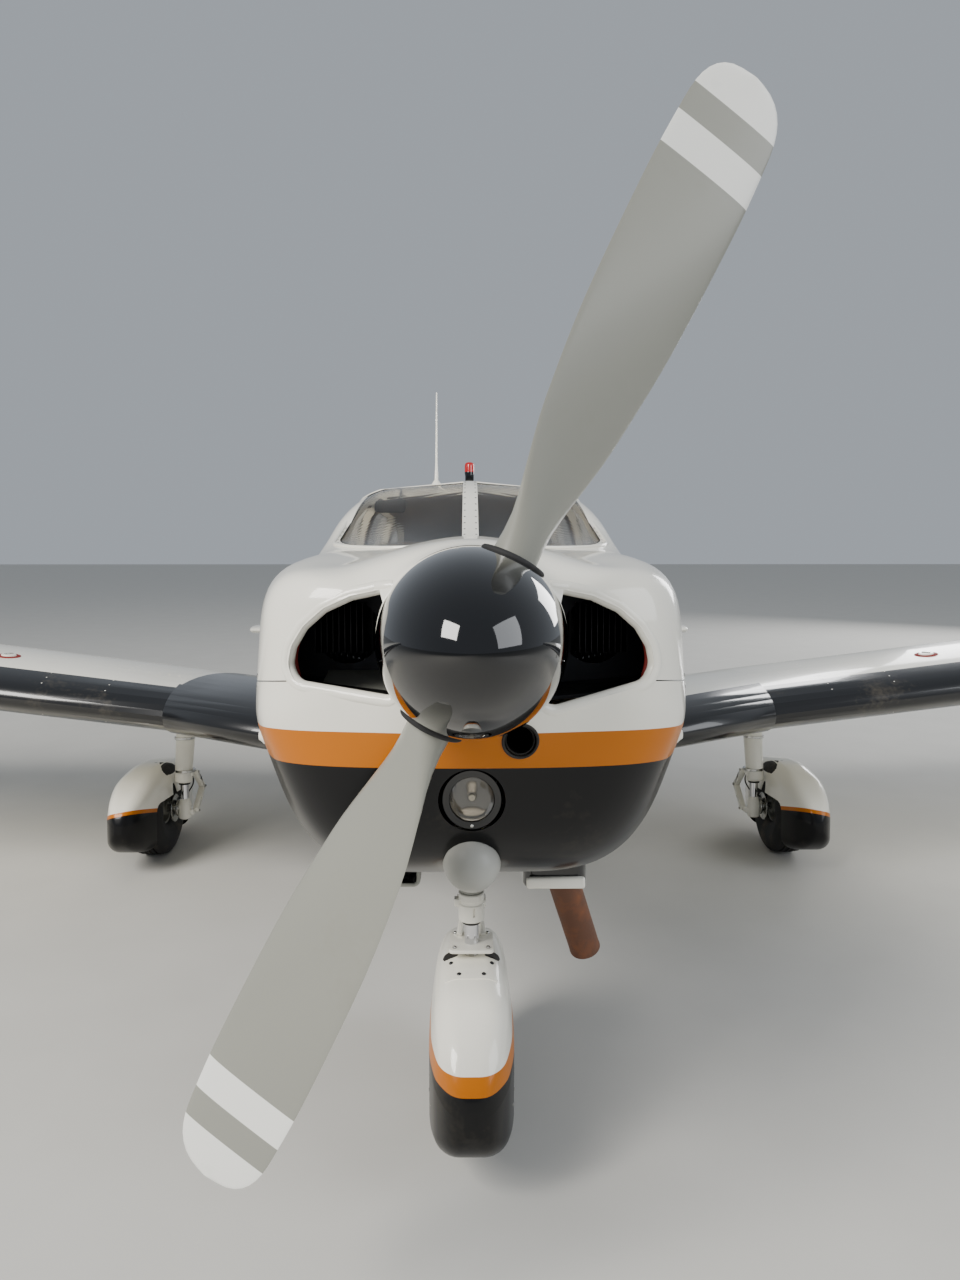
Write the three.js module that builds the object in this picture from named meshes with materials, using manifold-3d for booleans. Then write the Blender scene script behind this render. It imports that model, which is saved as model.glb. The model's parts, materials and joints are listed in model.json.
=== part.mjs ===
// Light aircraft: low wing, four seats, fixed tricycle gear, two-blade propeller.
// Millimetres, +Z up, nose toward -Y, origin on the floor under the middle of the aircraft.
// The airframe is drawn level, with y counted aft of the propeller and z above a level floor, in one group
// that is pitched nose-up about the main axle. Wheels and nose leg are drawn as the aircraft is parked.
import * as THREE from "three";
import { mergeVertices } from "three/addons/utils/BufferGeometryUtils.js";
import Module from "manifold-3d";

const wasm = await Module();
wasm.setup();

// Driving dimensions
const NOSE_UP = THREE.MathUtils.degToRad(3);
const MAIN_TYRE = { radius: 222, width: 160, bore: 76 };
const NOSE_TYRE = { radius: 180, width: 126, bore: 64 };
// y aft of the propeller in the level frame; parkedY in the finished frame.
const MAIN_AXLE = { x: 1525, y: 2820, z: MAIN_TYRE.radius, radius: 19, end: 1676, parkedY: -776.65 };
const THRUST_Z = 1190;
const GAP = 0.3; // between pieces that touch
const RUNNING_GAP = 6; // between pieces that move past each other
const END_GAP = 14; // at the ends of a flap or aileron, whose hinge line rises outward
const SKIN = { cowl: 10, cabin: 40, tail: 10, glass: 7, fairing: 7 };
const COWL = { front: 95, back: 1080 };
const SPLIT = { y: 170, z: 1110, slope: -0.1 }; // where the cowls meet, sloping down aft
const CABIN = { firewall: 1095, bulkhead: 4480, back: 4500 };
const TAIL_CONE = { solid: 6300, back: 6620 };
const SPINNER = { radius: 147, tip: -250, back: 80, skin: 6 };
const COLLAR_RADIUS = 158;
const PROPELLER = { angle: THREE.MathUtils.degToRad(26.5), shaft: 35, hub: 62, plate: 140 };
const STEER_Y = 700; // steering axis, aft of the propeller as parked
const NOSE_AXLE = { y: 735, radius: 12, end: 112 };
const NOSE_PISTON_RADIUS = 18;
const LEG_HOUSING = { low: 670, high: 1110, radius: 29 };
const PIN = { radius: 8, sides: 12, root: 27, depth: 30 }; // hinge pins, from a fixed rib into a bore
const DIHEDRAL = Math.tan(THREE.MathUtils.degToRad(7));
const INCIDENCE = Math.tan(THREE.MathUtils.degToRad(2));
const WING = { rootX: 610, rootTrailingZ: 656, camber: 0.02 };
const FLAP = { from: 640, to: 2690, fraction: 0.82, nose: 54 };
const AILERON = { from: 2745, to: 4950, fraction: 0.83, noseInner: 50, noseOuter: 36 };
const STABILATOR = { tip: 1960, front: 6350, chord: 760, thickness: 0.1, z: 930, pivot: 6560, tube: 28 };
const TAB = { tip: 1850, fraction: 0.84, nose: 17, pin: 5 };
const RUDDER = { low: 1140, lowY: 6740, high: 2140, highY: 6958, noseLow: 44, noseHigh: 24, pin: 6 };
const DOOR = { hingeX: -568, hingeY: 1964, reach: 812, knuckleZ: 1230 };
const BAGGAGE = { hingeX: -552, hingeY: 3742, reach: 470, knuckleZ: 1170 };

// Materials
const paint = (color, roughness = 0.3, metalness = 0) =>
  new THREE.MeshStandardMaterial({ color, roughness, metalness });
const WHITE = paint(0xf2efe6);
const BLACK = paint(0x0a0b0e, 0.12);
const GREY = paint(0x8f8f8b, 0.45, 0.3);
const STEEL = paint(0xb8b8b4, 0.3, 0.9);
const ENGINE = paint(0x4a4a4a, 0.6, 0.6);
const RUST = paint(0x7a4a34, 0.8, 0.5);
const RUBBER = paint(0x1a1a1a, 0.9);
const GLASS = new THREE.MeshStandardMaterial({
  color: 0xcfd8dc,
  roughness: 0.05,
  transparent: true,
  opacity: 0.35,
});
const RED = paint(0xa01616, 0.2);
const LEATHER = paint(0x9a8768, 0.7);
const TRIM = paint(0x2b2826, 0.8);

// Solids

// A closed geometry as a solid. Faces that point inwards are turned round.
function solid(geometry) {
  const bare = geometry.index ? geometry.toNonIndexed() : geometry.clone();
  for (const name of Object.keys(bare.attributes)) {
    if (name !== "position") bare.deleteAttribute(name);
  }
  const merged = mergeVertices(bare, 1e-3);
  const position = merged.attributes.position;
  const kept = [];
  for (let i = 0; i < merged.index.count; i += 3) {
    const [a, b, c] = [0, 1, 2].map((k) => merged.index.getX(i + k));
    if (a !== b && b !== c && c !== a) kept.push(a, b, c);
  }
  const make = (triVerts) =>
    new wasm.Manifold(
      new wasm.Mesh({ numProp: 3, vertProperties: position.array, triVerts: new Uint32Array(triVerts) }),
    );
  const made = make(kept);
  return made.volume() < 0 ? make(kept.reverse()) : made;
}

// A solid's surface as a geometry.
function surface(body) {
  const mesh = body.getMesh();
  const position = new Float32Array(mesh.numVert * 3);
  for (let i = 0; i < mesh.numVert; i++) {
    position.set(mesh.vertProperties.subarray(i * mesh.numProp, i * mesh.numProp + 3), i * 3);
  }
  const geometry = new THREE.BufferGeometry();
  geometry.setAttribute("position", new THREE.BufferAttribute(position, 3));
  geometry.setIndex(new THREE.BufferAttribute(mesh.triVerts, 1));
  geometry.computeVertexNormals();
  return geometry;
}

const moved = (body, matrix) => solid(surface(body).applyMatrix4(matrix));
const shifted = (body, x, y, z) => moved(body, new THREE.Matrix4().makeTranslation(x, y, z));
const mirrored = (body) => moved(body, new THREE.Matrix4().makeScale(-1, 1, 1));
const union = (...bodies) => bodies.reduce((sum, body) => sum.add(body));

// The largest piece of a cut solid, without the crumbs that a cut can leave.
const mainBody = (body) => body.decompose().sort((a, b) => b.volume() - a.volume())[0];

function block(x0, x1, y0, y1, z0, z1) {
  const geometry = new THREE.BoxGeometry(x1 - x0, y1 - y0, z1 - z0);
  return solid(geometry.translate((x0 + x1) / 2, (y0 + y1) / 2, (z0 + z1) / 2));
}

const slab = (y0, y1) => block(-3000, 3000, y0, y1, -1000, 4000);

// A round rod from one point to another; its end radius may differ.
function rod(from, to, radius, sides = 20, endRadius = radius) {
  const [a, b] = [new THREE.Vector3(...from), new THREE.Vector3(...to)];
  const along = b.clone().sub(a);
  const geometry = new THREE.CylinderGeometry(endRadius, radius, along.length(), sides);
  const up = new THREE.Vector3(0, 1, 0);
  geometry.applyQuaternion(new THREE.Quaternion().setFromUnitVectors(up, along.clone().normalize()));
  return solid(geometry.translate(...a.add(b).multiplyScalar(0.5)));
}

// A round body about the Y axis through (0, y, z), from a closed profile of [radius, y] points.
function turned(profile, z, sides) {
  const points = profile.map(([radius, y]) => new THREE.Vector2(radius, y));
  return solid(new THREE.LatheGeometry(points, sides).translate(0, 0, z));
}

// Outlines

// Points of the arc that rounds one corner of an outline.
function cornerArc([bx, by], [cx, cy], [ax, ay], radius, steps) {
  const corner = new THREE.Vector2(cx, cy);
  const before = new THREE.Vector2(bx, by).sub(corner);
  const after = new THREE.Vector2(ax, ay).sub(corner);
  const cosine = before.dot(after) / before.length() / after.length();
  const half = Math.acos(THREE.MathUtils.clamp(cosine, -1, 1)) / 2;
  if (half > 1.56) return Array.from({ length: steps + 1 }, () => [cx, cy]);
  const reach = Math.min(radius / Math.tan(half), 0.48 * before.length(), 0.48 * after.length());
  const [u, v] = [before.normalize(), after.normalize()];
  const centre = u.clone().add(v).normalize().multiplyScalar(reach / Math.cos(half)).add(corner);
  const start = u.multiplyScalar(reach).add(corner).sub(centre);
  const turn = v.multiplyScalar(reach).add(corner).sub(centre).angle() - start.angle();
  const sweep = Math.atan2(Math.sin(turn), Math.cos(turn));
  return Array.from({ length: steps + 1 }, (_, i) => {
    const point = start.clone().rotateAround(new THREE.Vector2(), (sweep * i) / steps).add(centre);
    return [point.x, point.y];
  });
}

// A closed outline with every corner rounded.
function rounded(corners, radius, steps = 3) {
  const count = corners.length;
  return corners.flatMap((corner, i) =>
    cornerArc(corners.at(i - 1), corner, corners[(i + 1) % count], radius, steps),
  );
}

// A straight prism of an outline: along X the outline is (y, z), along Y (x, z), along Z (x, y).
function prism(outline, along, from, to) {
  const shape = new THREE.Shape(outline.map(([u, v]) => new THREE.Vector2(u, v)));
  const geometry = new THREE.ExtrudeGeometry(shape, { depth: to - from, bevelEnabled: false });
  geometry.translate(0, 0, from);
  const [x, y, z] = [new THREE.Vector3(1, 0, 0), new THREE.Vector3(0, 1, 0), new THREE.Vector3(0, 0, 1)];
  const basis = { x: [y, z, x], y: [x, z, y], z: [x, y, z] }[along];
  return solid(geometry.applyMatrix4(new THREE.Matrix4().makeBasis(...basis)));
}

// A body through rings of [x, y, z] points, closed by flat ends. flat names the two coordinates of an end.
function loft(rings, flat) {
  const count = rings[0].length;
  const points = rings.flat();
  const index = [];
  for (let i = 0; i + 1 < rings.length; i++) {
    for (let j = 0; j < count; j++) {
      const [a, b] = [i * count + j, i * count + ((j + 1) % count)];
      const [c, d] = [a + count, b + count];
      const across = (p, q) => new THREE.Vector3(...points[p]).distanceTo(new THREE.Vector3(...points[q]));
      if (across(a, d) <= across(b, c)) index.push(a, b, d, a, d, c);
      else index.push(a, b, c, b, d, c);
    }
  }
  for (const end of [0, rings.length - 1]) {
    const outline = rings[end].map((point) => new THREE.Vector2(point[flat[0]], point[flat[1]]));
    const faces = THREE.ShapeUtils.triangulateShape(outline, []);
    const area = (loop) => THREE.ShapeUtils.area(loop.map((k) => outline[k]));
    const same = faces.reduce((sum, face) => sum + area(face), 0) * THREE.ShapeUtils.area(outline) > 0;
    for (const face of faces) {
      const facing = same === end > 0 ? face : [...face].reverse();
      index.push(...facing.map((k) => end * count + k));
    }
  }
  const geometry = new THREE.BufferGeometry();
  geometry.setAttribute("position", new THREE.Float32BufferAttribute(points.flat(), 3));
  return solid(geometry.setIndex(index));
}

const mix = (a, b, t) => a + (b - a) * t;

// Reads a table at a value of its first column, with the other columns interpolated.
function interpolate(table, at) {
  const next = table.findIndex((row) => row[0] >= at);
  const [low, high] = [table[Math.max(next - 1, 0)], table[next]];
  const t = high[0] === low[0] ? 0 : (at - low[0]) / (high[0] - low[0]);
  return low.map((value, i) => mix(value, high[i], t));
}

// Fuselage sections: y, bottom z, bottom corner x and radius, side z, x and radius, top corner z, x and
// radius, top z. Each section is a line along the bottom, side and top with its three corners rounded.
const FUSELAGE = [
  [95, 1032, 158, 156, 1190, 158.5, 20, 1348, 158, 156, 1348],
  [118, 1032, 158, 156, 1190, 158.5, 20, 1348, 158, 156, 1348],
  [125, 940, 170, 120, 1130, 230, 150, 1344, 215, 110, 1358],
  [140, 885, 200, 140, 1100, 300, 160, 1354, 290, 105, 1366],
  [165, 830, 235, 160, 1070, 350, 170, 1356, 340, 110, 1367],
  [230, 745, 285, 180, 1010, 412, 190, 1358, 392, 112, 1370],
  [390, 668, 335, 220, 980, 455, 200, 1368, 430, 120, 1379],
  [530, 651, 370, 250, 980, 476, 220, 1375, 450, 130, 1385],
  [1080, 610, 430, 220, 1050, 546, 220, 1398, 505, 150, 1407],
  [1460, 590, 470, 130, 1200, 556, 150, 1404, 525, 70, 1412],
  [1830, 578, 490, 100, 1340, 562, 150, 1448, 515, 70, 1556],
  [2110, 574, 496, 90, 1345, 562, 150, 1595, 470, 110, 1684],
  [2390, 572, 500, 90, 1345, 562, 150, 1706, 434, 125, 1780],
  [2900, 572, 500, 90, 1340, 560, 150, 1722, 425, 125, 1800],
  [3700, 590, 480, 100, 1330, 545, 150, 1690, 408, 125, 1770],
  [4350, 640, 410, 120, 1290, 470, 150, 1575, 345, 115, 1660],
  [5200, 730, 280, 120, 1180, 320, 140, 1345, 235, 110, 1412],
  [6200, 810, 145, 80, 1060, 165, 100, 1170, 125, 70, 1205],
  [6620, 850, 100, 60, 1010, 115, 70, 1110, 85, 50, 1135],
];
const CORNER_STEPS = 3;

// One fuselage section, drawn in by a skin's thickness.
function fuselageRing(y, inset) {
  const [, bottom, bx, br, sz, sx, sr, tz, tx, tr, top] = interpolate(FUSELAGE, y);
  const corners = [
    [0, bottom + inset],
    [bx - inset, bottom + inset],
    [sx - inset, sz],
    [tx - inset, tz - inset],
    [0, top - inset],
  ];
  const radii = [0, br, sr, tr].map((radius) => Math.max(radius - inset, 4));
  const half = [corners[0]];
  for (const i of [1, 2, 3]) {
    half.push(...cornerArc(corners[i - 1], corners[i], corners[i + 1], radii[i], CORNER_STEPS));
  }
  half.push(corners[4]);
  const mirror = half.slice(1, -1).reverse().map(([x, z]) => [-x, z]);
  return [...half, ...mirror].map(([x, z]) => [x, y, z]);
}

// The fuselage between two stations, inset by a skin's thickness. The first stations of the blunt nose
// also move aft by it.
function fuselage(from, to, inset = 0) {
  const inside = FUSELAGE.map(([y]) => y).filter((y) => y > from && y < to);
  const bluntEnd = 230;
  return loft(
    [from, ...inside, to].map((y) => {
      const ring = fuselageRing(y, inset);
      const aft = y < bluntEnd ? inset : 0;
      return ring.map(([x, , z]) => [x, y + aft, z]);
    }),
    [0, 2],
  );
}

const HULL = fuselage(COWL.front, TAIL_CONE.back);
const HULL_CLEAR = fuselage(COWL.front, TAIL_CONE.back, -2 * GAP);
const GLASS_SKIN = HULL.subtract(fuselage(COWL.front, TAIL_CONE.back, SKIN.glass));
const CABIN_SPACE = fuselage(CABIN.firewall, CABIN.bulkhead, SKIN.cabin);

// Groups
const aircraft = new THREE.Group();
const airframe = new THREE.Group();
airframe.rotation.x = -NOSE_UP;
const axleLevel = new THREE.Vector3(0, MAIN_AXLE.y, MAIN_AXLE.z).applyEuler(airframe.rotation);
airframe.position.set(0, MAIN_AXLE.parkedY, MAIN_AXLE.z).sub(axleLevel);
aircraft.add(airframe);
airframe.updateMatrixWorld(true);
const levelled = airframe.matrixWorld.clone().invert();
const hub = new THREE.Vector3(0, 0, THRUST_Z).applyMatrix4(airframe.matrixWorld);
const gear = new THREE.Group(); // drawn as parked, y counted from the propeller hub
gear.position.y = hub.y;
aircraft.add(gear);
const gearToAirframe = levelled.clone().multiply(new THREE.Matrix4().makeTranslation(0, hub.y, 0));

function add(group, name, body, material, position = [0, 0, 0]) {
  const mesh = new THREE.Mesh(surface(body), material);
  mesh.name = name;
  mesh.position.set(...position);
  group.add(mesh);
  return mesh;
}

// Spinner and propeller
const spinnerOuter = (y) => {
  const nose = Math.min((y - SPINNER.tip) / -SPINNER.tip, 1);
  return SPINNER.radius * (1 - (1 - nose) ** 1.8) ** 0.55;
};

// Rows from tip to back of the dome, drawn in by the skin's thickness.
function spinnerProfile(inset) {
  const stations = [0, 8, 34, 85, 150, 250];
  const dome = stations.map((back) => {
    const y = SPINNER.tip + back;
    return [Math.max(spinnerOuter(y) - inset, 0), y + inset];
  });
  return [[0, SPINNER.tip + inset], ...dome.slice(1), [SPINNER.radius - inset, SPINNER.back + 1 + inset]];
}

// Blade sections: distance from the hub, chord, thickness, pitch in degrees.
const BLADE = [
  [40, 84, 84, 60],
  [165, 84, 84, 60],
  [215, 104, 66, 54],
  [290, 142, 44, 46],
  [400, 178, 31, 38],
  [600, 198, 22, 29],
  [800, 194, 15, 23],
  [930, 178, 11, 20.5],
  [990, 156, 9, 19.5],
  [1010, 128, 7, 19],
  [1016, 96, 5, 19],
];

function blade() {
  const sides = 10;
  return loft(
    BLADE.map(([r, chord, thickness, pitch]) => {
      const turn = THREE.MathUtils.degToRad(pitch);
      return Array.from({ length: sides }, (_, i) => {
        const angle = (2 * Math.PI * i) / sides;
        const [u, v] = [(Math.cos(angle) * chord) / 2, (Math.sin(angle) * thickness) / 2];
        return [u * Math.cos(turn) - v * Math.sin(turn), u * Math.sin(turn) + v * Math.cos(turn), r];
      });
    }),
    [0, 1],
  );
}

function propeller() {
  const half = new THREE.Matrix4().makeRotationY(Math.PI);
  const hubBody = rod([0, -75, 0], [0, 66, 0], PROPELLER.hub, 28);
  const plate = rod([0, 64, 0], [0, 72, 0], PROPELLER.plate, 28);
  const shaft = rod([0, 70, 0], [0, 300, 0], PROPELLER.shaft, 24);
  const made = union(hubBody, plate, shaft, blade(), moved(blade(), half));
  return moved(made, new THREE.Matrix4().makeRotationY(PROPELLER.angle));
}

function spinner() {
  const dome = turned([...spinnerProfile(0), [0, SPINNER.back + 1]], 0, 28);
  const outer = dome.intersect(slab(-400, SPINNER.back));
  const hollow = turned([...spinnerProfile(SPINNER.skin), [0, SPINNER.back + 1 + SPINNER.skin]], 0, 28);
  const arm = [Math.sin(PROPELLER.angle) * 300, 0, Math.cos(PROPELLER.angle) * 300];
  const boots = rod(arm, arm.map((v) => -v), 50, 20);
  return mainBody(outer.subtract(hollow).subtract(boots));
}

add(airframe, "spinner", spinner(), BLACK, [0, 0, THRUST_Z]);
add(airframe, "propeller", propeller(), GREY, [0, 0, THRUST_Z]);

// Cowls. The inlets are D-shaped, one on each side of the collar.
const INLET = rounded(
  [
    [140, 1080],
    [322, 1108],
    [334, 1160],
    [288, 1238],
    [215, 1264],
    [140, 1272],
  ],
  30,
);

const LAMP = { z: 885, radius: 57, front: 150, back: 250, rim: 9 };
const LEG_HOLE_RADIUS = 44;

function cowls() {
  const skin = fuselage(COWL.front, COWL.back).subtract(fuselage(COWL.front + 2, COWL.back + 5, SKIN.cowl));
  const inlet = prism(INLET, "y", 0, 340);
  const collar = rod([0, 0, THRUST_Z], [0, 400, THRUST_Z], COLLAR_RADIUS + 6, 32);
  const inlets = union(inlet, mirrored(inlet)).subtract(collar);
  const shaftHole = rod([0, 0, THRUST_Z], [0, 300, THRUST_Z], 120, 28);
  const lamp = rod([0, 0, LAMP.z], [0, 400, LAMP.z], LAMP.radius + GAP, 28);
  const legHole = moved(rod([0, STEER_Y, 500], [0, STEER_Y, 950], LEG_HOLE_RADIUS, 24), gearToAirframe);
  const pipeHole = rod([225, 640, 300], [225, 640, 900], 75, 20);
  const open = skin.subtract(inlets).subtract(shaftHole).subtract(lamp).subtract(legHole).subtract(pipeHole);
  const slope = new THREE.Matrix4().makeRotationX(Math.atan(SPLIT.slope)).setPosition(0, SPLIT.y, SPLIT.z);
  const above = moved(block(-900, 900, -400, 1200, GAP / 2, 1200), slope);
  const below = moved(block(-900, 900, -400, 1200, -1200, -GAP / 2), slope);
  return { top: mainBody(open.intersect(above)), bottom: mainBody(open.intersect(below)) };
}

// Engine: one plain block, with the bore that the propeller's shaft turns in and the nose leg's socket.
const ENGINE_BLOCK = { width: 190, front: 262, back: 1020, low: 960, high: 1300 };

function engine() {
  const { width, front, back, low, high } = ENGINE_BLOCK;
  const crankcase = block(-width, width, front, back, low, high);
  const cylinders = block(-375, 375, 400, 900, 1085, 1290);
  const rear = block(-120, 120, back - 10, COWL.back - GAP, 1000, 1240);
  const bore = rod([0, 200, THRUST_Z], [0, 301, THRUST_Z], PROPELLER.shaft + GAP, 24);
  const housing = rod([0, STEER_Y, 500], [0, STEER_Y, LEG_HOUSING.high + 1], LEG_HOUSING.radius + GAP, 24);
  const socket = moved(housing, gearToAirframe);
  return mainBody(union(crankcase, cylinders, rear).subtract(bore).subtract(socket));
}

const { top: cowlTop, bottom: cowlBottom } = cowls();
add(airframe, "cowl_top", cowlTop, WHITE);
add(airframe, "cowl_bottom", cowlBottom, BLACK);
add(airframe, "engine_block", engine(), ENGINE);

// Landing light in the chin of the lower cowl, a lamp in its housing that fills the hole.
function landingLight() {
  const can = rod([0, LAMP.front, LAMP.z], [0, LAMP.back, LAMP.z], LAMP.radius, 28);
  const rim = rod([0, LAMP.front - 10, LAMP.z], [0, LAMP.front + 40, LAMP.z], LAMP.radius - LAMP.rim, 28);
  return can.subtract(rim);
}
add(airframe, "landing_light", landingLight(), STEEL);

// Exhaust pipe, from the underside of the engine out of the lower cowl.
function exhaust() {
  const bend = [190, 600, 880];
  const upper = rod([170, 560, 1000], bend, 33, 16);
  const lower = rod([190, 600, 885], [262, 680, 500], 33, 16);
  const bore = rod([240, 655, 620], [266, 684.5, 480], 29, 16);
  return union(upper, lower).subtract(bore).subtract(shifted(engine(), 0, 0, -GAP)).subtract(engine());
}
add(airframe, "exhaust_pipe", mainBody(exhaust()), RUST);

// Cabin windows and doors, as outlines on the side: y and z of each corner.
const PANES = {
  front: { corners: [[2050, 1402], [2440, 1662], [2690, 1672], [2690, 1402]], radius: 38 },
  middle: { corners: [[2806, 1402], [2806, 1672], [3452, 1650], [3452, 1402]], radius: 48 },
  rear: { corners: [[3546, 1402], [3546, 1642], [3800, 1618], [4130, 1440], [4112, 1402]], radius: 40 },
};
const DOOR_OUTLINE = [[1972, 985], [1972, 1385], [2430, 1700], [2800, 1706], [2800, 985]];
const BAGGAGE_OUTLINE = [[3750, 900], [3750, 1300], [4300, 1290], [4300, 900]];

// An outline moved outward or inward by a distance on every side, for corners that go round once.
function grown(corners, distance) {
  const area = THREE.ShapeUtils.area(corners.map(([u, v]) => new THREE.Vector2(u, v)));
  const turn = Math.sign(area);
  const count = corners.length;
  const edges = corners.map(([u, v], i) => {
    const [nu, nv] = corners[(i + 1) % count];
    const length = Math.hypot(nu - u, nv - v);
    const normal = [(turn * (nv - v)) / length, (-turn * (nu - u)) / length];
    return { normal, offset: normal[0] * u + normal[1] * v + distance };
  });
  return edges.map((edge, i) => {
    const previous = edges.at(i - 1);
    const [a, b] = edge.normal;
    const [c, d] = previous.normal;
    const cross = a * d - b * c;
    return [(edge.offset * d - previous.offset * b) / cross, (previous.offset * a - edge.offset * c) / cross];
  });
}

const sidePrism = (corners, radius, distance, from, to) =>
  prism(rounded(grown(corners, distance), radius + distance), "x", from, to);

// What a side door fills: its outline, ended by a round face about the hinge so that it swings clear.
function doorSpace(outline, hinge, distance) {
  const { hingeX, hingeY, reach } = hinge;
  const panel = sidePrism(outline, 60, distance, -760, -400 + distance);
  const swing = rod([hingeX, hingeY, 700], [hingeX, hingeY, 1800], reach + distance, 96);
  return panel.intersect(swing);
}

// A door hinge of three knuckles outside the wall: the middle one is the door's, the others the cabin's.
const KNUCKLE = { radius: 8, height: 36, leaf: 26, deep: 12 };
function knuckle({ hingeX, hingeY, knuckleZ }, place) {
  const { radius, height, leaf, deep } = KNUCKLE;
  const low = knuckleZ + place * (height + GAP);
  const high = low + height;
  const barrel = rod([hingeX, hingeY, low], [hingeX, hingeY, high], radius, 12);
  if (place !== 0) return barrel.add(block(hingeX - 3, hingeX + leaf, hingeY - deep, hingeY, low, high));
  const [leafFront, leafBack] = [hingeY + radius, hingeY + radius + deep];
  const arm = block(hingeX - 5, hingeX + radius - 2, hingeY, leafBack, low, high);
  return union(barrel, arm, block(hingeX, hingeX + leaf, leafFront, leafBack, low, high));
}

// Windshield: in plan each half lies between the post, the base curve, the pillar and the roof's edge.
const POST_HALF = 15;
function windshieldPlan(distance) {
  const [half, base, side] = [POST_HALF, 1478, 1838].map((value) => value - distance);
  const [pillar, roof] = [2340, 2300];
  const curve = new THREE.EllipseCurve(0, side, 522 + distance, side - base, -Math.PI / 2, -0.12, false);
  const points = curve.getPoints(7).map(({ x, y }) => [Math.max(x, half), y]);
  return [...points, [444 + distance, pillar + distance], [half, roof + distance]];
}
const windshieldPrism = (distance) => prism(windshieldPlan(distance), "z", 1330, 2100);

function cabin() {
  const walls = HULL.intersect(slab(COWL.back + GAP, CABIN.back)).subtract(CABIN_SPACE);
  const windshields = windshieldPrism(0);
  let shell = walls.subtract(windshields).subtract(mirrored(windshields));
  for (const { corners, radius } of Object.values(PANES)) {
    const right = corners === PANES.front.corners ? 200 : -760;
    const openings = sidePrism(corners, radius, 0, right, 760).subtract(block(-200, 200, 0, 9000, 0, 3000));
    shell = shell.subtract(openings);
  }
  for (const [outline, hinge] of [[DOOR_OUTLINE, DOOR], [BAGGAGE_OUTLINE, BAGGAGE]]) {
    shell = shell.subtract(doorSpace(outline, hinge, RUNNING_GAP));
    shell = union(shell, knuckle(hinge, -1), knuckle(hinge, 1));
  }
  return mainBody(shell);
}

const wall = HULL.intersect(slab(COWL.back, CABIN.back)).subtract(CABIN_SPACE);
const sideDoor = (outline, hinge) => wall.intersect(doorSpace(outline, hinge, 0)).add(knuckle(hinge, 0));
const doorPane = sidePrism(PANES.front.corners, PANES.front.radius, 0, -760, -200);
add(airframe, "cabin_shell", cabin(), WHITE);
add(airframe, "cabin_door", mainBody(sideDoor(DOOR_OUTLINE, DOOR).subtract(doorPane)), WHITE);
add(airframe, "baggage_door", mainBody(sideDoor(BAGGAGE_OUTLINE, BAGGAGE)), WHITE);

const windshield = GLASS_SKIN.intersect(windshieldPrism(-GAP));
add(airframe, "windshield_left", mainBody(windshield), GLASS);
add(airframe, "windshield_right", mainBody(mirrored(windshield)), GLASS);
for (const [place, { corners, radius }] of Object.entries(PANES)) {
  const pane = mainBody(GLASS_SKIN.intersect(sidePrism(corners, radius, -GAP, 200, 760)));
  add(airframe, `window_left_${place}`, pane, GLASS);
  add(airframe, place === "front" ? "window_door" : `window_right_${place}`, mirrored(pane), GLASS);
}

// Tail cone, hollow but for its last frame, with the hole that the tailplane's tube turns in.
function tailCone() {
  const { pivot, z, tube } = STABILATOR;
  const cone = HULL.intersect(slab(CABIN.back + GAP, TAIL_CONE.back));
  const hole = rod([-400, pivot, z], [400, pivot, z], tube + GAP, 24);
  return cone.subtract(fuselage(CABIN.back - 10, TAIL_CONE.solid, SKIN.tail)).subtract(hole);
}
add(airframe, "tail_cone", mainBody(tailCone()), WHITE);

// Aerofoils

// Points round a section from trailing edge over the top to the leading edge and back, as fractions of the
// chord: y aft and z up. The formula is the usual one for a four-digit section with its camber at 40%.
function aerofoil(thickness, camber, steps = 9) {
  const fraction = (i) => (1 - Math.cos((Math.PI * i) / steps)) / 2;
  const half = (x) =>
    5 * thickness * (0.2969 * Math.sqrt(x) - 0.126 * x - 0.3516 * x ** 2 + 0.2843 * x ** 3 - 0.1015 * x ** 4);
  const crest = 0.4;
  const middle = (x) => {
    const span = x < crest ? crest : 1 - crest;
    return x < crest
      ? (camber * (2 * crest * x - x * x)) / span ** 2
      : (camber * (1 - 2 * crest + 2 * crest * x - x * x)) / span ** 2;
  };
  const upper = Array.from({ length: steps + 1 }, (_, i) => fraction(steps - i));
  const lower = Array.from({ length: steps }, (_, i) => fraction(i + 1));
  return [...upper.map((x) => [x, middle(x) + half(x)]), ...lower.map((x) => [x, middle(x) - half(x)])];
}

// Wing sections: x, leading edge y, trailing edge y, thickness as a fraction of the chord.
const WING_SECTIONS = [
  [430, 1690, 3600, 0.126],
  [1188, 1948, 3600, 0.145],
  [1194, 2000, 3600, 0.15],
  [2700, 2000, 3600, 0.15],
  [5230, 2250, 3322, 0.14],
  [5330, 2300, 3300, 0.12],
  [5385, 2420, 3240, 0.08],
  [5395, 2560, 3160, 0.04],
];
const trailingZ = (x) => WING.rootTrailingZ + (x - WING.rootX) * DIHEDRAL;

// Where a fraction of the chord lies at a place along the span: y and z of the middle of the section.
function wingPoint(x, fraction) {
  const [, leading, trailing] = interpolate(WING_SECTIONS, x);
  const y = mix(leading, trailing, fraction);
  return [x, y, trailingZ(x) + (trailing - y) * INCIDENCE + 0.004 * (trailing - leading)];
}

function wingBody() {
  return loft(
    WING_SECTIONS.map(([x, leading, trailing, thickness]) => {
      const chord = trailing - leading;
      return aerofoil(thickness, WING.camber, 8).map(([u, v]) => [
        x,
        leading + u * chord,
        trailingZ(x) + chord * (1 - u) * INCIDENCE + v * chord,
      ]);
    }),
    [1, 2],
  );
}

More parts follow.
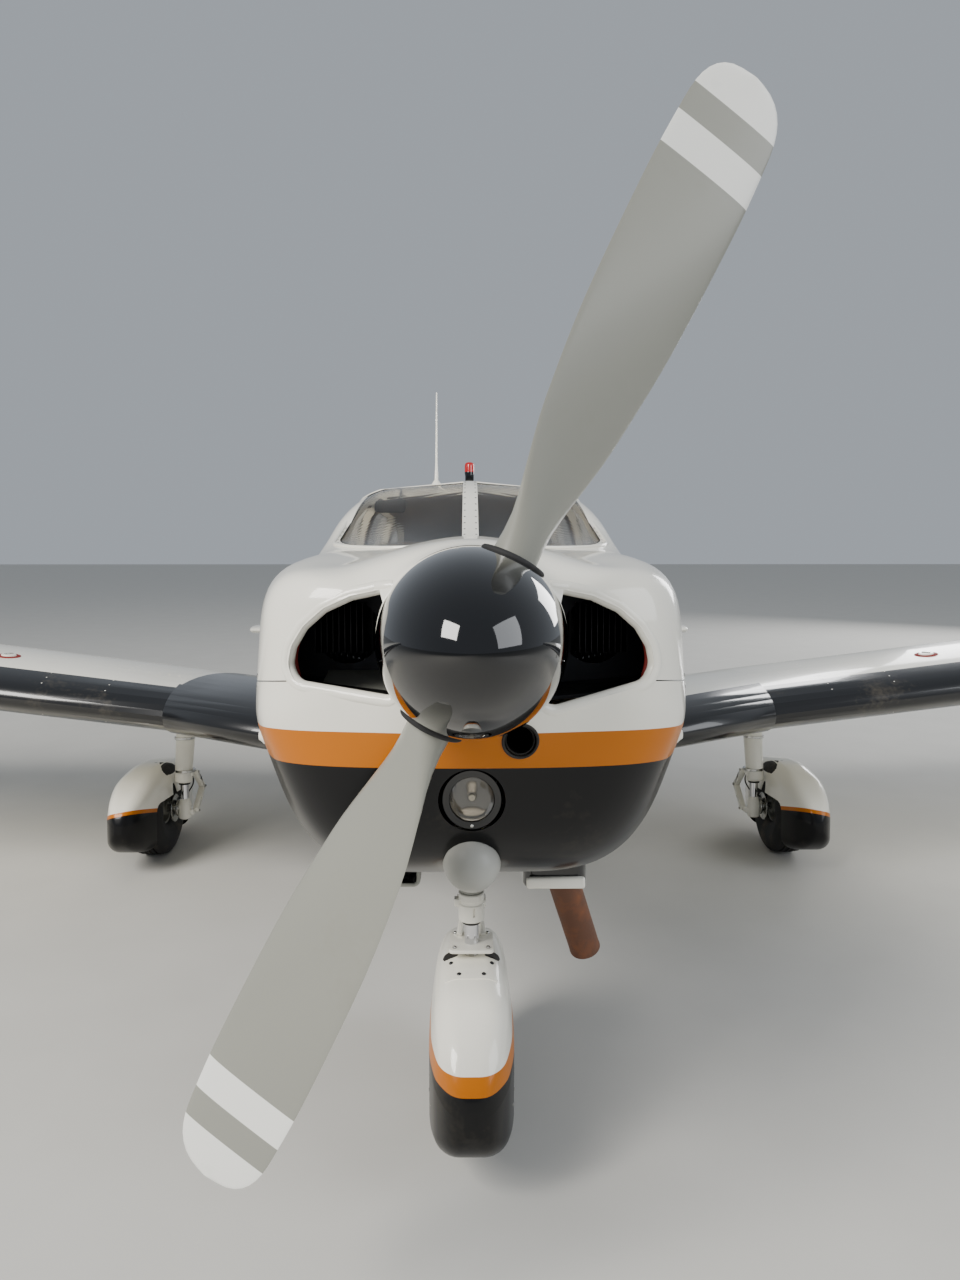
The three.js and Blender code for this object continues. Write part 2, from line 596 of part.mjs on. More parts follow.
// The space of a hinged surface: a round nose about its hinge line and everything aft of it.
function hingedSpace(from, to, radiusFrom, radiusTo, flat = [1, 2]) {
  const steps = 6;
  const ring = (centre, radius) => {
    const arc = Array.from({ length: steps + 1 }, (_, i) => {
      const angle = Math.PI / 2 + (Math.PI * i) / steps;
      return [radius * Math.cos(angle), radius * Math.sin(angle)];
    });
    return [[700, radius * 1.6], ...arc, [700, -radius * 1.6]].map(([aft, across]) => {
      const point = [...centre];
      point[1] += aft;
      point[flat[1] === 2 ? 2 : 0] += across;
      return point;
    });
  };
  return loft([ring(from, radiusFrom), ring(to, radiusTo)], flat);
}

const wing = wingBody();
const flapHinge = [FLAP.from, FLAP.to].map((x) => wingPoint(x, FLAP.fraction));
const aileronHinge = [AILERON.from, AILERON.to].map((x) => wingPoint(x, AILERON.fraction));

// A hinge line carried on past both its ends by a distance along x.
function lengthened([from, to], distance) {
  const slope = to.map((value, i) => (value - from[i]) / (to[0] - from[0]));
  return [from.map((v, i) => v - slope[i] * distance), to.map((v, i) => v + slope[i] * distance)];
}

// The pins at both ends of a hinge line, or their bores if grown by a gap.
function pins(hinge, grow = 0, radius = PIN.radius) {
  const [from, to] = hinge.map((point) => new THREE.Vector3(...point));
  const along = to.clone().sub(from).normalize();
  return [[from, 1], [to, -1]].map(([end, inward]) => {
    const at = (distance) => end.clone().addScaledVector(along, inward * distance).toArray();
    return rod(at(-PIN.root), at(PIN.depth + grow), radius + grow, PIN.sides);
  });
}

function controlSurface(hinge, noseFrom, noseTo) {
  const space = hingedSpace(...hinge, noseFrom, noseTo);
  return mainBody(wing.intersect(space).subtract(union(...pins(hinge, GAP))));
}

function wingPanel() {
  const noses = [[flapHinge, FLAP.nose, FLAP.nose], [aileronHinge, AILERON.noseInner, AILERON.noseOuter]];
  let made = wing;
  for (const [hinge, inner, outer] of noses) {
    const cove = hingedSpace(...lengthened(hinge, END_GAP), inner + RUNNING_GAP, outer + RUNNING_GAP);
    made = made.subtract(cove).add(union(...pins(hinge)));
  }
  return mainBody(made.subtract(HULL_CLEAR));
}

// Tie-down lug under the wing, with a flat foot.
const LUG = { x: 2850, y: 2760 };
function tieDownLug() {
  const [x, y] = [LUG.x, LUG.y];
  return block(x - 9, x + 9, y - 30, y + 30, 800, 980);
}

const panel = wingPanel().add(tieDownLug());
const flap = controlSurface(flapHinge, FLAP.nose, FLAP.nose);
const aileron = controlSurface(aileronHinge, AILERON.noseInner, AILERON.noseOuter);
for (const [side, made] of [["left", (body) => body], ["right", mirrored]]) {
  add(airframe, `wing_${side}`, made(panel), WHITE);
  add(airframe, `flap_${side}`, made(flap), WHITE);
  add(airframe, `aileron_${side}`, made(aileron), WHITE);
}

// Fin and rudder sections: z, leading edge y, trailing edge y, thickness as a fraction of the chord.
const FIN_SECTIONS = [
  [1040, 5866, 7150, 0.075],
  [2140, 6634, 7292, 0.075],
  [2220, 6700, 7290, 0.07],
  [2240, 6790, 7240, 0.03],
];

function tailBody() {
  return loft(
    FIN_SECTIONS.map(([z, leading, trailing, thickness]) =>
      aerofoil(thickness, 0, 6).map(([u, v]) => [v * (trailing - leading), mix(leading, trailing, u), z]),
    ),
    [0, 1],
  );
}

const rudderLine = (distance) => {
  const slope = (RUDDER.highY - RUDDER.lowY) / (RUDDER.high - RUDDER.low);
  return [RUDDER.low, RUDDER.high].map((z, i) => {
    const past = i ? distance : -distance;
    return [0, RUDDER.lowY + (z - RUDDER.low + past) * slope, z + past];
  });
};

function fin() {
  const [noseLow, noseHigh] = [RUDDER.noseLow + RUNNING_GAP, RUDDER.noseHigh + RUNNING_GAP];
  const cove = hingedSpace(...rudderLine(RUNNING_GAP), noseLow, noseHigh, [1, 0]);
  const below = block(-300, 300, TAIL_CONE.back - 20, 7600, 900, RUDDER.low);
  const dorsal = prism([[5260, 1340], [6180, 1500], [6500, 1150], [5260, 1200]], "x", -13, 13);
  const cap = block(-200, 200, 5000, 7500, RUDDER.high + RUNNING_GAP, 2500);
  const upper = tailBody().subtract(cove.subtract(cap)).subtract(below);
  return mainBody(upper.add(dorsal).add(pins(rudderLine(0), 0, RUDDER.pin)[1]).subtract(HULL_CLEAR));
}

function rudder() {
  const space = hingedSpace(...rudderLine(0), RUDDER.noseLow, RUDDER.noseHigh, [1, 0]);
  return mainBody(tailBody().intersect(space).subtract(pins(rudderLine(0), GAP, RUDDER.pin)[1]));
}
add(airframe, "fin", fin(), WHITE);
add(airframe, "rudder", rudder(), WHITE);

// Tailplane, one all-moving surface on a tube through the tail cone, notched round the cone.
function tailplaneBody() {
  const { tip, front, chord, thickness, z } = STABILATOR;
  const sections = [[tip, 0.55, 0.3], [tip - 12, 0.85, 0.75], [tip - 50, 1, 1]];
  const half = [...sections, ...[...sections].reverse().map(([x, size, fat]) => [-x, size, fat])];
  return loft(
    half.map(([x, size, fat]) => {
      const leading = front + chord * (1 - size) * 0.6;
      return aerofoil(thickness * fat, 0, 6).map(([u, v]) => [x, leading + u * chord * size, z + v * chord]);
    }),
    [1, 2],
  );
}

const tabHingeY = STABILATOR.front + STABILATOR.chord * TAB.fraction;
const tabLine = (distance) => [-1, 1].map((side) => [side * (TAB.tip + distance), tabHingeY, STABILATOR.z]);

function tailplane() {
  const { pivot, z, tube, front } = STABILATOR;
  const notch = block(-162, 162, front - 100, TAIL_CONE.back + 36, z - 200, z + 200);
  const cove = hingedSpace(...tabLine(RUNNING_GAP), TAB.nose + RUNNING_GAP, TAB.nose + RUNNING_GAP);
  const shaft = rod([-300, pivot, z], [300, pivot, z], tube, 24);
  const plane = tailplaneBody().subtract(notch).subtract(cove);
  return mainBody(union(plane, shaft, ...pins(tabLine(0), 0, TAB.pin)));
}

function tab() {
  const space = hingedSpace(...tabLine(0), TAB.nose, TAB.nose);
  return mainBody(tailplaneBody().intersect(space).subtract(union(...pins(tabLine(0), GAP, TAB.pin))));
}
add(airframe, "stabilator", tailplane(), WHITE);
add(airframe, "anti_servo_tab", tab(), WHITE);

// Instrument panel under its glare shield, and a yoke for each pilot.
const PANEL = { y: 1730, back: 1790, low: 1010, high: 1345 };
function instrumentPanel() {
  const board = block(-600, 600, PANEL.y, PANEL.back, PANEL.low, PANEL.high);
  const shieldPlan = [[-600, 1500], [600, 1500], [600, 1830], [-600, 1830]];
  const shield = prism(shieldPlan, "z", 1340, 1366);
  const pedestal = block(-130, 130, 1500, PANEL.back, 655, PANEL.low + 10);
  const room = fuselage(CABIN.firewall, CABIN.bulkhead, SKIN.cabin + GAP);
  return mainBody(union(board, shield, pedestal).intersect(room));
}
function yoke(x) {
  const hubZ = 1180;
  const [near, far] = [PANEL.back + GAP, 1985];
  const shaft = rod([x, near, hubZ], [x, far, hubZ], 14, 12);
  const bar = block(x - 130, x + 130, far - 14, far + 12, hubZ - 40, hubZ + 10);
  const horns = [-1, 1].map((side) => {
    const [foot, top] = [[x + side * 118, far, hubZ - 30], [x + side * 138, far, hubZ + 105]];
    return rod(foot, top, 14, 10);
  });
  return union(shaft, bar, ...horns);
}
add(airframe, "instrument_panel", instrumentPanel(), TRIM);
add(airframe, "yoke_left", yoke(245), TRIM);
add(airframe, "yoke_right", yoke(-245), TRIM);

// Seats: cushion, back and pedestal in one outline on the side, y and z.
const FLOOR_Z = 572 + SKIN.cabin + GAP;
const SEAT = { inner: 40, outer: 455 };
function seat(front) {
  const outline = [
    [0, 930], [470, 890], [610, 1500], [720, 1490], [600, 860],
    [520, 790], [480, FLOOR_Z + 28], [120, FLOOR_Z + 28], [100, 790], [0, 800],
  ].map(([aft, height]) => [front + aft, height]);
  return prism(rounded(outline, 30, 2), "x", SEAT.inner, SEAT.outer);
}
for (const [place, front] of [["front", 2180], ["rear", 3080]]) {
  const room = fuselage(CABIN.firewall, CABIN.bulkhead, SKIN.cabin + GAP);
  const made = mainBody(seat(front).add(block(90, 420, front + 130, front + 470, 560, 700)).intersect(room));
  add(airframe, `seat_${place}_left`, made, LEATHER);
  add(airframe, `seat_${place}_right`, mirrored(made), LEATHER);
}

// Antenna, beacon, pitot mast and boarding step.
const antennaFoot = [-160, 2800];
const whip = rod([...antennaFoot, 1700], [antennaFoot[0], antennaFoot[1] + 70, 2230], 9, 10, 3);
const antenna = whip.add(rod([...antennaFoot, 1700], [...antennaFoot, 1800], 26, 12));
add(airframe, "antenna", mainBody(antenna.subtract(HULL_CLEAR)), WHITE);
const beaconPlace = [0, 7000];
const beacon = union(
  rod([...beaconPlace, 2200], [...beaconPlace, 2385], 38, 16),
  rod([...beaconPlace, 2380], [...beaconPlace, 2440], 47, 20),
  rod([...beaconPlace, 2440], [...beaconPlace, 2485], 47, 20, 24),
);
add(airframe, "beacon", mainBody(beacon.subtract(shifted(tailBody(), 0, 0, 2 * GAP))), RED);
const pitot = union(block(2540, 2556, 2420, 2510, 690, 900), block(2534, 2562, 2370, 2510, 670, 698));
const pitotClear = shifted(wing, 0, 0, -2 * GAP);
add(airframe, "pitot_mast", mainBody(pitot.subtract(pitotClear).subtract(wing)), GREY);
const step = union(
  rod([-430, 3860, 640], [-560, 3900, 440], 12, 12),
  block(-660, -520, 3860, 3960, 425, 441),
);
add(airframe, "boarding_step", mainBody(step.subtract(HULL_CLEAR)), GREY);
const skid = union(block(-9, 9, 6330, 6420, 730, 900), block(-16, 16, 6320, 6430, 722, 734));
add(airframe, "tail_tie_down", mainBody(skid.subtract(HULL_CLEAR)), GREY);

// Fairing on the chin, ahead of the nose leg.
function legFairing() {
  const outer = rod([0, 520, 560], [0, 600, 800], 58, 24);
  return outer.subtract(HULL_CLEAR);
}

// Main legs: cylinder from the wing down to the piston, torque links inboard, axle outward to the wheel.
const MAIN_LEG = { x: 1388, radius: 48 };
function mainLeg() {
  const [x, y, z] = [MAIN_LEG.x, MAIN_AXLE.y, MAIN_AXLE.z];
  const cylinder = rod([x, y, 312], [x, y, 900], MAIN_LEG.radius, 20);
  const piston = rod([x, y, 180], [x, y, 320], 19, 18);
  const fitting = rod([x, y, 168], [x, y, 268], 30, 16);
  const axle = rod([x, y, z], [MAIN_AXLE.end, y, z], MAIN_AXLE.radius, 20);
  const linkage = [
    [30, 400], [150, 300], [30, 190], [0, 190], [0, 240], [95, 300], [0, 350], [0, 400],
  ].map(([aft, height]) => [y + aft, height]);
  const links = prism(linkage, "x", x - 60, x - 30);
  const lugs = [395, 205].map((height) => block(x - 45, x, y - 16, y + 46, height - 18, height + 12));
  const whole = union(cylinder, piston, fitting, axle, links, ...lugs);
  return mainBody(whole.subtract(wing).subtract(shifted(wing, 0, 0, -2 * GAP)));
}

// Main wheel fairing: sections aft of the axle: y, half width, low z, high z. Open below and inboard.
const MAIN_FAIRING = [
  [-430, 12, 205, 250],
  [-405, 44, 155, 310],
  [-330, 90, 100, 390],
  [-200, 118, 72, 458],
  [0, 126, 60, 482],
  [200, 118, 66, 466],
  [400, 76, 110, 404],
  [570, 14, 190, 310],
];

function fairingRings(table, inset, centreX, centreY) {
  return table.map(([y, half, low, high]) => {
    const [w, l, h] = [Math.max(half - inset, 4), low + inset, high - inset];
    const shoulder = mix(l, h, 0.6);
    const corners = [[-w, l], [w, l], [w, shoulder], [w * 0.76, h], [-w * 0.76, h], [-w, shoulder]];
    const station = centreY + y * (1 - inset * 0.0016);
    return rounded(corners, half * 0.35, 1).map(([x, z]) => [centreX + x, station, z]);
  });
}

function mainFairing() {
  const centre = [MAIN_AXLE.x + 20, MAIN_AXLE.y];
  const outer = loft(fairingRings(MAIN_FAIRING, 0, ...centre), [0, 2]);
  const inner = loft(fairingRings(MAIN_FAIRING, SKIN.fairing, ...centre), [0, 2]);
  const [x, y, z] = [MAIN_AXLE.x, MAIN_AXLE.y, MAIN_AXLE.z];
  const wheelWell = block(x - 92, x + 92, y - 238, y + 238, 0, 200);
  const openSide = block(1200, x - 60, y - 250, y + 250, 0, 440);
  const hubHole = rod([x, y, z], [x + 200, y, z], MAIN_AXLE.radius + GAP, 20);
  return mainBody(outer.subtract(inner).subtract(wheelWell).subtract(openSide).subtract(hubHole));
}

// The fairing sits on the axle's outer end.
const leg = mainLeg();
const fairing = mainFairing();
add(airframe, "main_leg_left", leg, WHITE);
add(airframe, "main_leg_right", mirrored(leg), WHITE);
add(airframe, "main_fairing_left", fairing, WHITE);
add(airframe, "main_fairing_right", mirrored(fairing), WHITE);
add(airframe, "nose_leg_fairing", mainBody(legFairing()), WHITE);

// Wheels, turned about their own axle (X).
const WHEEL_SIDES = 20;
function wheelProfile({ radius, width, bore }) {
  const half = width / 2;
  const bead = bore + 12;
  const corners = [
    [bore, -half * 0.62], [bead, -half * 0.78], [radius * 0.72, -half], [radius * 0.93, -half * 0.86],
    [radius, -half * 0.5], [radius, half * 0.5], [radius * 0.93, half * 0.86], [radius * 0.72, half],
    [bead, half * 0.78], [bore, half * 0.62],
  ];
  return [...corners, corners[0]].map(([r, a]) => new THREE.Vector2(r, a));
}
const tyre = (size) => solid(new THREE.LatheGeometry(wheelProfile(size), WHEEL_SIDES).rotateZ(-Math.PI / 2));

function rim({ width, bore }, axle) {
  const [half, hole, outer] = [width * 0.3, axle + GAP, bore - GAP];
  const corners = [
    [hole, -half - 8], [hole + 20, -half * 0.4], [outer - 10, -half * 0.4], [outer, -half],
    [outer, half], [outer - 10, half * 0.4], [hole + 20, half * 0.4], [hole, half + 8],
  ];
  const points = [...corners, corners[0]].map(([r, a]) => new THREE.Vector2(r, a));
  return solid(new THREE.LatheGeometry(points, WHEEL_SIDES).rotateZ(-Math.PI / 2));
}
const mainAxleY = MAIN_AXLE.parkedY - hub.y;
for (const [side, sign] of [["left", 1], ["right", -1]]) {
  const place = [sign * MAIN_AXLE.x, mainAxleY, MAIN_AXLE.z];
  add(gear, `main_tyre_${side}`, tyre(MAIN_TYRE), RUBBER, place);
  add(gear, `main_rim_${side}`, rim(MAIN_TYRE, MAIN_AXLE.radius), STEEL, place);
}
add(gear, "nose_tyre", tyre(NOSE_TYRE), RUBBER, [0, NOSE_AXLE.y, NOSE_TYRE.radius]);
add(gear, "nose_rim", rim(NOSE_TYRE, NOSE_AXLE.radius), STEEL, [0, NOSE_AXLE.y, NOSE_TYRE.radius]);

// Nose leg: a fixed housing, and below it the steered collar, piston, links, bracket, fork and axle.
const COLLAR = { low: 596, radius: 33 };
const legHousing = rod([0, STEER_Y, LEG_HOUSING.low], [0, STEER_Y, LEG_HOUSING.high], LEG_HOUSING.radius, 24);
add(gear, "nose_leg_housing", legHousing, GREY);

function noseLeg() {
  const [y, axleY, axleZ] = [STEER_Y, NOSE_AXLE.y, NOSE_TYRE.radius];
  const collar = rod([0, y, COLLAR.low], [0, y, LEG_HOUSING.low - GAP], COLLAR.radius, 24);
  const piston = rod([0, y, 385], [0, y, 600], NOSE_PISTON_RADIUS, 18);
  const linkage = [
    [20, 650], [130, 590], [20, 520], [0, 520], [0, 548], [85, 590], [0, 622], [0, 650],
  ].map(([aft, height]) => [y + aft, height]);
  const links = prism(linkage, "x", -20, 20);
  const plate = block(-56, 56, y - 50, y + 62, 527, 540);
  const crown = block(-78, 78, y - 40, axleY + 40, 372, 394);
  const arms = [-1, 1].map((side) => {
    const [x0, x1] = side > 0 ? [68, 78] : [-78, -68];
    const outline = [[y - 40, 380], [axleY + 40, 380], [axleY + 24, axleZ - 20], [axleY - 24, axleZ - 20]];
    return prism(outline, "x", x0, x1);
  });
  const axle = rod([-NOSE_AXLE.end, axleY, axleZ], [NOSE_AXLE.end, axleY, axleZ], NOSE_AXLE.radius, 20);
  return union(collar, piston, links, plate, crown, ...arms, axle);
}
add(gear, "nose_leg", noseLeg(), WHITE);

// Nose wheel fairing: sections aft of the axle: y, half width, low z, high z. Open below.
const NOSE_FAIRING = [
  [-380, 12, 215, 270],
  [-360, 36, 165, 330],
  [-290, 74, 100, 410],
  [-170, 98, 62, 478],
  [-20, 106, 46, 505],
  [150, 98, 52, 478],
  [300, 62, 100, 380],
  [420, 12, 180, 270],
];

function noseFairing() {
  const outer = loft(fairingRings(NOSE_FAIRING, 0, 0, NOSE_AXLE.y), [0, 2]);
  const inner = loft(fairingRings(NOSE_FAIRING, SKIN.fairing, 0, NOSE_AXLE.y), [0, 2]);
  const wheelWell = block(-72, 72, NOSE_AXLE.y - 205, NOSE_AXLE.y + 205, 0, 160);
  const legHole = rod([0, STEER_Y, 380], [0, STEER_Y, 600], NOSE_PISTON_RADIUS + GAP, 20);
  const [axleY, axleZ] = [NOSE_AXLE.y, NOSE_TYRE.radius];
  const axleHole = rod([-200, axleY, axleZ], [200, axleY, axleZ], NOSE_AXLE.radius + GAP, 20);
  return mainBody(outer.subtract(inner).subtract(wheelWell).subtract(legHole).subtract(axleHole));
}
add(gear, "nose_fairing", noseFairing(), WHITE);

export default aircraft;
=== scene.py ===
import json
import logging
import math
from collections.abc import Callable, Iterable, Sequence
from dataclasses import dataclass
from enum import Enum

import bmesh
import bpy
from mathutils import Matrix, Vector
from mathutils.bvhtree import BVHTree


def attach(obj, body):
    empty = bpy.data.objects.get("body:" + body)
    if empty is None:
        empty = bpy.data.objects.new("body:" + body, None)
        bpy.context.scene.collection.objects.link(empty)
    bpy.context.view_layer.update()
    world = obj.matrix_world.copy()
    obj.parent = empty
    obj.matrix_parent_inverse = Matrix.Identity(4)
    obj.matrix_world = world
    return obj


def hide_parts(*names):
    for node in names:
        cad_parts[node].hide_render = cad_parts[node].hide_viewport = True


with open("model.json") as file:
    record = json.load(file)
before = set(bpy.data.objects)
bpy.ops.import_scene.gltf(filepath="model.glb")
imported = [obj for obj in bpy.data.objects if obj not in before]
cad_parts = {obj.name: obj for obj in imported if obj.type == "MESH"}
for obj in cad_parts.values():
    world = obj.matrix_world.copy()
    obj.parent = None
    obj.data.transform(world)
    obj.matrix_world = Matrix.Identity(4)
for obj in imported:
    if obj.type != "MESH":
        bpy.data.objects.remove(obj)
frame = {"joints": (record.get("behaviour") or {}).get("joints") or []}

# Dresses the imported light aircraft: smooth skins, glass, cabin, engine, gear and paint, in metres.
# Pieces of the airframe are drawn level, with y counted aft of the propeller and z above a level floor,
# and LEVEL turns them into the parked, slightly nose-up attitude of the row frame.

LOG = logging.getLogger("light_aircraft")
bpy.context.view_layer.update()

Point = tuple[float, float]
Place = Sequence[float]
Ring = list[Vector]


def joint_place(name: str) -> tuple[Vector, Vector]:
    """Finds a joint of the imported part.

    Args:
        name: the joint's name.

    Returns:
        Its place and its axis in the row frame.
    """
    found = next(joint for joint in frame["joints"] if joint["name"] == name)
    return Vector(found["pos_m"]), Vector(found["axis"]).normalized()


THRUST_Z = 1.190
HUB, THRUST_AXIS = joint_place("propeller_spin")
NOSE_UP = math.asin(THRUST_AXIS.z)
TURN = Matrix.Rotation(-NOSE_UP, 4, "X")
LEVEL = Matrix.Translation(HUB - TURN @ Vector((0, 0, THRUST_Z))) @ TURN
PARKED = Matrix.Translation((0, HUB.y, 0))
SIDES = (("left", 1.0), ("right", -1.0))


class Body(Enum):
    """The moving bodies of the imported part."""

    AIRFRAME = "airframe"
    PROPELLER = "propeller_unit"
    NOSE_STEERING = "nose_steering"
    NOSE_WHEEL = "nose_wheel"
    MAIN_WHEEL_LEFT = "main_wheel_left"
    MAIN_WHEEL_RIGHT = "main_wheel_right"
    LEFT_FLAP = "left_flap"
    RIGHT_FLAP = "right_flap"
    LEFT_AILERON = "left_aileron"
    RIGHT_AILERON = "right_aileron"
    RUDDER = "rudder_body"
    TAILPLANE = "tailplane"
    TAB = "servo_tab"
    DOOR = "door"
    BAGGAGE = "baggage_hatch"


# Outlines and tables


def corner_arc(before: Vector, corner: Vector, after: Vector, radius: float, steps: int) -> list[Vector]:
    """Rounds one corner of a flat outline.

    Args:
        before: the corner ahead of it.
        corner: the corner.
        after: the corner behind it.
        radius: the arc's radius.
        steps: the arc's number of steps.

    Returns:
        The arc's points, steps + 1 of them.
    """
    back, ahead = before - corner, after - corner
    half = back.angle(ahead) / 2
    if half > 1.56:
        return [corner.copy() for _ in range(steps + 1)]
    reach = min(radius / math.tan(half), 0.48 * back.length, 0.48 * ahead.length)
    u, v = back.normalized(), ahead.normalized()
    centre = corner + (u + v).normalized() * (reach / math.cos(half))
    start, end = corner + u * reach - centre, corner + v * reach - centre
    first = math.atan2(start.y, start.x)
    sweep = (math.atan2(end.y, end.x) - first + math.pi) % (2 * math.pi) - math.pi
    angles = [first + sweep * i / steps for i in range(steps + 1)]
    return [centre + start.length * Vector((math.cos(a), math.sin(a))) for a in angles]


def rounded(corners: Sequence[Point], radius: float, steps: int = 6) -> list[Vector]:
    """Rounds every corner of a closed outline.

    Args:
        corners: the outline's corners.
        radius: the arcs' radius.
        steps: steps of each arc.

    Returns:
        The rounded outline.
    """
    flat = [Vector(corner) for corner in corners]
    count = len(flat)
    points = []
    for i, corner in enumerate(flat):
        points += corner_arc(flat[i - 1], corner, flat[(i + 1) % count], radius, steps)
    return points


def grown(corners: Sequence[Point], distance: float) -> list[Point]:
    """Moves every side of an outline outward.

    Args:
        corners: the outline's corners.
        distance: how far, or less than 0 for inward.

    Returns:
        The new corners.
    """
    flat = [Vector(corner) for corner in corners]
    area = sum(a.x * b.y - b.x * a.y for a, b in zip(flat, flat[1:] + flat[:1]))
    turn = math.copysign(1, area)
    edges = []
    for a, b in zip(flat, flat[1:] + flat[:1]):
        along = (b - a).normalized()
        normal = Vector((turn * along.y, -turn * along.x))
        edges.append((normal, normal.dot(a) + distance))
    moved = []
    for i, (normal, offset) in enumerate(edges):
        last, last_offset = edges[i - 1]
        cross = normal.x * last.y - normal.y * last.x
        x = (offset * last.y - last_offset * normal.y) / cross
        y = (last_offset * normal.x - offset * last.x) / cross
        moved.append((x, y))
    return moved


def smooth_at(table: Sequence[Sequence[float]], at: float) -> list[float]:
    """Reads a table at a value of its first column, with every other column as one smooth curve.

    Args:
        table: rows in the order of their first column.
        at: the value.

    Returns:
        The whole row there.
    """
    last = len(table) - 1
    i = min(max(sum(row[0] <= at for row in table) - 1, 0), last - 1)
    gap = table[i + 1][0] - table[i][0]
    t = min(max((at - table[i][0]) / gap, 0), 1)

    def slope(k: int, column: int) -> float:
        """The curve's slope at one row, flat where the column turns."""
        if k in (0, last):
            near = (0, 1) if k == 0 else (last - 1, last)
            rise = table[near[1]][column] - table[near[0]][column]
            return rise / (table[near[1]][0] - table[near[0]][0])
        before = (table[k][column] - table[k - 1][column]) / (table[k][0] - table[k - 1][0])
        after = (table[k + 1][column] - table[k][column]) / (table[k + 1][0] - table[k][0])
        return 0.0 if before * after <= 0 else 2 * before * after / (before + after)

    row = [at]
    for column in range(1, len(table[0])):
        a, b = table[i][column], table[i + 1][column]
        ma, mb = slope(i, column) * gap, slope(i + 1, column) * gap
        value = a * (2 * t**3 - 3 * t**2 + 1) + ma * (t**3 - 2 * t**2 + t)
        row.append(value + b * (3 * t**2 - 2 * t**3) + mb * (t**3 - t**2))
    return row


def curve_through(places: Sequence[Place], steps: int = 6) -> list[Vector]:
    """Smooths a path that passes through a few points.

    Args:
        places: the points.
        steps: steps between two of them.

    Returns:
        The smooth path.
    """
    points = [Vector(place) for place in places]
    path = []
    count = len(points)
    for i in range(count - 1):
        before, a, b, after = points[max(i - 1, 0)], points[i], points[i + 1], points[min(i + 2, count - 1)]
        for k in range(steps):
            t = k / steps
            first = a * 2 + (b - before) * t
            second = (before * 2 - a * 5 + b * 4 - after) * t * t
            path.append((first + second + (a * 3 - before - b * 3 + after) * t**3) / 2)
    return path + [points[-1].copy()]


# Meshes


def make(name: str, points: Iterable[Vector], faces: Iterable[Sequence[int]]) -> bpy.types.Object:
    """Makes a mesh object with faces that point outward.

    Args:
        name: the piece's name.
        points: its vertices.
        faces: its faces, as vertex numbers.

    Returns:
        The object, linked to the scene.
    """
    mesh = bpy.data.meshes.new(name)
    mesh.from_pydata([tuple(p) for p in points], [], [tuple(f) for f in faces])
    bm = bmesh.new()
    bm.from_mesh(mesh)
    bmesh.ops.remove_doubles(bm, verts=bm.verts, dist=1e-6)
    bmesh.ops.recalc_face_normals(bm, faces=bm.faces)
    bm.to_mesh(mesh)
    bm.free()
    made = bpy.data.objects.new(name, mesh)
    bpy.context.scene.collection.objects.link(made)
    return made


def plate_faces(columns: int, rows: int, rim: bool = True) -> list[tuple[int, ...]]:
    """The faces of a plate whose two sides are grids of points, one after the other.

    Args:
        columns: steps of a grid from one column of points to the next.
        rows: steps within a column.
        rim: whether the two grids are joined round their edge.

    Returns:
        The faces, as point numbers.
    """
    across, count = rows + 1, (rows + 1) * (columns + 1)
    faces: list[tuple[int, ...]] = []
    for i in range(columns):
        for j in range(rows):
            a, b = i * across + j, (i + 1) * across + j
            faces += [(a, b, b + 1, a + 1), (count + a, count + a + 1, count + b + 1, count + b)]
    if rim:
        edge = list(range(rows)) + [i * across + rows for i in range(columns)]
        edge += [columns * across + j for j in range(rows, 0, -1)]
        edge += [i * across for i in range(columns, 0, -1)]
        faces += [(a, b, count + b, count + a) for a, b in zip(edge, edge[1:] + edge[:1])]
    return faces


def loft(name: str, rings: Sequence[Ring], caps: bool = True) -> bpy.types.Object:
    """Joins rings of points into a tube.

    Args:
        name: the piece's name.
        rings: rings with the same number of points.
        caps: whether both ends are closed by a flat face.

    Returns:
        The object.
    """
    count = len(rings[0])
    faces = []
    for i in range(len(rings) - 1):
        for j in range(count):
            k = (j + 1) % count
            faces.append((i * count + j, i * count + k, (i + 1) * count + k, (i + 1) * count + j))
    if caps:
        faces.append(tuple(range(count)))
        faces.append(tuple(range((len(rings) - 1) * count, len(rings) * count)))
    return make(name, [p for ring in rings for p in ring], faces)


def lathe(name: str, profile: Sequence[Point], axis: str = "Y", sides: int = 64) -> bpy.types.Object:
    """Turns a profile about an axis through the origin.

    Args:
        name: the piece's name.
        profile: points of (radius, place along the axis).
        axis: X, Y or Z.
        sides: steps round the axis.

    Returns:
        The object, closed where the profile is closed or starts and ends on the axis.
    """
    rings = []
    for radius, along in profile:
        ring = []
        for i in range(sides):
            angle = 2 * math.pi * i / sides
            u, v = radius * math.cos(angle), radius * math.sin(angle)
            ring.append(Vector({"X": (along, u, v), "Y": (u, along, v), "Z": (u, v, along)}[axis]))
        rings.append(ring)
    return loft(name, rings, caps=False)


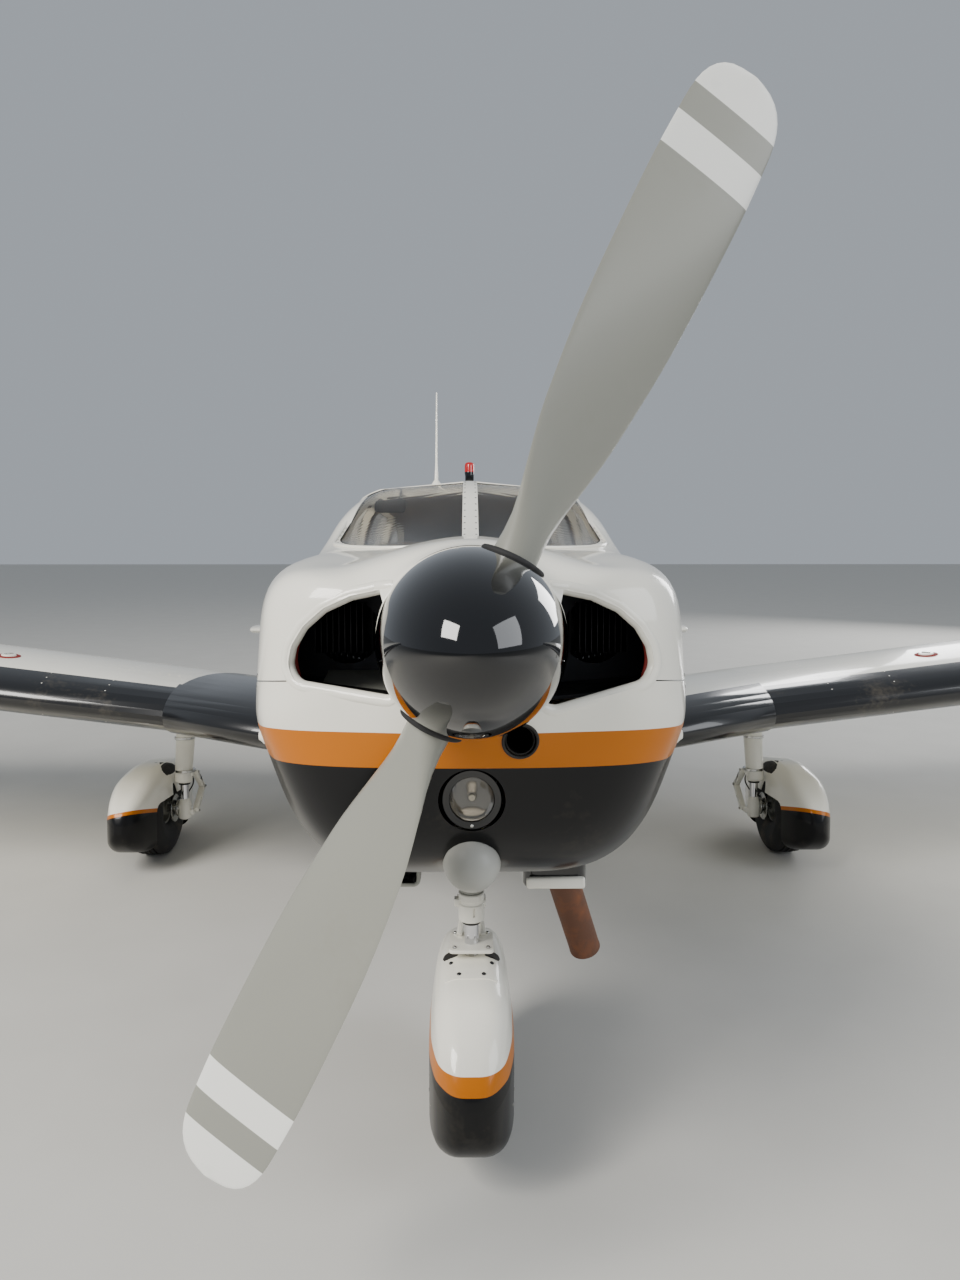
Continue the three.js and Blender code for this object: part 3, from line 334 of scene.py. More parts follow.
def swept(
    name: str,
    path: Sequence[Vector],
    radius: float | Callable[[float], float],
    sides: int = 12,
    flat: float = 1.0,
    closed: bool = False,
    up: Vector | None = None,
) -> bpy.types.Object:
    """Sweeps a round or flattened section along a path.

    Args:
        name: the piece's name.
        path: the path's points.
        radius: the section's radius, or a function of the fraction along the path.
        sides: points round the section.
        flat: the section's height as a fraction of its width.
        closed: whether the path is a loop.
        up: the direction that the section is flattened in, at the start.

    Returns:
        The object.
    """
    count = len(path)
    tangents = []
    for i in range(count):
        before = path[i - 1] if closed or i else path[0]
        after = path[(i + 1) % count] if closed or i + 1 < count else path[-1]
        tangents.append((after - before).normalized())
    normal = up or Vector((0, 0, 1)) if abs(tangents[0].z) < 0.9 else up or Vector((1, 0, 0))
    rings = []
    for i, tangent in enumerate(tangents):
        if i:
            normal = tangents[i - 1].rotation_difference(tangent) @ normal
        normal = (normal - tangent * normal.dot(tangent)).normalized()
        across = tangent.cross(normal)
        size = radius(i / (count - 1)) if callable(radius) else radius
        angles = [2 * math.pi * k / sides for k in range(sides)]
        rings.append([
            path[i] + across * size * math.cos(a) + normal * size * flat * math.sin(a)
            for a in angles
        ])
    if closed:
        rings.append(rings[0])
    return loft(name, rings, caps=not closed)


def slab(name: str, outline: Sequence[Point], along: str, low: float, high: float) -> bpy.types.Object:
    """A straight prism of a flat outline.

    Args:
        name: the piece's name.
        outline: points of (y, z), (x, z) or (x, y) for a prism along X, Y or Z.
        along: X, Y or Z.
        low: where it starts.
        high: where it ends.

    Returns:
        The object.
    """

    def place(point: Point, depth: float) -> Vector:
        """One outline point at a depth."""
        u, v = point
        return Vector({"X": (depth, u, v), "Y": (u, depth, v), "Z": (u, v, depth)}[along])

    return loft(name, [[place(p, low) for p in outline], [place(p, high) for p in outline]])


def box(name: str, low: Sequence[float], high: Sequence[float], bevel: float = 0.0) -> bpy.types.Object:
    """A block with rounded edges.

    Args:
        name: the piece's name.
        low: its lowest corner.
        high: its highest corner.
        bevel: the radius of its edges.

    Returns:
        The object.
    """
    outline = [
        Vector((low[0], low[1])), Vector((high[0], low[1])), Vector((high[0], high[1])),
        Vector((low[0], high[1])),
    ]
    made = slab(name, outline, "Z", low[2], high[2])
    if bevel:
        bevelled(made, bevel)
    return made


def applied(piece: bpy.types.Object) -> bpy.types.Object:
    """Turns a piece's modifiers into its mesh."""
    graph = bpy.context.evaluated_depsgraph_get()
    mesh = bpy.data.meshes.new_from_object(piece.evaluated_get(graph))
    piece.modifiers.clear()
    piece.data = mesh
    return piece


def bevelled(piece: bpy.types.Object, width: float, segments: int = 3, angle: float = 30) -> bpy.types.Object:
    """Rounds a piece's sharp edges.

    Args:
        piece: the piece.
        width: the bevel's width.
        segments: its steps.
        angle: edges sharper than this many degrees are rounded.

    Returns:
        The same piece.
    """
    bevel = piece.modifiers.new("round edges", "BEVEL")
    bevel.width = width
    bevel.segments = segments
    bevel.limit_method = "ANGLE"
    bevel.angle_limit = math.radians(angle)
    return applied(piece)


def subdivided(piece: bpy.types.Object, levels: int = 2) -> bpy.types.Object:
    """Smooths a cage into a fine surface."""
    smooth = piece.modifiers.new("smooth", "SUBSURF")
    smooth.levels = levels
    return applied(piece)


def thickened(
    piece: bpy.types.Object,
    thickness: float,
    inner_slot: int = 0,
    rim_slot: int = 0,
) -> bpy.types.Object:
    """Gives a skin its thickness, inward.

    Args:
        piece: the skin.
        thickness: the wall's thickness.
        inner_slot: the material slot of its inner face.
        rim_slot: the material slot of its rim.

    Returns:
        The same piece.
    """
    wall = piece.modifiers.new("wall", "SOLIDIFY")
    wall.thickness = thickness
    wall.offset = -1
    wall.use_even_offset = True
    wall.material_offset = inner_slot
    wall.material_offset_rim = rim_slot
    return applied(piece)


def joined(name: str, pieces: Sequence[bpy.types.Object]) -> bpy.types.Object:
    """Joins meshes into one piece, with all their materials.

    Args:
        name: the piece's name.
        pieces: the meshes, which are used up.

    Returns:
        The piece.
    """
    bm = bmesh.new()
    materials: list[bpy.types.Material] = []
    for piece in pieces:
        start = len(bm.faces)
        bm.from_mesh(piece.data)
        bm.faces.ensure_lookup_table()
        slots = []
        for material in piece.data.materials:
            if material not in materials:
                materials.append(material)
            slots.append(materials.index(material))
        for face in bm.faces[start:]:
            face.material_index = slots[face.material_index] if slots else 0
        bpy.data.objects.remove(piece)
    mesh = bpy.data.meshes.new(name)
    bm.to_mesh(mesh)
    bm.free()
    for material in materials:
        mesh.materials.append(material)
    made = bpy.data.objects.new(name, mesh)
    bpy.context.scene.collection.objects.link(made)
    return made


def copied(piece: bpy.types.Object, name: str, matrix: Matrix | None = None) -> bpy.types.Object:
    """Copies a piece's mesh.

    Args:
        piece: the piece.
        name: the copy's name.
        matrix: what the copy's mesh is moved by.

    Returns:
        The copy.
    """
    mesh = piece.data.copy()
    if matrix is not None:
        mesh.transform(matrix)
        if matrix.determinant() < 0:
            mesh.flip_normals()
    made = bpy.data.objects.new(name, mesh)
    bpy.context.scene.collection.objects.link(made)
    return made


MIRROR = Matrix.Scale(-1, 4, (1, 0, 0))


class Cut(Enum):
    """What a cutting solid does to a piece."""

    AWAY = "DIFFERENCE"
    KEEP = "INTERSECT"


def cut(piece: bpy.types.Object, tool: bpy.types.Object, kind: Cut = Cut.AWAY) -> bpy.types.Object:
    """Cuts a closed piece with a closed tool, which is used up.

    Args:
        piece: the piece.
        tool: the tool.
        kind: what the tool does.

    Returns:
        The same piece.
    """
    boolean = piece.modifiers.new("cut", "BOOLEAN")
    boolean.operation = kind.value
    boolean.solver = "EXACT"
    boolean.object = tool
    applied(piece)
    bpy.data.objects.remove(tool)
    return piece


def smooth_by_angle(piece: bpy.types.Object, angle: float = 32) -> bpy.types.Object:
    """Shades a piece smooth, apart from edges sharper than an angle in degrees."""
    piece.data.shade_smooth()
    piece.data.set_sharp_from_angle(angle=math.radians(angle))
    return piece


NEAR_SKIN = 0.002
SAME_WAY = 0.8


class SmoothSkin:
    """A fine smooth surface that cut pieces take their shading from."""

    def __init__(self, source: bpy.types.Object) -> None:
        """Reads the surface.

        Args:
            source: the uncut surface.
        """
        mesh = source.data
        self.points = [v.co.copy() for v in mesh.vertices]
        self.normals = [v.normal.copy() for v in mesh.vertices]
        self.faces = [tuple(p.vertices) for p in mesh.polygons]
        self.tree = BVHTree.FromPolygons(self.points, self.faces)

    def normal_at(self, point: Vector) -> Vector | None:
        """The surface's smooth normal nearest to a point, or None if it is over 2 mm off."""
        place, _, face, distance = self.tree.find_nearest(point)
        if place is None or distance > NEAR_SKIN:
            return None
        corners = self.faces[face]
        weights = [1 / (1e-5 + (self.points[k] - place).length) for k in corners]
        total = Vector((0, 0, 0))
        for k, weight in zip(corners, weights):
            total += self.normals[k] * weight
        return total.normalized()

    def on_side(self, y: float, z: float, side: float) -> Vector:
        """The point of the surface at a height and station, seen from one side."""
        hit = self.tree.ray_cast(Vector((side * 3, y, z)), Vector((-side, 0, 0)))[0]
        return hit if hit is not None else Vector((side * 0.5, y, z))

    def on_front(self, x: float, z: float) -> Vector:
        """The point of the surface straight behind a place ahead of it."""
        hit = self.tree.ray_cast(Vector((x, -2, z)), Vector((0, 1, 0)))[0]
        return hit if hit is not None else Vector((x, 0.15, z))

    def on_top(self, x: float, y: float) -> Vector:
        """The point of the surface straight below a place above it."""
        hit = self.tree.ray_cast(Vector((x, y, 5)), Vector((0, 0, -1)))[0]
        return hit if hit is not None else Vector((x, y, 1.4))

    def shade(self, piece: bpy.types.Object) -> None:
        """Gives a cut piece this surface's smooth shading wherever it lies on the surface.

        Args:
            piece: the cut piece.
        """
        mesh = piece.data
        mesh.shade_smooth()
        found: dict[int, Vector | None] = {}
        normals = []
        for polygon in mesh.polygons:
            flat = polygon.normal.copy()
            for k in polygon.vertices:
                if k not in found:
                    found[k] = self.normal_at(mesh.vertices[k].co)
                smooth = found[k]
                normals.append(smooth if smooth is not None and smooth.dot(flat) > SAME_WAY else flat)
        mesh.normals_split_custom_set(normals)


# Finishes


class Graph:
    """A short way to write shader nodes."""

    def __init__(self, tree: bpy.types.NodeTree) -> None:
        """Keeps the node tree."""
        self.tree = tree

    def add(self, kind: str, inputs: dict[str, object] | None = None, **settings: object) -> bpy.types.Node:
        """Adds a node.

        Args:
            kind: the node's type, without its ShaderNode prefix.
            inputs: values or sockets for its inputs.
            settings: its own settings.

        Returns:
            The node.
        """
        node = self.tree.nodes.new(kind if kind.startswith("Node") else "ShaderNode" + kind)
        for name, value in settings.items():
            setattr(node, name, value)
        for name, value in (inputs or {}).items():
            self.feed(node.inputs[name], value)
        return node

    def feed(self, socket: bpy.types.NodeSocket, value: object) -> None:
        """Links a socket to another, or sets its value."""
        if isinstance(value, bpy.types.NodeSocket):
            self.tree.links.new(value, socket)
        else:
            socket.default_value = value

    def math(self, operation: str, *values: object, clamp: bool = False) -> bpy.types.NodeSocket:
        """A math node's result."""
        node = self.add("Math", operation=operation, use_clamp=clamp)
        for socket, value in zip(node.inputs, values):
            self.feed(socket, value)
        return node.outputs[0]

    def blend(self, factor: object, first: object, second: object) -> bpy.types.NodeSocket:
        """Mixes two colours."""
        node = self.add("Mix", data_type="RGBA")
        for socket, value in zip((node.inputs[0], node.inputs[6], node.inputs[7]), (factor, first, second)):
            self.feed(socket, value)
        return node.outputs[2]

    def blend_value(self, factor: object, first: object, second: object) -> bpy.types.NodeSocket:
        """Mixes two numbers."""
        node = self.add("Mix", data_type="FLOAT")
        for socket, value in zip((node.inputs[0], node.inputs[2], node.inputs[3]), (factor, first, second)):
            self.feed(socket, value)
        return node.outputs[0]

    def step(self, value: object, edge: object, width: float = 0.0008) -> bpy.types.NodeSocket:
        """0 below an edge and 1 above it, with a crisp but soft step."""
        over = self.math("SUBTRACT", value, edge)
        return self.math("MULTIPLY_ADD", over, 1 / width, 0.5, clamp=True)


def colour(red: float, green: float, blue: float) -> tuple[float, float, float, float]:
    """A colour from screen values of 0 to 255."""

    def linear(value: float) -> float:
        """One screen value as light."""
        part = value / 255
        return part / 12.92 if part <= 0.04045 else ((part + 0.055) / 1.055) ** 2.4

    return (linear(red), linear(green), linear(blue), 1.0)


def effect_group(
    name: str,
    inputs: dict[str, float],
    outputs: Sequence[str],
    build: Callable[[Graph, bpy.types.Node, bpy.types.Node], None],
) -> bpy.types.NodeTree:
    """Builds a shared effect as a node group.

    Args:
        name: the effect's name.
        inputs: its inputs and their usual values; Vector is a vector.
        outputs: its outputs, all of them numbers.
        build: what makes its nodes, from its graph, input node and output node.

    Returns:
        The node group.
    """
    tree = bpy.data.node_groups.new(name, "ShaderNodeTree")
    tree.interface.new_socket("Vector", in_out="INPUT", socket_type="NodeSocketVector")
    for key, value in inputs.items():
        socket = tree.interface.new_socket(key, in_out="INPUT", socket_type="NodeSocketFloat")
        socket.default_value = value
    for key in outputs:
        tree.interface.new_socket(key, in_out="OUTPUT", socket_type="NodeSocketFloat")
    graph = Graph(tree)
    build(graph, graph.add("NodeGroupInput"), graph.add("NodeGroupOutput"))
    return tree


def build_peel(graph: Graph, given: bpy.types.Node, result: bpy.types.Node) -> None:
    """Orange peel and slow waves of a painted skin, as a height in metres."""
    fine = graph.add(
        "TexNoise", {"Vector": given.outputs["Vector"], "Scale": given.outputs["Scale"], "Detail": 1.0}
    )
    slow = graph.add("TexNoise", {"Vector": given.outputs["Vector"], "Scale": 2.2, "Detail": 1.0})
    fine_height = graph.math("MULTIPLY", fine.outputs[0], given.outputs["Fine"])
    height = graph.math("MULTIPLY_ADD", slow.outputs[0], given.outputs["Wave"], fine_height)
    graph.feed(result.inputs["Height"], height)


def build_grime(graph: Graph, given: bpy.types.Node, result: bpy.types.Node) -> None:
    """Broken patches of dust and stain, as a mask."""
    cloud = graph.add(
        "TexNoise", {"Vector": given.outputs["Vector"], "Scale": given.outputs["Scale"], "Detail": 7.0}
    )
    speck = graph.add("TexNoise", {"Vector": given.outputs["Vector"], "Scale": 60.0, "Detail": 3.0})
    both = graph.math("MULTIPLY_ADD", speck.outputs[0], 0.35, cloud.outputs[0])
    above = graph.math("SUBTRACT", both, given.outputs["Edge"])
    graph.feed(result.inputs["Mask"], graph.math("MULTIPLY", above, 3.0, clamp=True))


def build_grain(graph: Graph, given: bpy.types.Node, result: bpy.types.Node) -> None:
    """A pebbled grain, as of leather or moulded plastic, as a height and a mask."""
    cells = graph.add("TexVoronoi", {"Vector": given.outputs["Vector"], "Scale": given.outputs["Scale"]})
    cells.feature = "DISTANCE_TO_EDGE"
    folds = graph.add("TexNoise", {"Vector": given.outputs["Vector"], "Scale": 14.0, "Detail": 5.0})
    pebble = graph.math("MULTIPLY", cells.outputs["Distance"], 4.0, clamp=True)
    height = graph.math("MULTIPLY_ADD", folds.outputs[0], 0.8, pebble)
    graph.feed(result.inputs["Height"], height)
    graph.feed(result.inputs["Mask"], folds.outputs[0])


PEEL = effect_group("paint peel", {"Scale": 340.0, "Fine": 0.00001, "Wave": 0.0006}, ["Height"], build_peel)
GRIME = effect_group("grime", {"Scale": 5.0, "Edge": 0.72}, ["Mask"], build_grime)
GRAIN = effect_group("grain", {"Scale": 260.0}, ["Height", "Mask"], build_grain)


class Coat:
    """A new material with a Principled shader and its object coordinates."""

    def __init__(self, name: str, **values: object) -> None:
        """Makes the material.

        Args:
            name: its name.
            values: constants for the shader's own sockets, by name with _ for a space.
        """
        self.material = bpy.data.materials.new(name)
        self.material.use_nodes = True
        self.graph = Graph(self.material.node_tree)
        self.shader = self.material.node_tree.nodes["Principled BSDF"]
        for key, value in values.items():
            self.shader.inputs[key.replace("_", " ")].default_value = value
        self.place = self.graph.add("TexCoord").outputs["Object"]

    def group(self, tree: bpy.types.NodeTree, **values: object) -> bpy.types.Node:
        """Places a shared effect with its own values."""
        node = self.graph.add("Group", node_tree=tree)
        self.graph.feed(node.inputs["Vector"], self.place)
        for key, value in values.items():
            self.graph.feed(node.inputs[key], value)
        return node

    def set(self, name: str, value: object) -> None:
        """Feeds one of the shader's sockets."""
        self.graph.feed(self.shader.inputs[name], value)

    def bump(self, height: bpy.types.NodeSocket, distance: float = 1.0, strength: float = 1.0) -> None:
        """Feeds the shader's normal from a height."""
        values = {"Height": height, "Distance": distance, "Strength": strength}
        self.set("Normal", self.graph.add("Bump", values).outputs[0])


@dataclass(frozen=True)
class Band:
    """One painted band: everything below a height has this colour."""

    below: float
    colour: tuple[float, float, float, float]


CREAM = colour(241, 238, 226)
BLACK = colour(4, 4, 6)
GOLD = colour(188, 105, 0)
DUST = colour(150, 138, 116)


@dataclass(frozen=True)
class SkinPaint:
    """Gloss paint in level bands of colour, with clear coat, slow waves and a little dust."""

    name: str
    bands: tuple[Band, ...] = ()
    slope: float = 0.0
    base: tuple[float, float, float, float] = CREAM
    roughness: float = 0.3
    coat: float = 0.7
    peel: float = 0.00001
    wave: float = 0.0006
    dust: float = 0.10
    slope_end: float = 1.0
    lean: float = 0.0

    def material(self) -> bpy.types.Material:
        """Builds the material."""
        coat = Coat(self.name, Coat_Roughness=0.05, Specular_IOR_Level=0.22)
        graph = coat.graph
        split = graph.add("SeparateXYZ", {"Vector": coat.place})
        aft = graph.math("MINIMUM", split.outputs["Y"], self.slope_end)
        level = graph.math("MULTIPLY_ADD", aft, self.slope, split.outputs["Z"])
        height = graph.math("MULTIPLY_ADD", graph.math("ABSOLUTE", split.outputs["X"]), self.lean, level)
        paint: object = self.base
        gloss: object = self.coat
        for band in self.bands:
            above = graph.step(height, band.below)
            paint = graph.blend(above, band.colour, paint)
            gloss = graph.blend_value(above, self.coat * 0.25, gloss)
        coat.set("Coat Weight", gloss)
        grime = coat.group(GRIME, Scale=4.0, Edge=0.8).outputs["Mask"]
        weak = graph.math("MULTIPLY", grime, self.dust)
        coat.set("Base Color", graph.blend(weak, paint, DUST))
        coat.set("Roughness", graph.math("MULTIPLY_ADD", weak, 0.6, self.roughness))
        coat.bump(coat.group(PEEL, Fine=self.peel, Wave=self.wave).outputs["Height"])
        return coat.material


@dataclass(frozen=True)
class Metal:
    """Bare or plated metal with fine scratches and stains."""

    name: str
    tint: tuple[float, float, float, float] = colour(190, 190, 186)
    roughness: float = 0.25
    stain: float = 0.3
    scale: float = 18.0

    def material(self) -> bpy.types.Material:
        """Builds the material."""
        coat = Coat(self.name, Metallic=1.0)
        graph = coat.graph
        grime = coat.group(GRIME, Scale=self.scale, Edge=0.7).outputs["Mask"]
        weak = graph.math("MULTIPLY", grime, self.stain)
        coat.set("Base Color", graph.blend(weak, self.tint, colour(70, 62, 50)))
        coat.set("Roughness", graph.math("MULTIPLY_ADD", weak, 0.5, self.roughness))
        scratches = graph.add("TexNoise", {"Vector": coat.place, "Scale": 220.0, "Detail": 4.0})
        coat.bump(scratches.outputs[0], distance=0.00004)
        return coat.material


@dataclass(frozen=True)
class Plastic:
    """Moulded plastic, paint on small parts or rubber, with grain and dust."""

    name: str
    tint: tuple[float, float, float, float]
    roughness: float = 0.5
    grain: float = 300.0
    depth: float = 0.0001
    dust: float = 0.2
    coat: float = 0.0

    def material(self) -> bpy.types.Material:
        """Builds the material."""
        coat = Coat(self.name, Coat_Weight=self.coat, Coat_Roughness=0.1)
        graph = coat.graph
        grime = coat.group(GRIME, Scale=9.0, Edge=0.72).outputs["Mask"]
        weak = graph.math("MULTIPLY", grime, self.dust)
        coat.set("Base Color", graph.blend(weak, self.tint, colour(142, 130, 108)))
        coat.set("Roughness", graph.math("MULTIPLY_ADD", weak, 0.3, self.roughness))
        coat.bump(coat.group(GRAIN, Scale=self.grain).outputs["Height"], distance=self.depth)
        return coat.material


@dataclass(frozen=True)
class Leather:
    """Soft leather with a pebbled grain and worn patches."""

    name: str
    tint: tuple[float, float, float, float] = colour(168, 148, 118)

    def material(self) -> bpy.types.Material:
        """Builds the material."""
        coat = Coat(self.name, Sheen_Weight=0.15)
        graph = coat.graph
        grain = coat.group(GRAIN, Scale=420.0)
        worn = graph.blend(grain.outputs["Mask"], self.tint, colour(120, 102, 78))
        coat.set("Base Color", worn)
        coat.set("Roughness", graph.math("MULTIPLY_ADD", grain.outputs["Mask"], 0.25, 0.4))
        coat.bump(grain.outputs["Height"], distance=0.0004)
        return coat.material


@dataclass(frozen=True)
class Fabric:
    """Woven cloth or carpet."""

    name: str
    tint: tuple[float, float, float, float]
    threads: float = 900.0

    def material(self) -> bpy.types.Material:
        """Builds the material."""
        coat = Coat(self.name, Sheen_Weight=0.3, Roughness=0.9)
        graph = coat.graph
        wave = {"Vector": coat.place, "Scale": self.threads / 6.28, "Distortion": 1.0}
        warp = graph.add("TexWave", wave, bands_direction="Y").outputs["Fac"]
        weft = graph.add("TexWave", wave, bands_direction="Z").outputs["Fac"]
        weave = graph.math("MULTIPLY", warp, weft)
        coat.set("Base Color", graph.blend(weave, self.tint, tuple(v * 0.6 for v in self.tint[:3]) + (1.0,)))
        coat.bump(weave, distance=0.0003)
        return coat.material


@dataclass(frozen=True)
class Glass:
    """Clear acrylic or glass, thin enough to see the cabin through."""

    name: str
    tint: tuple[float, float, float, float] = colour(240, 236, 228)
    roughness: float = 0.02

    def material(self) -> bpy.types.Material:
        """Builds the material."""
        coat = Coat(self.name, Metallic=0.0, Roughness=self.roughness, Transmission_Weight=1.0, IOR=1.2)
        graph = coat.graph
        smear = coat.group(GRIME, Scale=3.0, Edge=0.8).outputs["Mask"]
        coat.set(
            "Base Color", graph.blend(graph.math("MULTIPLY", smear, 0.15), self.tint, colour(200, 196, 184))
        )
        return coat.material


@dataclass(frozen=True)
class Rust:
    """Heat-blued and rusted steel."""

    name: str

    def material(self) -> bpy.types.Material:
        """Builds the material."""
        coat = Coat(self.name)
        graph = coat.graph
        grime = coat.group(GRIME, Scale=24.0, Edge=0.62).outputs["Mask"]
        coat.set("Base Color", graph.blend(grime, colour(104, 72, 56), colour(132, 82, 52)))
        coat.set("Roughness", graph.math("MULTIPLY_ADD", grime, 0.25, 0.6))
        coat.set("Metallic", graph.math("MULTIPLY_ADD", grime, -0.4, 0.5))
        coat.bump(coat.group(GRAIN, Scale=500.0).outputs["Height"], distance=0.0002)
        return coat.material


STRIPE_LOW = 0.962
STRIPE_HIGH = 1.0275
LIVERY = (Band(STRIPE_HIGH, GOLD), Band(STRIPE_LOW, BLACK))
NOSE_LIVERY = (Band(0.330, GOLD), Band(0.2925, BLACK))
MAIN_LIVERY = (Band(1.212, GOLD), Band(1.194, BLACK))


class Paints:
    """Every finish of the aircraft, built once."""

    def __init__(self) -> None:
        """Builds the materials."""
        self.hull = SkinPaint("hull paint", LIVERY, slope=0.05).material()
        self.white = SkinPaint("cream paint").material()
        self.nose_fairing = SkinPaint("nose fairing paint", NOSE_LIVERY).material()
        self.main_fairing = SkinPaint(
            "main fairing paint", MAIN_LIVERY, 0.25, slope_end=9.0, lean=0.2
        ).material()
        self.black = SkinPaint(
            "black gloss", base=BLACK, roughness=0.12, coat=1.0, dust=0.03, wave=0.0
        ).material()
        self.spinner = SkinPaint(
            "spinner gloss", base=BLACK, roughness=0.04, coat=1.0, dust=0.0, peel=0.0, wave=0.0
        ).material()
        self.grey = SkinPaint("grey paint", base=colour(150, 150, 142), roughness=0.4, coat=0.2).material()
        self.steel = Metal("bare steel").material()
        self.chrome = Metal("chrome", colour(220, 220, 222), 0.06, 0.1).material()
        self.dark_metal = Metal("dark metal", colour(60, 60, 62), 0.45, 0.5).material()
        self.engine = Plastic("engine enamel", colour(46, 47, 48), 0.55, 200.0, 0.0002, 0.4).material()
        self.rubber = Plastic("rubber", colour(28, 28, 29), 0.75, 500.0, 0.0001, 0.35).material()
        self.seal = Plastic("red seal", colour(128, 30, 24), 0.7, 400.0, 0.0001, 0.4).material()
        self.trim = Plastic("dark trim", colour(34, 31, 29), 0.7, 380.0, 0.0002, 0.15).material()
        self.tan = Plastic("tan trim", colour(172, 152, 122), 0.65, 300.0, 0.0002, 0.1).material()
        self.lining = Fabric("headliner", colour(128, 104, 78)).material()
        self.carpet = Fabric("carpet", colour(66, 58, 50), 500.0).material()
        self.leather = Leather("seat leather").material()
        self.glass = Glass("acrylic").material()
        self.red_glass = Glass("red lens", colour(200, 12, 12), 0.08).material()
        self.rust = Rust("exhaust rust").material()
        self.walkway = Plastic("walkway grit", colour(24, 24, 25), 0.85, 700.0, 0.0006, 0.3).material()


def paint(piece: bpy.types.Object, *materials: bpy.types.Material) -> bpy.types.Object:
    """Gives a piece its materials, one a slot."""
    piece.data.materials.clear()
    for material in materials:
        piece.data.materials.append(material)
    return piece


def settle(
    piece: bpy.types.Object,
    body: Body,
    nodes: Sequence[str] = (),
    place: Matrix | None = None,
    smooth: float | None = 32,
) -> bpy.types.Object:
    """Puts a finished piece on its body.

    Args:
        piece: the piece.
        body: the body that it rides on.
        nodes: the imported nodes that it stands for.
        place: its place in the row frame, or None for the level airframe.
        smooth: the angle up to which its edges are shaded smooth, or None to leave its shading.

    Returns:
        The same piece.
    """
    if smooth is not None:
        smooth_by_angle(piece, smooth)
    piece.matrix_world = LEVEL if place is None else place
    bpy.context.view_layer.update()
    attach(piece, body.value)
    if nodes:
        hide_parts(*nodes)
    LOG.info("%s: %d faces on %s", piece.name, len(piece.data.polygons), body.value)
    return piece


# Fuselage

# Fuselage sections: y, bottom z, bottom corner x and radius, side z, x and radius, top corner z, x and
# radius, top z, how far the crown stands above the straight top, and how deep the valleys beside it are.
SECTIONS = [
    (0.230, 0.745, 0.285, 0.180, 1.030, 0.412, 0.160, 1.340, 0.392, 0.112, 1.348, 0.030, 0.026),
    (0.390, 0.678, 0.335, 0.220, 1.010, 0.455, 0.180, 1.352, 0.430, 0.120, 1.362, 0.030, 0.026),
    (0.530, 0.663, 0.370, 0.250, 1.000, 0.476, 0.200, 1.362, 0.450, 0.130, 1.373, 0.026, 0.020),
    (1.080, 0.618, 0.430, 0.220, 1.050, 0.546, 0.220, 1.388, 0.505, 0.150, 1.404, 0.014, 0.004),
    (1.460, 0.590, 0.470, 0.130, 1.200, 0.556, 0.150, 1.400, 0.525, 0.070, 1.418, 0.006, 0.0),
    (1.830, 0.578, 0.490, 0.100, 1.340, 0.562, 0.150, 1.452, 0.552, 0.110, 1.556, 0.0, 0.0),
    (2.110, 0.574, 0.496, 0.090, 1.345, 0.562, 0.150, 1.612, 0.540, 0.165, 1.684, 0.0, 0.0),
    (2.390, 0.572, 0.500, 0.090, 1.345, 0.562, 0.150, 1.710, 0.506, 0.210, 1.744, 0.0, 0.0),
    (2.900, 0.572, 0.500, 0.090, 1.340, 0.560, 0.150, 1.726, 0.470, 0.200, 1.800, 0.0, 0.0),
    (3.700, 0.590, 0.480, 0.100, 1.330, 0.545, 0.150, 1.692, 0.420, 0.150, 1.770, 0.0, 0.0),
    (4.350, 0.640, 0.410, 0.120, 1.290, 0.470, 0.150, 1.575, 0.345, 0.115, 1.660, 0.0, 0.0),
    (5.200, 0.730, 0.280, 0.120, 1.180, 0.320, 0.140, 1.345, 0.235, 0.110, 1.412, 0.0, 0.0),
    (6.200, 0.810, 0.145, 0.080, 1.060, 0.165, 0.100, 1.170, 0.125, 0.070, 1.205, 0.0, 0.0),
    (6.620, 0.850, 0.100, 0.060, 1.010, 0.115, 0.070, 1.110, 0.085, 0.050, 1.135, 0.0, 0.0),
]
COWL_BACK = 1.080
SPLIT_PLACE = Vector((0, 0.170, 1.110))
SPLIT_SLOPE = 0.1
SPLIT_UP = Vector((0, SPLIT_SLOPE, 1)).normalized()
# The inlets' outline but for its inner bottom corner: x, z. That corner's z is then given for each side.
INLET = (
    (0.316, 1.112), (0.331, 1.140), (0.324, 1.172), (0.301, 1.207), (0.264, 1.238), (0.215, 1.260),
    (0.165, 1.270), (0.120, 1.273),
)
INLET_CORNER = {1.0: (0.120, 1.063), -1.0: (0.120, 1.086)}
CABIN_BACK = 4.500
TAIL_BACK = 6.620
LAMP_Z = 0.892
INTAKE_X, INTAKE_Z, INTAKE_HOLE = 0.087, 1.0075, 0.031
STEER_Y = 0.700
PANES = {
    "front": (((2.050, 1.402), (2.440, 1.662), (2.690, 1.672), (2.690, 1.402)), 0.038),
    "middle": (((2.806, 1.402), (2.806, 1.672), (3.452, 1.650), (3.452, 1.402)), 0.048),
    "rear": (((3.546, 1.402), (3.546, 1.642), (3.800, 1.618), (4.130, 1.440), (4.112, 1.402)), 0.040),
}
DOOR_OUTLINE = ((1.972, 0.985), (1.972, 1.385), (2.430, 1.700), (2.800, 1.706), (2.800, 0.985))
BAGGAGE_OUTLINE = ((3.750, 0.900), (3.750, 1.300), (4.300, 1.290), (4.300, 0.900))


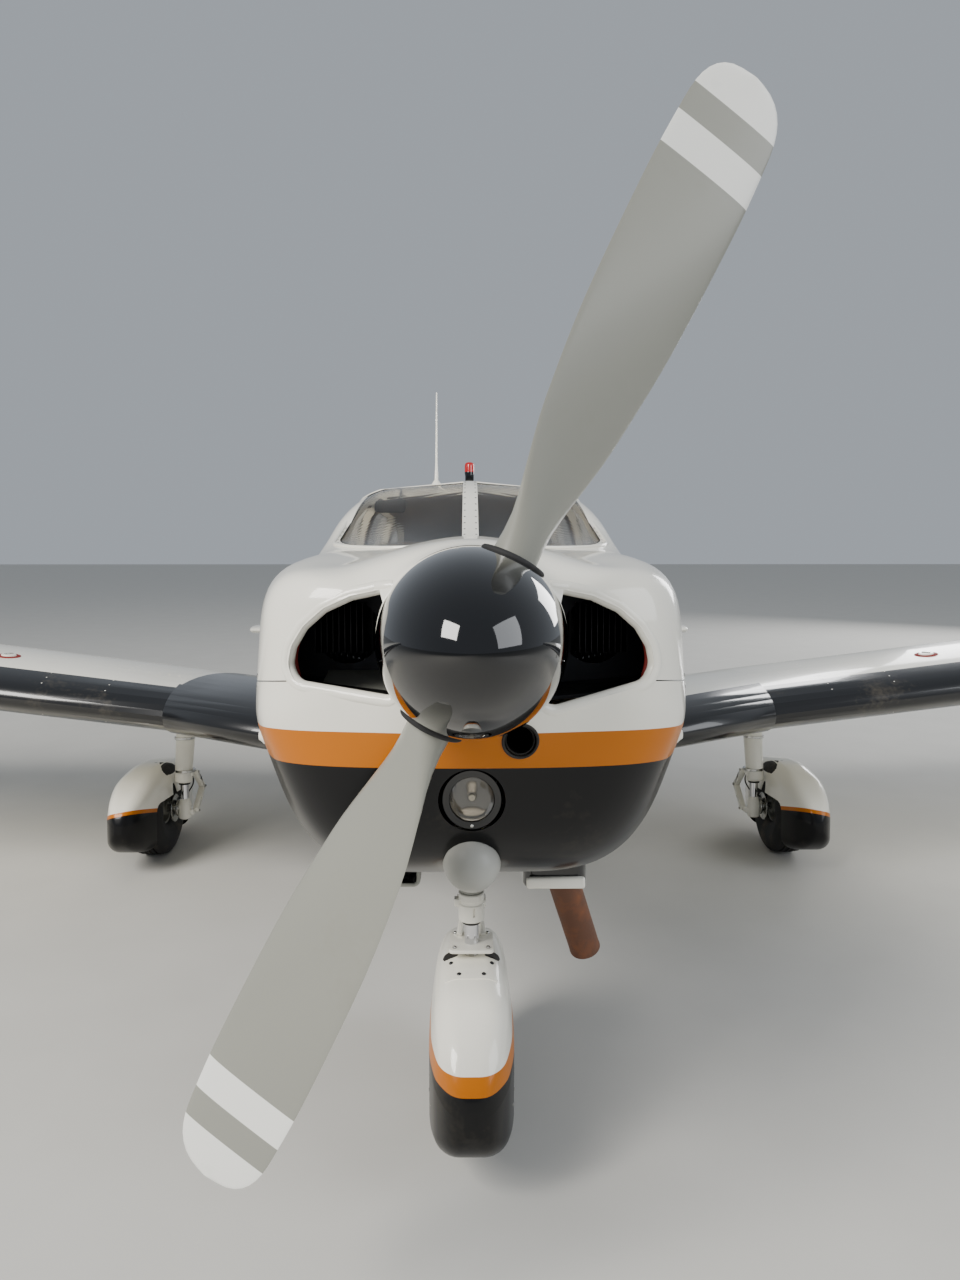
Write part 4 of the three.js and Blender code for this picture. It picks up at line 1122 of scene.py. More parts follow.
@dataclass
class Fuselage:
    """The hull: cowls, cabin, doors, tail cone and glass, all cut from one smooth skin."""

    paints: Paints
    collar: float = 0.166
    collar_inside: float = 0.161
    crown_width: float = 0.15
    valley_place: float = 0.265
    valley_width: float = 0.085
    cowl_wall: float = 0.004
    cabin_wall: float = 0.038
    tail_wall: float = 0.006
    glass: float = 0.005
    cowl_seam: float = 0.0012
    tail_seam: float = 0.0006
    pane_gap: float = 0.0004
    door_gap: float = 0.003
    post_half: float = 0.022
    windshield_half: float = 0.476
    windshield_base: float = 1.478
    windshield_side: float = 1.838
    windshield_top: float = 2.300
    windshield_corner: Point = (0.420, 2.340)
    windshield_heights: Point = (1.33, 2.1)
    swing_heights: Point = (0.7, 1.8)
    prism_reach: Point = (0.2, 0.76)
    nose_face: float = 0.0985
    lip_radius: float = 0.0130
    lip_back: float = 0.0125
    nose_steps: tuple[Point, ...] = (
        (0.0, 0.095),
        (0.05, 0.0985),
        (0.26, 0.125),
        (0.50, 0.140),
        (0.72, 0.163),
        (0.87, 0.193),
    )

    def half_ring(self, y: float) -> list[Vector]:
        """One half of a hull section, from the middle of the bottom to the middle of the top.

        Args:
            y: the station.

        Returns:
            Its 23 points as (x, z).
        """
        _, bottom, bx, br, sz, sx, sr, tz, tx, tr, top, crown, valley = smooth_at(SECTIONS, y)
        corners = [Vector(p) for p in ((0, bottom), (bx, bottom), (sx, sz), (tx, tz), (0, top))]
        points = [corners[0]]
        for i, radius, between in ((1, br, 1), (2, sr, 1), (3, tr, 2)):
            arc = corner_arc(corners[i - 1], corners[i], corners[i + 1], radius, 3)
            last = points[-1]
            points += [last.lerp(arc[0], k / (between + 1)) for k in range(1, between + 1)]
            points += arc
        last = points[-1]
        points += [last.lerp(corners[4], k / 6) for k in range(1, 7)]
        for point in points:
            if point.y > tz - 0.03:
                off = (point.x - self.valley_place) / self.valley_width
                rise = crown * math.exp(-((point.x / self.crown_width) ** 2))
                point.y += rise - valley * math.exp(-(off**2))
        return points

    def ring(self, y: float) -> Ring:
        """A whole hull section at a station."""
        half = self.half_ring(y)
        points = half + [Vector((-p.x, p.y)) for p in half[-2:0:-1]]
        return [Vector((p.x, y, p.y)) for p in points]

    def collar_ring(self, radius: float, y: float) -> Ring:
        """A ring round the spinner, with a point inward of each point of the first hull section."""
        turns = [math.atan2(p.z - THRUST_Z, p.x) for p in self.ring(SECTIONS[0][0])]
        return [Vector((radius * math.cos(a), y, THRUST_Z + radius * math.sin(a))) for a in turns]

    def rings(self) -> list[Ring]:
        """All rings of the cage, from inside the collar to the tail."""
        rings = [self.collar_ring(self.collar_inside, y) for y in (0.200, 0.115)]
        rings.append(self.collar_ring(self.collar_inside + 0.003, 0.0965))
        first, outer = self.collar_ring(self.collar, 0), self.ring(SECTIONS[0][0])
        for step, y in self.nose_steps:
            rings.append([
                Vector((a.x + (b.x - a.x) * step, y, a.z + (b.z - a.z) * step))
                for a, b in zip(first, outer)
            ])
        stations = [0.230, 0.300, 0.380, 0.460, 0.560, 0.680, 0.820, 0.960, 1.080, 1.210, 1.340, 1.450, 1.560]
        step, end = 0.125, TAIL_BACK
        while stations[-1] + 1.5 * step < end:
            stations.append(stations[-1] + step)
        stations.append(end)
        rings += [self.ring(y) for y in stations]
        return rings

    def skin(self) -> bpy.types.Object:
        """The smooth outer skin, closed but for the hole round the spinner."""
        rings = self.rings()
        count = len(rings[0])
        points = [p for ring in rings for p in ring]
        faces = []
        for i in range(len(rings) - 1):
            for j in range(count):
                k = (j + 1) % count
                faces.append((i * count + j, i * count + k, (i + 1) * count + k, (i + 1) * count + j))
        last = (len(rings) - 1) * count
        middle = sum(rings[-1], Vector()) / count
        for size, back in ((0.9, 0.006), (0.4, 0.008)):
            start = len(points)
            points += [middle + (p - middle) * size + Vector((0, back, 0)) for p in rings[-1]]
            faces += [
                (last + j, last + (j + 1) % count, start + (j + 1) % count, start + j)
                for j in range(count)
            ]
            last = start
        faces.append(tuple(range(last, last + count)))
        skin = make("hull_skin", points, faces)
        return subdivided(skin, 2)

    def inlet_outline(self, side: float, grow: float, radius: float) -> list[Vector]:
        """The outline of an inlet, as on the left side, which ends at the collar.

        Args:
            side: 1 for the left inlet and -1 for the right.
            grow: how far the outline is moved outward.
            radius: the radius of its end at the collar.

        Returns:
            Its points as (x, z).
        """
        centre = Vector((0, THRUST_Z))
        outline = rounded(grown((INLET_CORNER[side], *INLET), grow), 0.030 + grow, 6)
        outside = [p for p in outline if (p - centre).length > radius]
        breaks = [i for i, p in enumerate(outside) if (p - outside[i - 1]).length > 0.05 and p.x < 0.2]
        start = breaks[0] if breaks else 0
        path = outside[start:] + outside[:start]
        first, last = path[0] - centre, path[-1] - centre
        a0, a1 = math.atan2(last.y, last.x), math.atan2(first.y, first.x)
        turns = [a0 + (a1 - a0) * k / 12 for k in range(1, 12)]
        return path + [centre + radius * Vector((math.cos(a), math.sin(a))) for a in turns]

    def inlet_tool(self, side: float) -> bpy.types.Object:
        """The cutting prism of one inlet."""
        outline = [Vector((side * p.x, p.y)) for p in self.inlet_outline(side, 0.008, self.collar + 0.004)]
        return slab("inlet_tool", outline, "Y", 0.0, 0.36)

    def inlet_lips(self, smooth: SmoothSkin) -> None:
        """The rolled edges of both inlets."""
        lips = []
        for _, side in SIDES:
            path = []
            for point in self.inlet_outline(side, 0.012, self.collar - 0.008):
                inside = (point - Vector((0, THRUST_Z))).length < self.collar + 0.001
                front = self.nose_face if inside else smooth.on_front(side * point.x, point.y).y
                path.append(Vector((side * point.x, front + self.lip_back, point.y)))
            lips.append(paint(swept("lip", path, self.lip_radius, 20, closed=True), self.paints.white))
        settle(joined("inlet_lips", lips), Body.AIRFRAME)

    def part(
        self,
        skin: bpy.types.Object,
        name: str,
        planes: Sequence[tuple[Vector, Vector]],
    ) -> bpy.types.Object:
        """Cuts a piece of skin out by planes.

        Args:
            skin: the whole skin.
            name: the piece's name.
            planes: a point and an outward normal each; what lies outside goes.

        Returns:
            The piece of skin.
        """
        made = copied(skin, name)
        bm = bmesh.new()
        bm.from_mesh(made.data)
        for place, normal in planes:
            geometry = bm.verts[:] + bm.edges[:] + bm.faces[:]
            bmesh.ops.bisect_plane(bm, geom=geometry, plane_co=place, plane_no=normal, clear_outer=True)
        bm.to_mesh(made.data)
        bm.free()
        return made

    def between(self, front: float, back: float) -> list[tuple[Vector, Vector]]:
        """The two planes that keep a length of the hull."""
        return [(Vector((0, front, 0)), Vector((0, -1, 0))), (Vector((0, back, 0)), Vector((0, 1, 0)))]

    def side_prism(
        self,
        corners: Sequence[Point],
        radius: float,
        grow: float,
        side: float,
    ) -> bpy.types.Object:
        """A cutting prism through one side of the hull."""
        outline = rounded(grown(corners, grow), radius + grow)
        near, far = sorted(side * reach for reach in self.prism_reach)
        return slab("side_prism", outline, "X", near, far)

    def windshield_plan(self, grow: float) -> list[Vector]:
        """The plan of the left half of the windshield.

        Args:
            grow: how far the plan is moved outward.

        Returns:
            Its points as (x, y).
        """
        half, base, side = (v - grow for v in (self.post_half, self.windshield_base, self.windshield_side))
        points = []
        for i in range(17):
            angle = -math.pi / 2 + (math.pi / 2 - 0.12) * i / 16
            x = max(half, (self.windshield_half + grow) * math.cos(angle))
            points.append(Vector((x, side + (side - base) * math.sin(angle))))
        corner = Vector([v + grow for v in self.windshield_corner])
        top = Vector((half, self.windshield_top + grow))
        points += corner_arc(points[-1], corner, top, 0.06, 5)
        points += corner_arc(points[-1], top, points[0], 0.02, 3)
        last = points[-1]
        return points + [last.lerp(points[0], k / 14) for k in range(1, 14)]

    def windshield_prism(self, grow: float, side: float) -> bpy.types.Object:
        """The cutting prism of one windshield half."""
        outline = [Vector((side * p.x, p.y)) for p in self.windshield_plan(grow)]
        return slab("windshield_prism", outline, "Z", *self.windshield_heights)

    def swing(self, hinge: Vector, reach: float) -> bpy.types.Object:
        """The round solid about a door's hinge line that its far edge lies on."""
        low, high = self.swing_heights
        made = lathe("swing", [(0, low), (reach, low), (reach, high), (0, high)], "Z", 128)
        made.data.transform(Matrix.Translation((hinge.x, hinge.y, 0)))
        return made

    def door_space(
        self,
        corners: Sequence[Point],
        grow: float,
        hinge: Vector,
        reach: float,
    ) -> bpy.types.Object:
        """What a side door fills, as a cutting solid."""
        return cut(self.side_prism(corners, 0.06, grow, -1), self.swing(hinge, reach + grow), Cut.KEEP)

    def build(self) -> SmoothSkin:
        """Builds and settles every piece of the hull.

        Returns:
            The smooth skin that other pieces are set on.
        """
        skin = self.skin()
        smooth = SmoothSkin(skin)
        self.cowls(skin, smooth)
        self.cabin(skin, smooth)
        self.tail(skin, smooth)
        self.panes(skin, smooth)
        self.inlet_lips(smooth)
        bpy.data.objects.remove(skin)
        return smooth

    def cowls(self, skin: bpy.types.Object, smooth: SmoothSkin) -> None:
        """The upper and lower cowl."""
        seam = self.cowl_seam
        for name, plane in (
            ("cowl_upper_skin", (SPLIT_PLACE + SPLIT_UP * seam, -SPLIT_UP)),
            ("cowl_lower_skin", (SPLIT_PLACE - SPLIT_UP * seam, SPLIT_UP)),
        ):
            piece = self.part(skin, name, [plane, (Vector((0, COWL_BACK - seam, 0)), Vector((0, 1, 0)))])
            paint(piece, self.paints.hull, self.paints.trim)
            thickened(piece, self.cowl_wall, 1, 0)
            upper = name.startswith("cowl_upper")
            tools = [self.inlet_tool(side) for _, side in SIDES]
            for tool in tools if upper else tools + self.chin_holes():
                cut(piece, tool)
            smooth.shade(piece)
            node = "cowl_top" if upper else "cowl_bottom"
            settle(piece, Body.AIRFRAME, [node], smooth=None)

    def chin_holes(self) -> list[bpy.types.Object]:
        """The holes of the landing light, the nose leg and the exhaust in the lower cowl."""
        lamp = lathe("lamp_hole", [(0, 0), (0.062, 0), (0.062, 0.4), (0, 0.4)], "Y", 48)
        lamp.data.transform(Matrix.Translation((0, 0, LAMP_Z)))
        leg = lathe("leg_hole", [(0, 0.5), (0.05, 0.5), (0.05, 0.95), (0, 0.95)], "Z", 40)
        leg.data.transform(LEVEL.inverted() @ PARKED @ Matrix.Translation((0, STEER_Y, 0)))
        pipe = lathe("pipe_hole", [(0, 0.3), (0.066, 0.3), (0.066, 0.9), (0, 0.9)], "Z", 40)
        pipe.data.transform(Matrix.Translation((0.197, 0.595, 0)))
        intake = lathe("intake_hole", [(0, 0), (INTAKE_HOLE, 0), (INTAKE_HOLE, 0.4), (0, 0.4)], "Y", 40)
        intake.data.transform(Matrix.Translation((INTAKE_X, 0, INTAKE_Z)))
        return [lamp, leg, pipe, intake]

    def cabin(self, skin: bpy.types.Object, smooth: SmoothSkin) -> None:
        """The cabin shell and the two doors on its right side."""
        front, back = COWL_BACK + self.cowl_seam, CABIN_BACK - self.tail_seam
        wall = self.part(skin, "cabin_skin", self.between(front, back))
        paint(wall, self.paints.hull, self.paints.lining)
        thickened(wall, self.cabin_wall, 1, 0)
        for _, side in SIDES:
            cut(wall, self.windshield_prism(0, side))
        doors = (
            ("cabin_door_skin", DOOR_OUTLINE, "cabin_door_hinge", 0.812, Body.DOOR, "cabin_door"),
            ("baggage_door_skin", BAGGAGE_OUTLINE, "baggage_door_hinge", 0.470, Body.BAGGAGE, "baggage_door"),
        )
        made = []
        for name, corners, joint, reach, body, node in doors:
            hinge = LEVEL.inverted() @ joint_place(joint)[0]
            door = cut(copied(wall, name), self.door_space(corners, 0, hinge, reach), Cut.KEEP)
            cut(wall, self.door_space(corners, self.door_gap, hinge, reach))
            made.append((door, body, node))
        for place, (corners, radius) in PANES.items():
            cut(wall, self.side_prism(corners, radius, 0, 1))
            cut(made[0][0] if place == "front" else wall, self.side_prism(corners, radius, 0, -1))
        smooth.shade(wall)
        settle(wall, Body.AIRFRAME, ["cabin_shell"], smooth=None)
        for door, body, node in made:
            smooth.shade(door)
            settle(door, body, [node], smooth=None)

    def tail(self, skin: bpy.types.Object, smooth: SmoothSkin) -> None:
        """The tail cone."""
        front = Vector((0, CABIN_BACK + self.tail_seam, 0))
        cone = self.part(skin, "tail_cone_skin", [(front, Vector((0, -1, 0)))])
        paint(cone, self.paints.hull)
        thickened(cone, self.tail_wall)
        smooth.shade(cone)
        settle(cone, Body.AIRFRAME, ["tail_cone"], smooth=None)

    def panes(self, skin: bpy.types.Object, smooth: SmoothSkin) -> None:
        """The windshield and the side windows."""
        glass = self.part(skin, "glass_skin", self.between(COWL_BACK, CABIN_BACK))
        paint(glass, self.paints.glass)
        thickened(glass, self.glass)
        tools = []
        for place, (corners, radius) in PANES.items():
            for word, side in SIDES:
                in_door = place == "front" and side < 0
                node = "window_door" if in_door else f"window_{word}_{place}"
                tool = self.side_prism(corners, radius, -self.pane_gap, side)
                tools.append((node, tool, Body.DOOR if in_door else Body.AIRFRAME))
        for word, side in SIDES:
            tool = self.windshield_prism(-self.pane_gap, side)
            tools.append((f"windshield_{word}", tool, Body.AIRFRAME))
        for node, tool, body in tools:
            pane = cut(copied(glass, f"{node}_pane"), tool, Cut.KEEP)
            smooth.shade(pane)
            settle(pane, body, [node], smooth=None)
        bpy.data.objects.remove(glass)


# Propeller

# Blade sections: distance from the hub, chord, thickness, pitch in degrees.
BLADE = [
    (0.040, 0.080, 0.080, 60),
    (0.150, 0.082, 0.078, 60),
    (0.215, 0.104, 0.062, 54),
    (0.290, 0.142, 0.044, 46),
    (0.400, 0.178, 0.031, 38),
    (0.600, 0.198, 0.022, 29),
    (0.800, 0.194, 0.015, 23),
    (0.930, 0.180, 0.011, 20.5),
    (1.016, 0.170, 0.007, 19),
]


BLADE_ANGLE = math.radians(26.5)


@dataclass(frozen=True)
class BladePaint:
    """Grey satin blade paint with white tip bands and patches of grime."""

    name: str = "blade paint"
    angle: float = BLADE_ANGLE
    bands: tuple[Point, ...] = ((0.842, 0.900), (0.950, 1.100))

    def material(self) -> bpy.types.Material:
        """Builds the material."""
        coat = Coat(self.name, Coat_Weight=0.25, Coat_Roughness=0.15)
        graph = coat.graph
        split = graph.add("SeparateXYZ", {"Vector": coat.place})
        along_x = graph.math("MULTIPLY", split.outputs["X"], math.sin(self.angle))
        along = graph.math("MULTIPLY_ADD", split.outputs["Z"], math.cos(self.angle), along_x)
        reach = graph.math("ABSOLUTE", along)
        tone: object = colour(140, 140, 131)
        for low, high in self.bands:
            inside = graph.math("MULTIPLY", graph.step(reach, low), graph.step(high, reach))
            tone = graph.blend(inside, tone, colour(238, 238, 232))
        grime = coat.group(GRIME, Scale=7.0, Edge=0.78).outputs["Mask"]
        weak = graph.math("MULTIPLY", grime, 0.25)
        coat.set("Base Color", graph.blend(weak, tone, colour(120, 116, 100)))
        coat.set("Roughness", graph.math("MULTIPLY_ADD", weak, 0.5, 0.36))
        coat.bump(coat.group(PEEL, Scale=500.0, Fine=0.00001, Wave=0.0002).outputs["Height"])
        return coat.material


@dataclass
class PropellerUnit:
    """The spinner, hub and two blades."""

    paints: Paints
    angle: float = BLADE_ANGLE
    radius: float = 0.159
    tip: float = -0.250
    back: float = 0.080
    boot: float = 0.051

    def spinner(self) -> bpy.types.Object:
        """The polished dome with its two blade openings."""
        stations = [self.tip + -self.tip * (i / 40) ** 2 for i in range(41)]
        outer = [(self.dome_radius(y), y) for y in stations]
        outer += [(self.radius, 0.027), (self.radius, 0.053), (self.radius, self.back)]
        inner = [(max(r - 0.003, 0), y + 0.003 if r < 0.1 else y) for r, y in reversed(outer)]
        dome = lathe("spinner_dome", outer + inner, "Y", 128)
        source = lathe("spinner_source", outer, "Y", 128)
        smooth = SmoothSkin(source)
        bpy.data.objects.remove(source)
        turn = Matrix.Rotation(self.angle, 4, "Y")
        boots = lathe("boots", [(0, -0.3), (self.boot, -0.3), (self.boot, 0.3), (0, 0.3)], "Z", 64)
        boots.data.transform(turn)
        cut(dome, boots)
        paint(dome, self.paints.spinner)
        smooth.shade(dome)
        return dome

    def blade(self) -> bpy.types.Object:
        """One blade, pointing up."""
        rings = []
        tip_start, tip = 0.90, BLADE[-1][0]
        steps = [0.04 + 0.03 * k for k in range(29)]
        steps += [tip_start + (tip - tip_start) * math.sin(math.pi / 2 * k / 10) for k in range(1, 11)]
        for reach in steps:
            _, chord, thickness, pitch = smooth_at(BLADE, reach)
            past = max(0.0, (reach - tip_start) / (tip - tip_start))
            chord *= max((1 - past**3.2) ** (1 / 2.6), 0.12)
            turn = math.radians(pitch)
            round_part = 1 - min(max((reach - 0.15) / 0.2, 0), 1)
            ring = []
            for k in range(28):
                angle = 2 * math.pi * k / 28
                u = math.cos(angle)
                thin = 1 + (1 - round_part) * (0.35 * u - 0.3)
                v = math.sin(angle) * thin
                x, y = u * chord / 2, v * thickness / 2
                ring.append(Vector((
                    x * math.cos(turn) - y * math.sin(turn), x * math.sin(turn) + y * math.cos(turn), reach
                )))
            rings.append(ring)
        return loft("blade", rings)

    def build(self) -> None:
        """Builds and settles the propeller."""
        place = LEVEL @ Matrix.Translation((0, 0, THRUST_Z))
        settle(self.spinner(), Body.PROPELLER, ["spinner"], place, smooth=None)
        blade = self.blade()
        turn = Matrix.Rotation(self.angle, 4, "Y")
        other = copied(blade, "blade_other", turn @ Matrix.Rotation(math.pi, 4, "Y"))
        blade.data.transform(turn)
        hub = lathe(
            "hub", [(0, -0.075), (0.056, -0.075), (0.062, -0.068), (0.062, 0.066), (0, 0.066)], "Y", 48
        )
        plate = lathe(
            "plate", [(0, 0.060), (0.151, 0.060), (0.151, 0.077), (0.148, 0.079), (0, 0.079)], "Y", 96
        )
        shaft = lathe("shaft", [(0, 0.07), (0.034, 0.07), (0.034, 0.29), (0, 0.29)], "Y", 32)
        coat = BladePaint().material()
        for piece in (blade, other):
            paint(piece, coat)
        for piece in (hub, plate, shaft):
            paint(piece, self.paints.steel)
        whole = joined("blades_and_hub", [blade, other, hub, plate, shaft])
        settle(whole, Body.PROPELLER, ["propeller"], place, 40)
        rings = []
        for sign in (1, -1):
            path = []
            for k in range(64):
                angle = 2 * math.pi * k / 64
                u, v = self.boot * math.cos(angle), self.boot * math.sin(angle)
                depth = self.dome_height(u, v)
                path.append(turn @ Vector((u, v, sign * depth)))
            rings.append(swept("boot_ring", path, 0.0065, 12, closed=True))
        boots = paint(joined("blade_boot_rings", rings), self.paints.rubber)
        settle(boots, Body.PROPELLER, place=place)

    def dome_height(self, x: float, y: float) -> float:
        """How far out the dome's surface lies over a point of a blade opening."""
        return math.sqrt(max(self.dome_radius(y) ** 2 - x**2, 0))

    def dome_radius(self, y: float) -> float:
        """The dome's radius at a station."""
        ahead = min((y - self.tip) / -self.tip, 1)
        return self.radius * (1 - (1 - ahead) ** 1.8) ** 0.55


# Wings

WING_SECTIONS = [
    (0.430, 1.690, 3.600, 0.126),
    (1.188, 1.948, 3.600, 0.145),
    (1.194, 2.000, 3.600, 0.150),
    (2.700, 2.000, 3.600, 0.150),
    (5.230, 2.250, 3.322, 0.140),
    (5.330, 2.300, 3.300, 0.120),
    (5.385, 2.420, 3.240, 0.080),
    (5.395, 2.560, 3.160, 0.040),
]


def aerofoil(thickness: float, camber: float, steps: int = 26) -> list[Point]:
    """Points round a wing section, from the trailing edge over the top and back.

    Args:
        thickness: the thickness as a fraction of the chord.
        camber: the camber as a fraction of the chord, at 40% of it.
        steps: steps of each side.

    Returns:
        Points of (aft, up) as fractions of the chord.
    """

    def half(x: float) -> float:
        """Half the thickness at a fraction of the chord."""
        poly = 0.2969 * math.sqrt(x) - 0.126 * x - 0.3516 * x**2 + 0.2843 * x**3 - 0.1015 * x**4
        return 5 * thickness * poly

    def middle(x: float) -> float:
        """The camber line at a fraction of the chord."""
        crest = 0.4
        if x < crest:
            return camber * (2 * crest * x - x * x) / crest**2
        return camber * (1 - 2 * crest + 2 * crest * x - x * x) / (1 - crest) ** 2

    cuts = [(1 - math.cos(math.pi * i / steps)) / 2 for i in range(steps + 1)]
    upper = [(x, middle(x) + half(x)) for x in reversed(cuts)]
    return upper + [(x, middle(x) - half(x)) for x in cuts[1:]]


def row_at(table: Sequence[Sequence[float]], at: float) -> list[float]:
    """Reads a table by straight lines between its rows."""
    i = min(max(sum(row[0] <= at for row in table) - 1, 0), len(table) - 2)
    low, high = table[i], table[i + 1]
    t = (at - low[0]) / (high[0] - low[0])
    return [a + (b - a) * t for a, b in zip(low, high)]


SPACE_LENGTH = 0.7
SPACE_FLARE = 1.6


def nosed_outline(radius: float) -> list[Point]:
    """The section of a hinged surface's space, round at its hinge line and widening aft.

    Args:
        radius: the nose's radius.

    Returns:
        Points of (aft, across) from the hinge line.
    """
    arc = [math.pi / 2 + math.pi * i / 16 for i in range(17)]
    nose = [(radius * math.cos(a), radius * math.sin(a)) for a in arc]
    return [(SPACE_LENGTH, radius * SPACE_FLARE), *nose, (SPACE_LENGTH, -radius * SPACE_FLARE)]


@dataclass(frozen=True)
class WingPaint:
    """Cream wing paint with a black leading edge and, on one side, a black walkway at the root."""

    name: str
    walkway: bool
    edge_width: float = 0.15
    edge_start: float = 2.0
    taper_start: float = 2.7
    edge_sweep: float = 0.0988
    glove_end: float = 1.191
    glove_start: float = 1.544
    glove_sweep: float = 0.34
    walkway_x: float = 1.52
    walkway_end: float = 3.25

    def material(self) -> bpy.types.Material:
        """Builds the material."""
        coat = Coat(self.name, Coat_Weight=0.6, Coat_Roughness=0.06)
        graph = coat.graph
        split = graph.add("SeparateXYZ", {"Vector": coat.place})
        x = graph.math("ABSOLUTE", split.outputs["X"])
        y = split.outputs["Y"]
        outboard = graph.math("MAXIMUM", graph.math("SUBTRACT", x, self.taper_start), 0.0)
        outer_edge = graph.math("MULTIPLY_ADD", outboard, self.edge_sweep, self.edge_start + self.edge_width)
        glove = graph.math("MULTIPLY_ADD", x, self.glove_sweep, self.glove_start + self.edge_width + 0.06)
        edge = graph.blend_value(graph.step(x, self.glove_end), glove, outer_edge)
        dark = graph.step(edge, y)
        if self.walkway:
            curve = graph.math("MULTIPLY_ADD", y, -0.16, self.walkway_x)
            on_top = graph.step(curve, x)
            aft = graph.step(self.walkway_end, y)
            dark = graph.math("MAXIMUM", dark, graph.math("MULTIPLY", on_top, aft))
        grime = coat.group(GRIME, Scale=3.0, Edge=0.8).outputs["Mask"]
        weak = graph.math("MULTIPLY", grime, 0.25)
        tone = graph.blend(dark, CREAM, BLACK)
        coat.set("Base Color", graph.blend(weak, tone, DUST))
        coat.set("Roughness", graph.math("MULTIPLY_ADD", weak, 0.6, 0.28))
        coat.bump(coat.group(PEEL, Fine=0.00001, Wave=0.0010).outputs["Height"])
        return coat.material


@dataclass
class Wings:
    """Both wings, with their rounded tips, flaps and ailerons."""

    paints: Paints
    camber: float = 0.020
    root_x: float = 0.610
    root_trailing_z: float = 0.656
    dihedral: float = math.tan(math.radians(7))
    incidence: float = math.tan(math.radians(2))
    flap: tuple[float, float, float, float, float] = (0.640, 2.690, 0.82, 0.054, 0.054)
    aileron: tuple[float, float, float, float, float] = (2.745, 4.950, 0.83, 0.050, 0.036)
    nose_gap: float = 0.006
    end_gap: float = 0.014

    def trailing_z(self, x: float) -> float:
        """The height of the trailing edge along the span."""
        return self.root_trailing_z + (x - self.root_x) * self.dihedral

    def point(self, x: float, fraction: float) -> Vector:
        """The middle of the section at a fraction of the chord."""
        _, leading, trailing, _ = row_at(WING_SECTIONS, x)
        y = leading + (trailing - leading) * fraction
        return Vector((
            x, y, self.trailing_z(x) + (trailing - y) * self.incidence + 0.004 * (trailing - leading)
        ))

    def solid(self) -> bpy.types.Object:
        """The whole left wing as one smooth body."""
        stations = [0.430, 0.8, 1.188, 1.194, 1.7, 2.2, 2.7, 3.3, 4.0, 4.7, 5.230]
        rows = [row_at(WING_SECTIONS, x) for x in stations]
        for k in range(1, 11):
            turn = math.pi / 2 * k / 10
            rows.append(smooth_at(WING_SECTIONS[4:], 5.230 + 0.165 * math.sin(turn)))
        rings = []
        for x, leading, trailing, thickness in rows:
            chord = trailing - leading
            ring = []
            for u, v in aerofoil(thickness, self.camber):
                z = self.trailing_z(x) + chord * (1 - u) * self.incidence + v * chord
                ring.append(Vector((x, leading + u * chord, z)))
            rings.append(ring)
        return loft("wing_body", rings)

    def hinged_space(self, line: tuple[float, ...], grow: float, end_gap: float = 0.0) -> bpy.types.Object:
        """The space of a hinged surface: a round nose about its hinge line and everything aft of it.

        Args:
            line: its start, end, place along the chord, and the nose's radius at both ends.
            grow: the gap round the nose.
            end_gap: the gap at both ends.

        Returns:
            The space.
        """
        start, end, fraction, inner, outer = line
        low, high = self.point(start, fraction), self.point(end, fraction)
        slope = (high - low) / (end - start)
        rings = []
        for centre, radius in ((low - slope * end_gap, inner + grow), (high + slope * end_gap, outer + grow)):
            rings.append([centre + Vector((0, aft, up)) for aft, up in nosed_outline(radius)])
        return loft("hinged_space", rings)

    def build(self) -> None:
        """Builds and settles both wings."""
        body = self.solid()
        smooth = SmoothSkin(body)
        flap = cut(copied(body, "flap"), self.hinged_space(self.flap, 0), Cut.KEEP)
        aileron = cut(copied(body, "aileron"), self.hinged_space(self.aileron, 0), Cut.KEEP)
        for line in (self.flap, self.aileron):
            cut(body, self.hinged_space(line, self.nose_gap, self.end_gap))
        for piece in (body, flap, aileron):
            smooth.shade(piece)
        for word, side in SIDES:
            coat = WingPaint(f"wing paint {word}", side < 0).material()
            turn = None if side > 0 else MIRROR
            parts = (
                (body, "wing", Body.AIRFRAME, f"wing_{word}"),
                (flap, "flap", Body.LEFT_FLAP if side > 0 else Body.RIGHT_FLAP, f"flap_{word}"),
                (
                    aileron, "aileron", Body.LEFT_AILERON if side > 0 else Body.RIGHT_AILERON,
                    f"aileron_{word}",
                ),
            )
            for source, name, on, node in parts:
                piece = copied(source, f"{name}_skin_{word}", turn)
                paint(piece, coat if name == "wing" else self.paints.white)
                settle(piece, on, [node], smooth=None)
        for source in (body, flap, aileron):
            bpy.data.objects.remove(source)


# Landing gear


def tube(name: str, low: Place, high: Place, profile: Sequence[Point], sides: int = 40) -> bpy.types.Object:
    """Turns a profile about a line between two points.

    Args:
        name: the piece's name.
        low: where the line starts.
        high: where it ends.
        profile: points of (radius, fraction of the line).
        sides: steps round the line.

    Returns:
        The object.
    """
    along = Vector(high) - Vector(low)
    made = lathe(name, [(radius, part * along.length) for radius, part in profile], "Z", sides)
    made.data.transform(Matrix.Translation(low) @ along.to_track_quat("Z", "Y").to_matrix().to_4x4())
    return made


def rod(
    name: str,
    low: Place,
    high: Place,
    radius: float,
    edge: float = 0.002,
    sides: int = 32,
) -> bpy.types.Object:
    """A round bar with softened ends."""
    part = edge / (Vector(high) - Vector(low)).length
    profile = [(0, 0), (radius - edge, 0), (radius, part), (radius, 1 - part), (radius - edge, 1), (0, 1)]
    return tube(name, low, high, profile, sides)


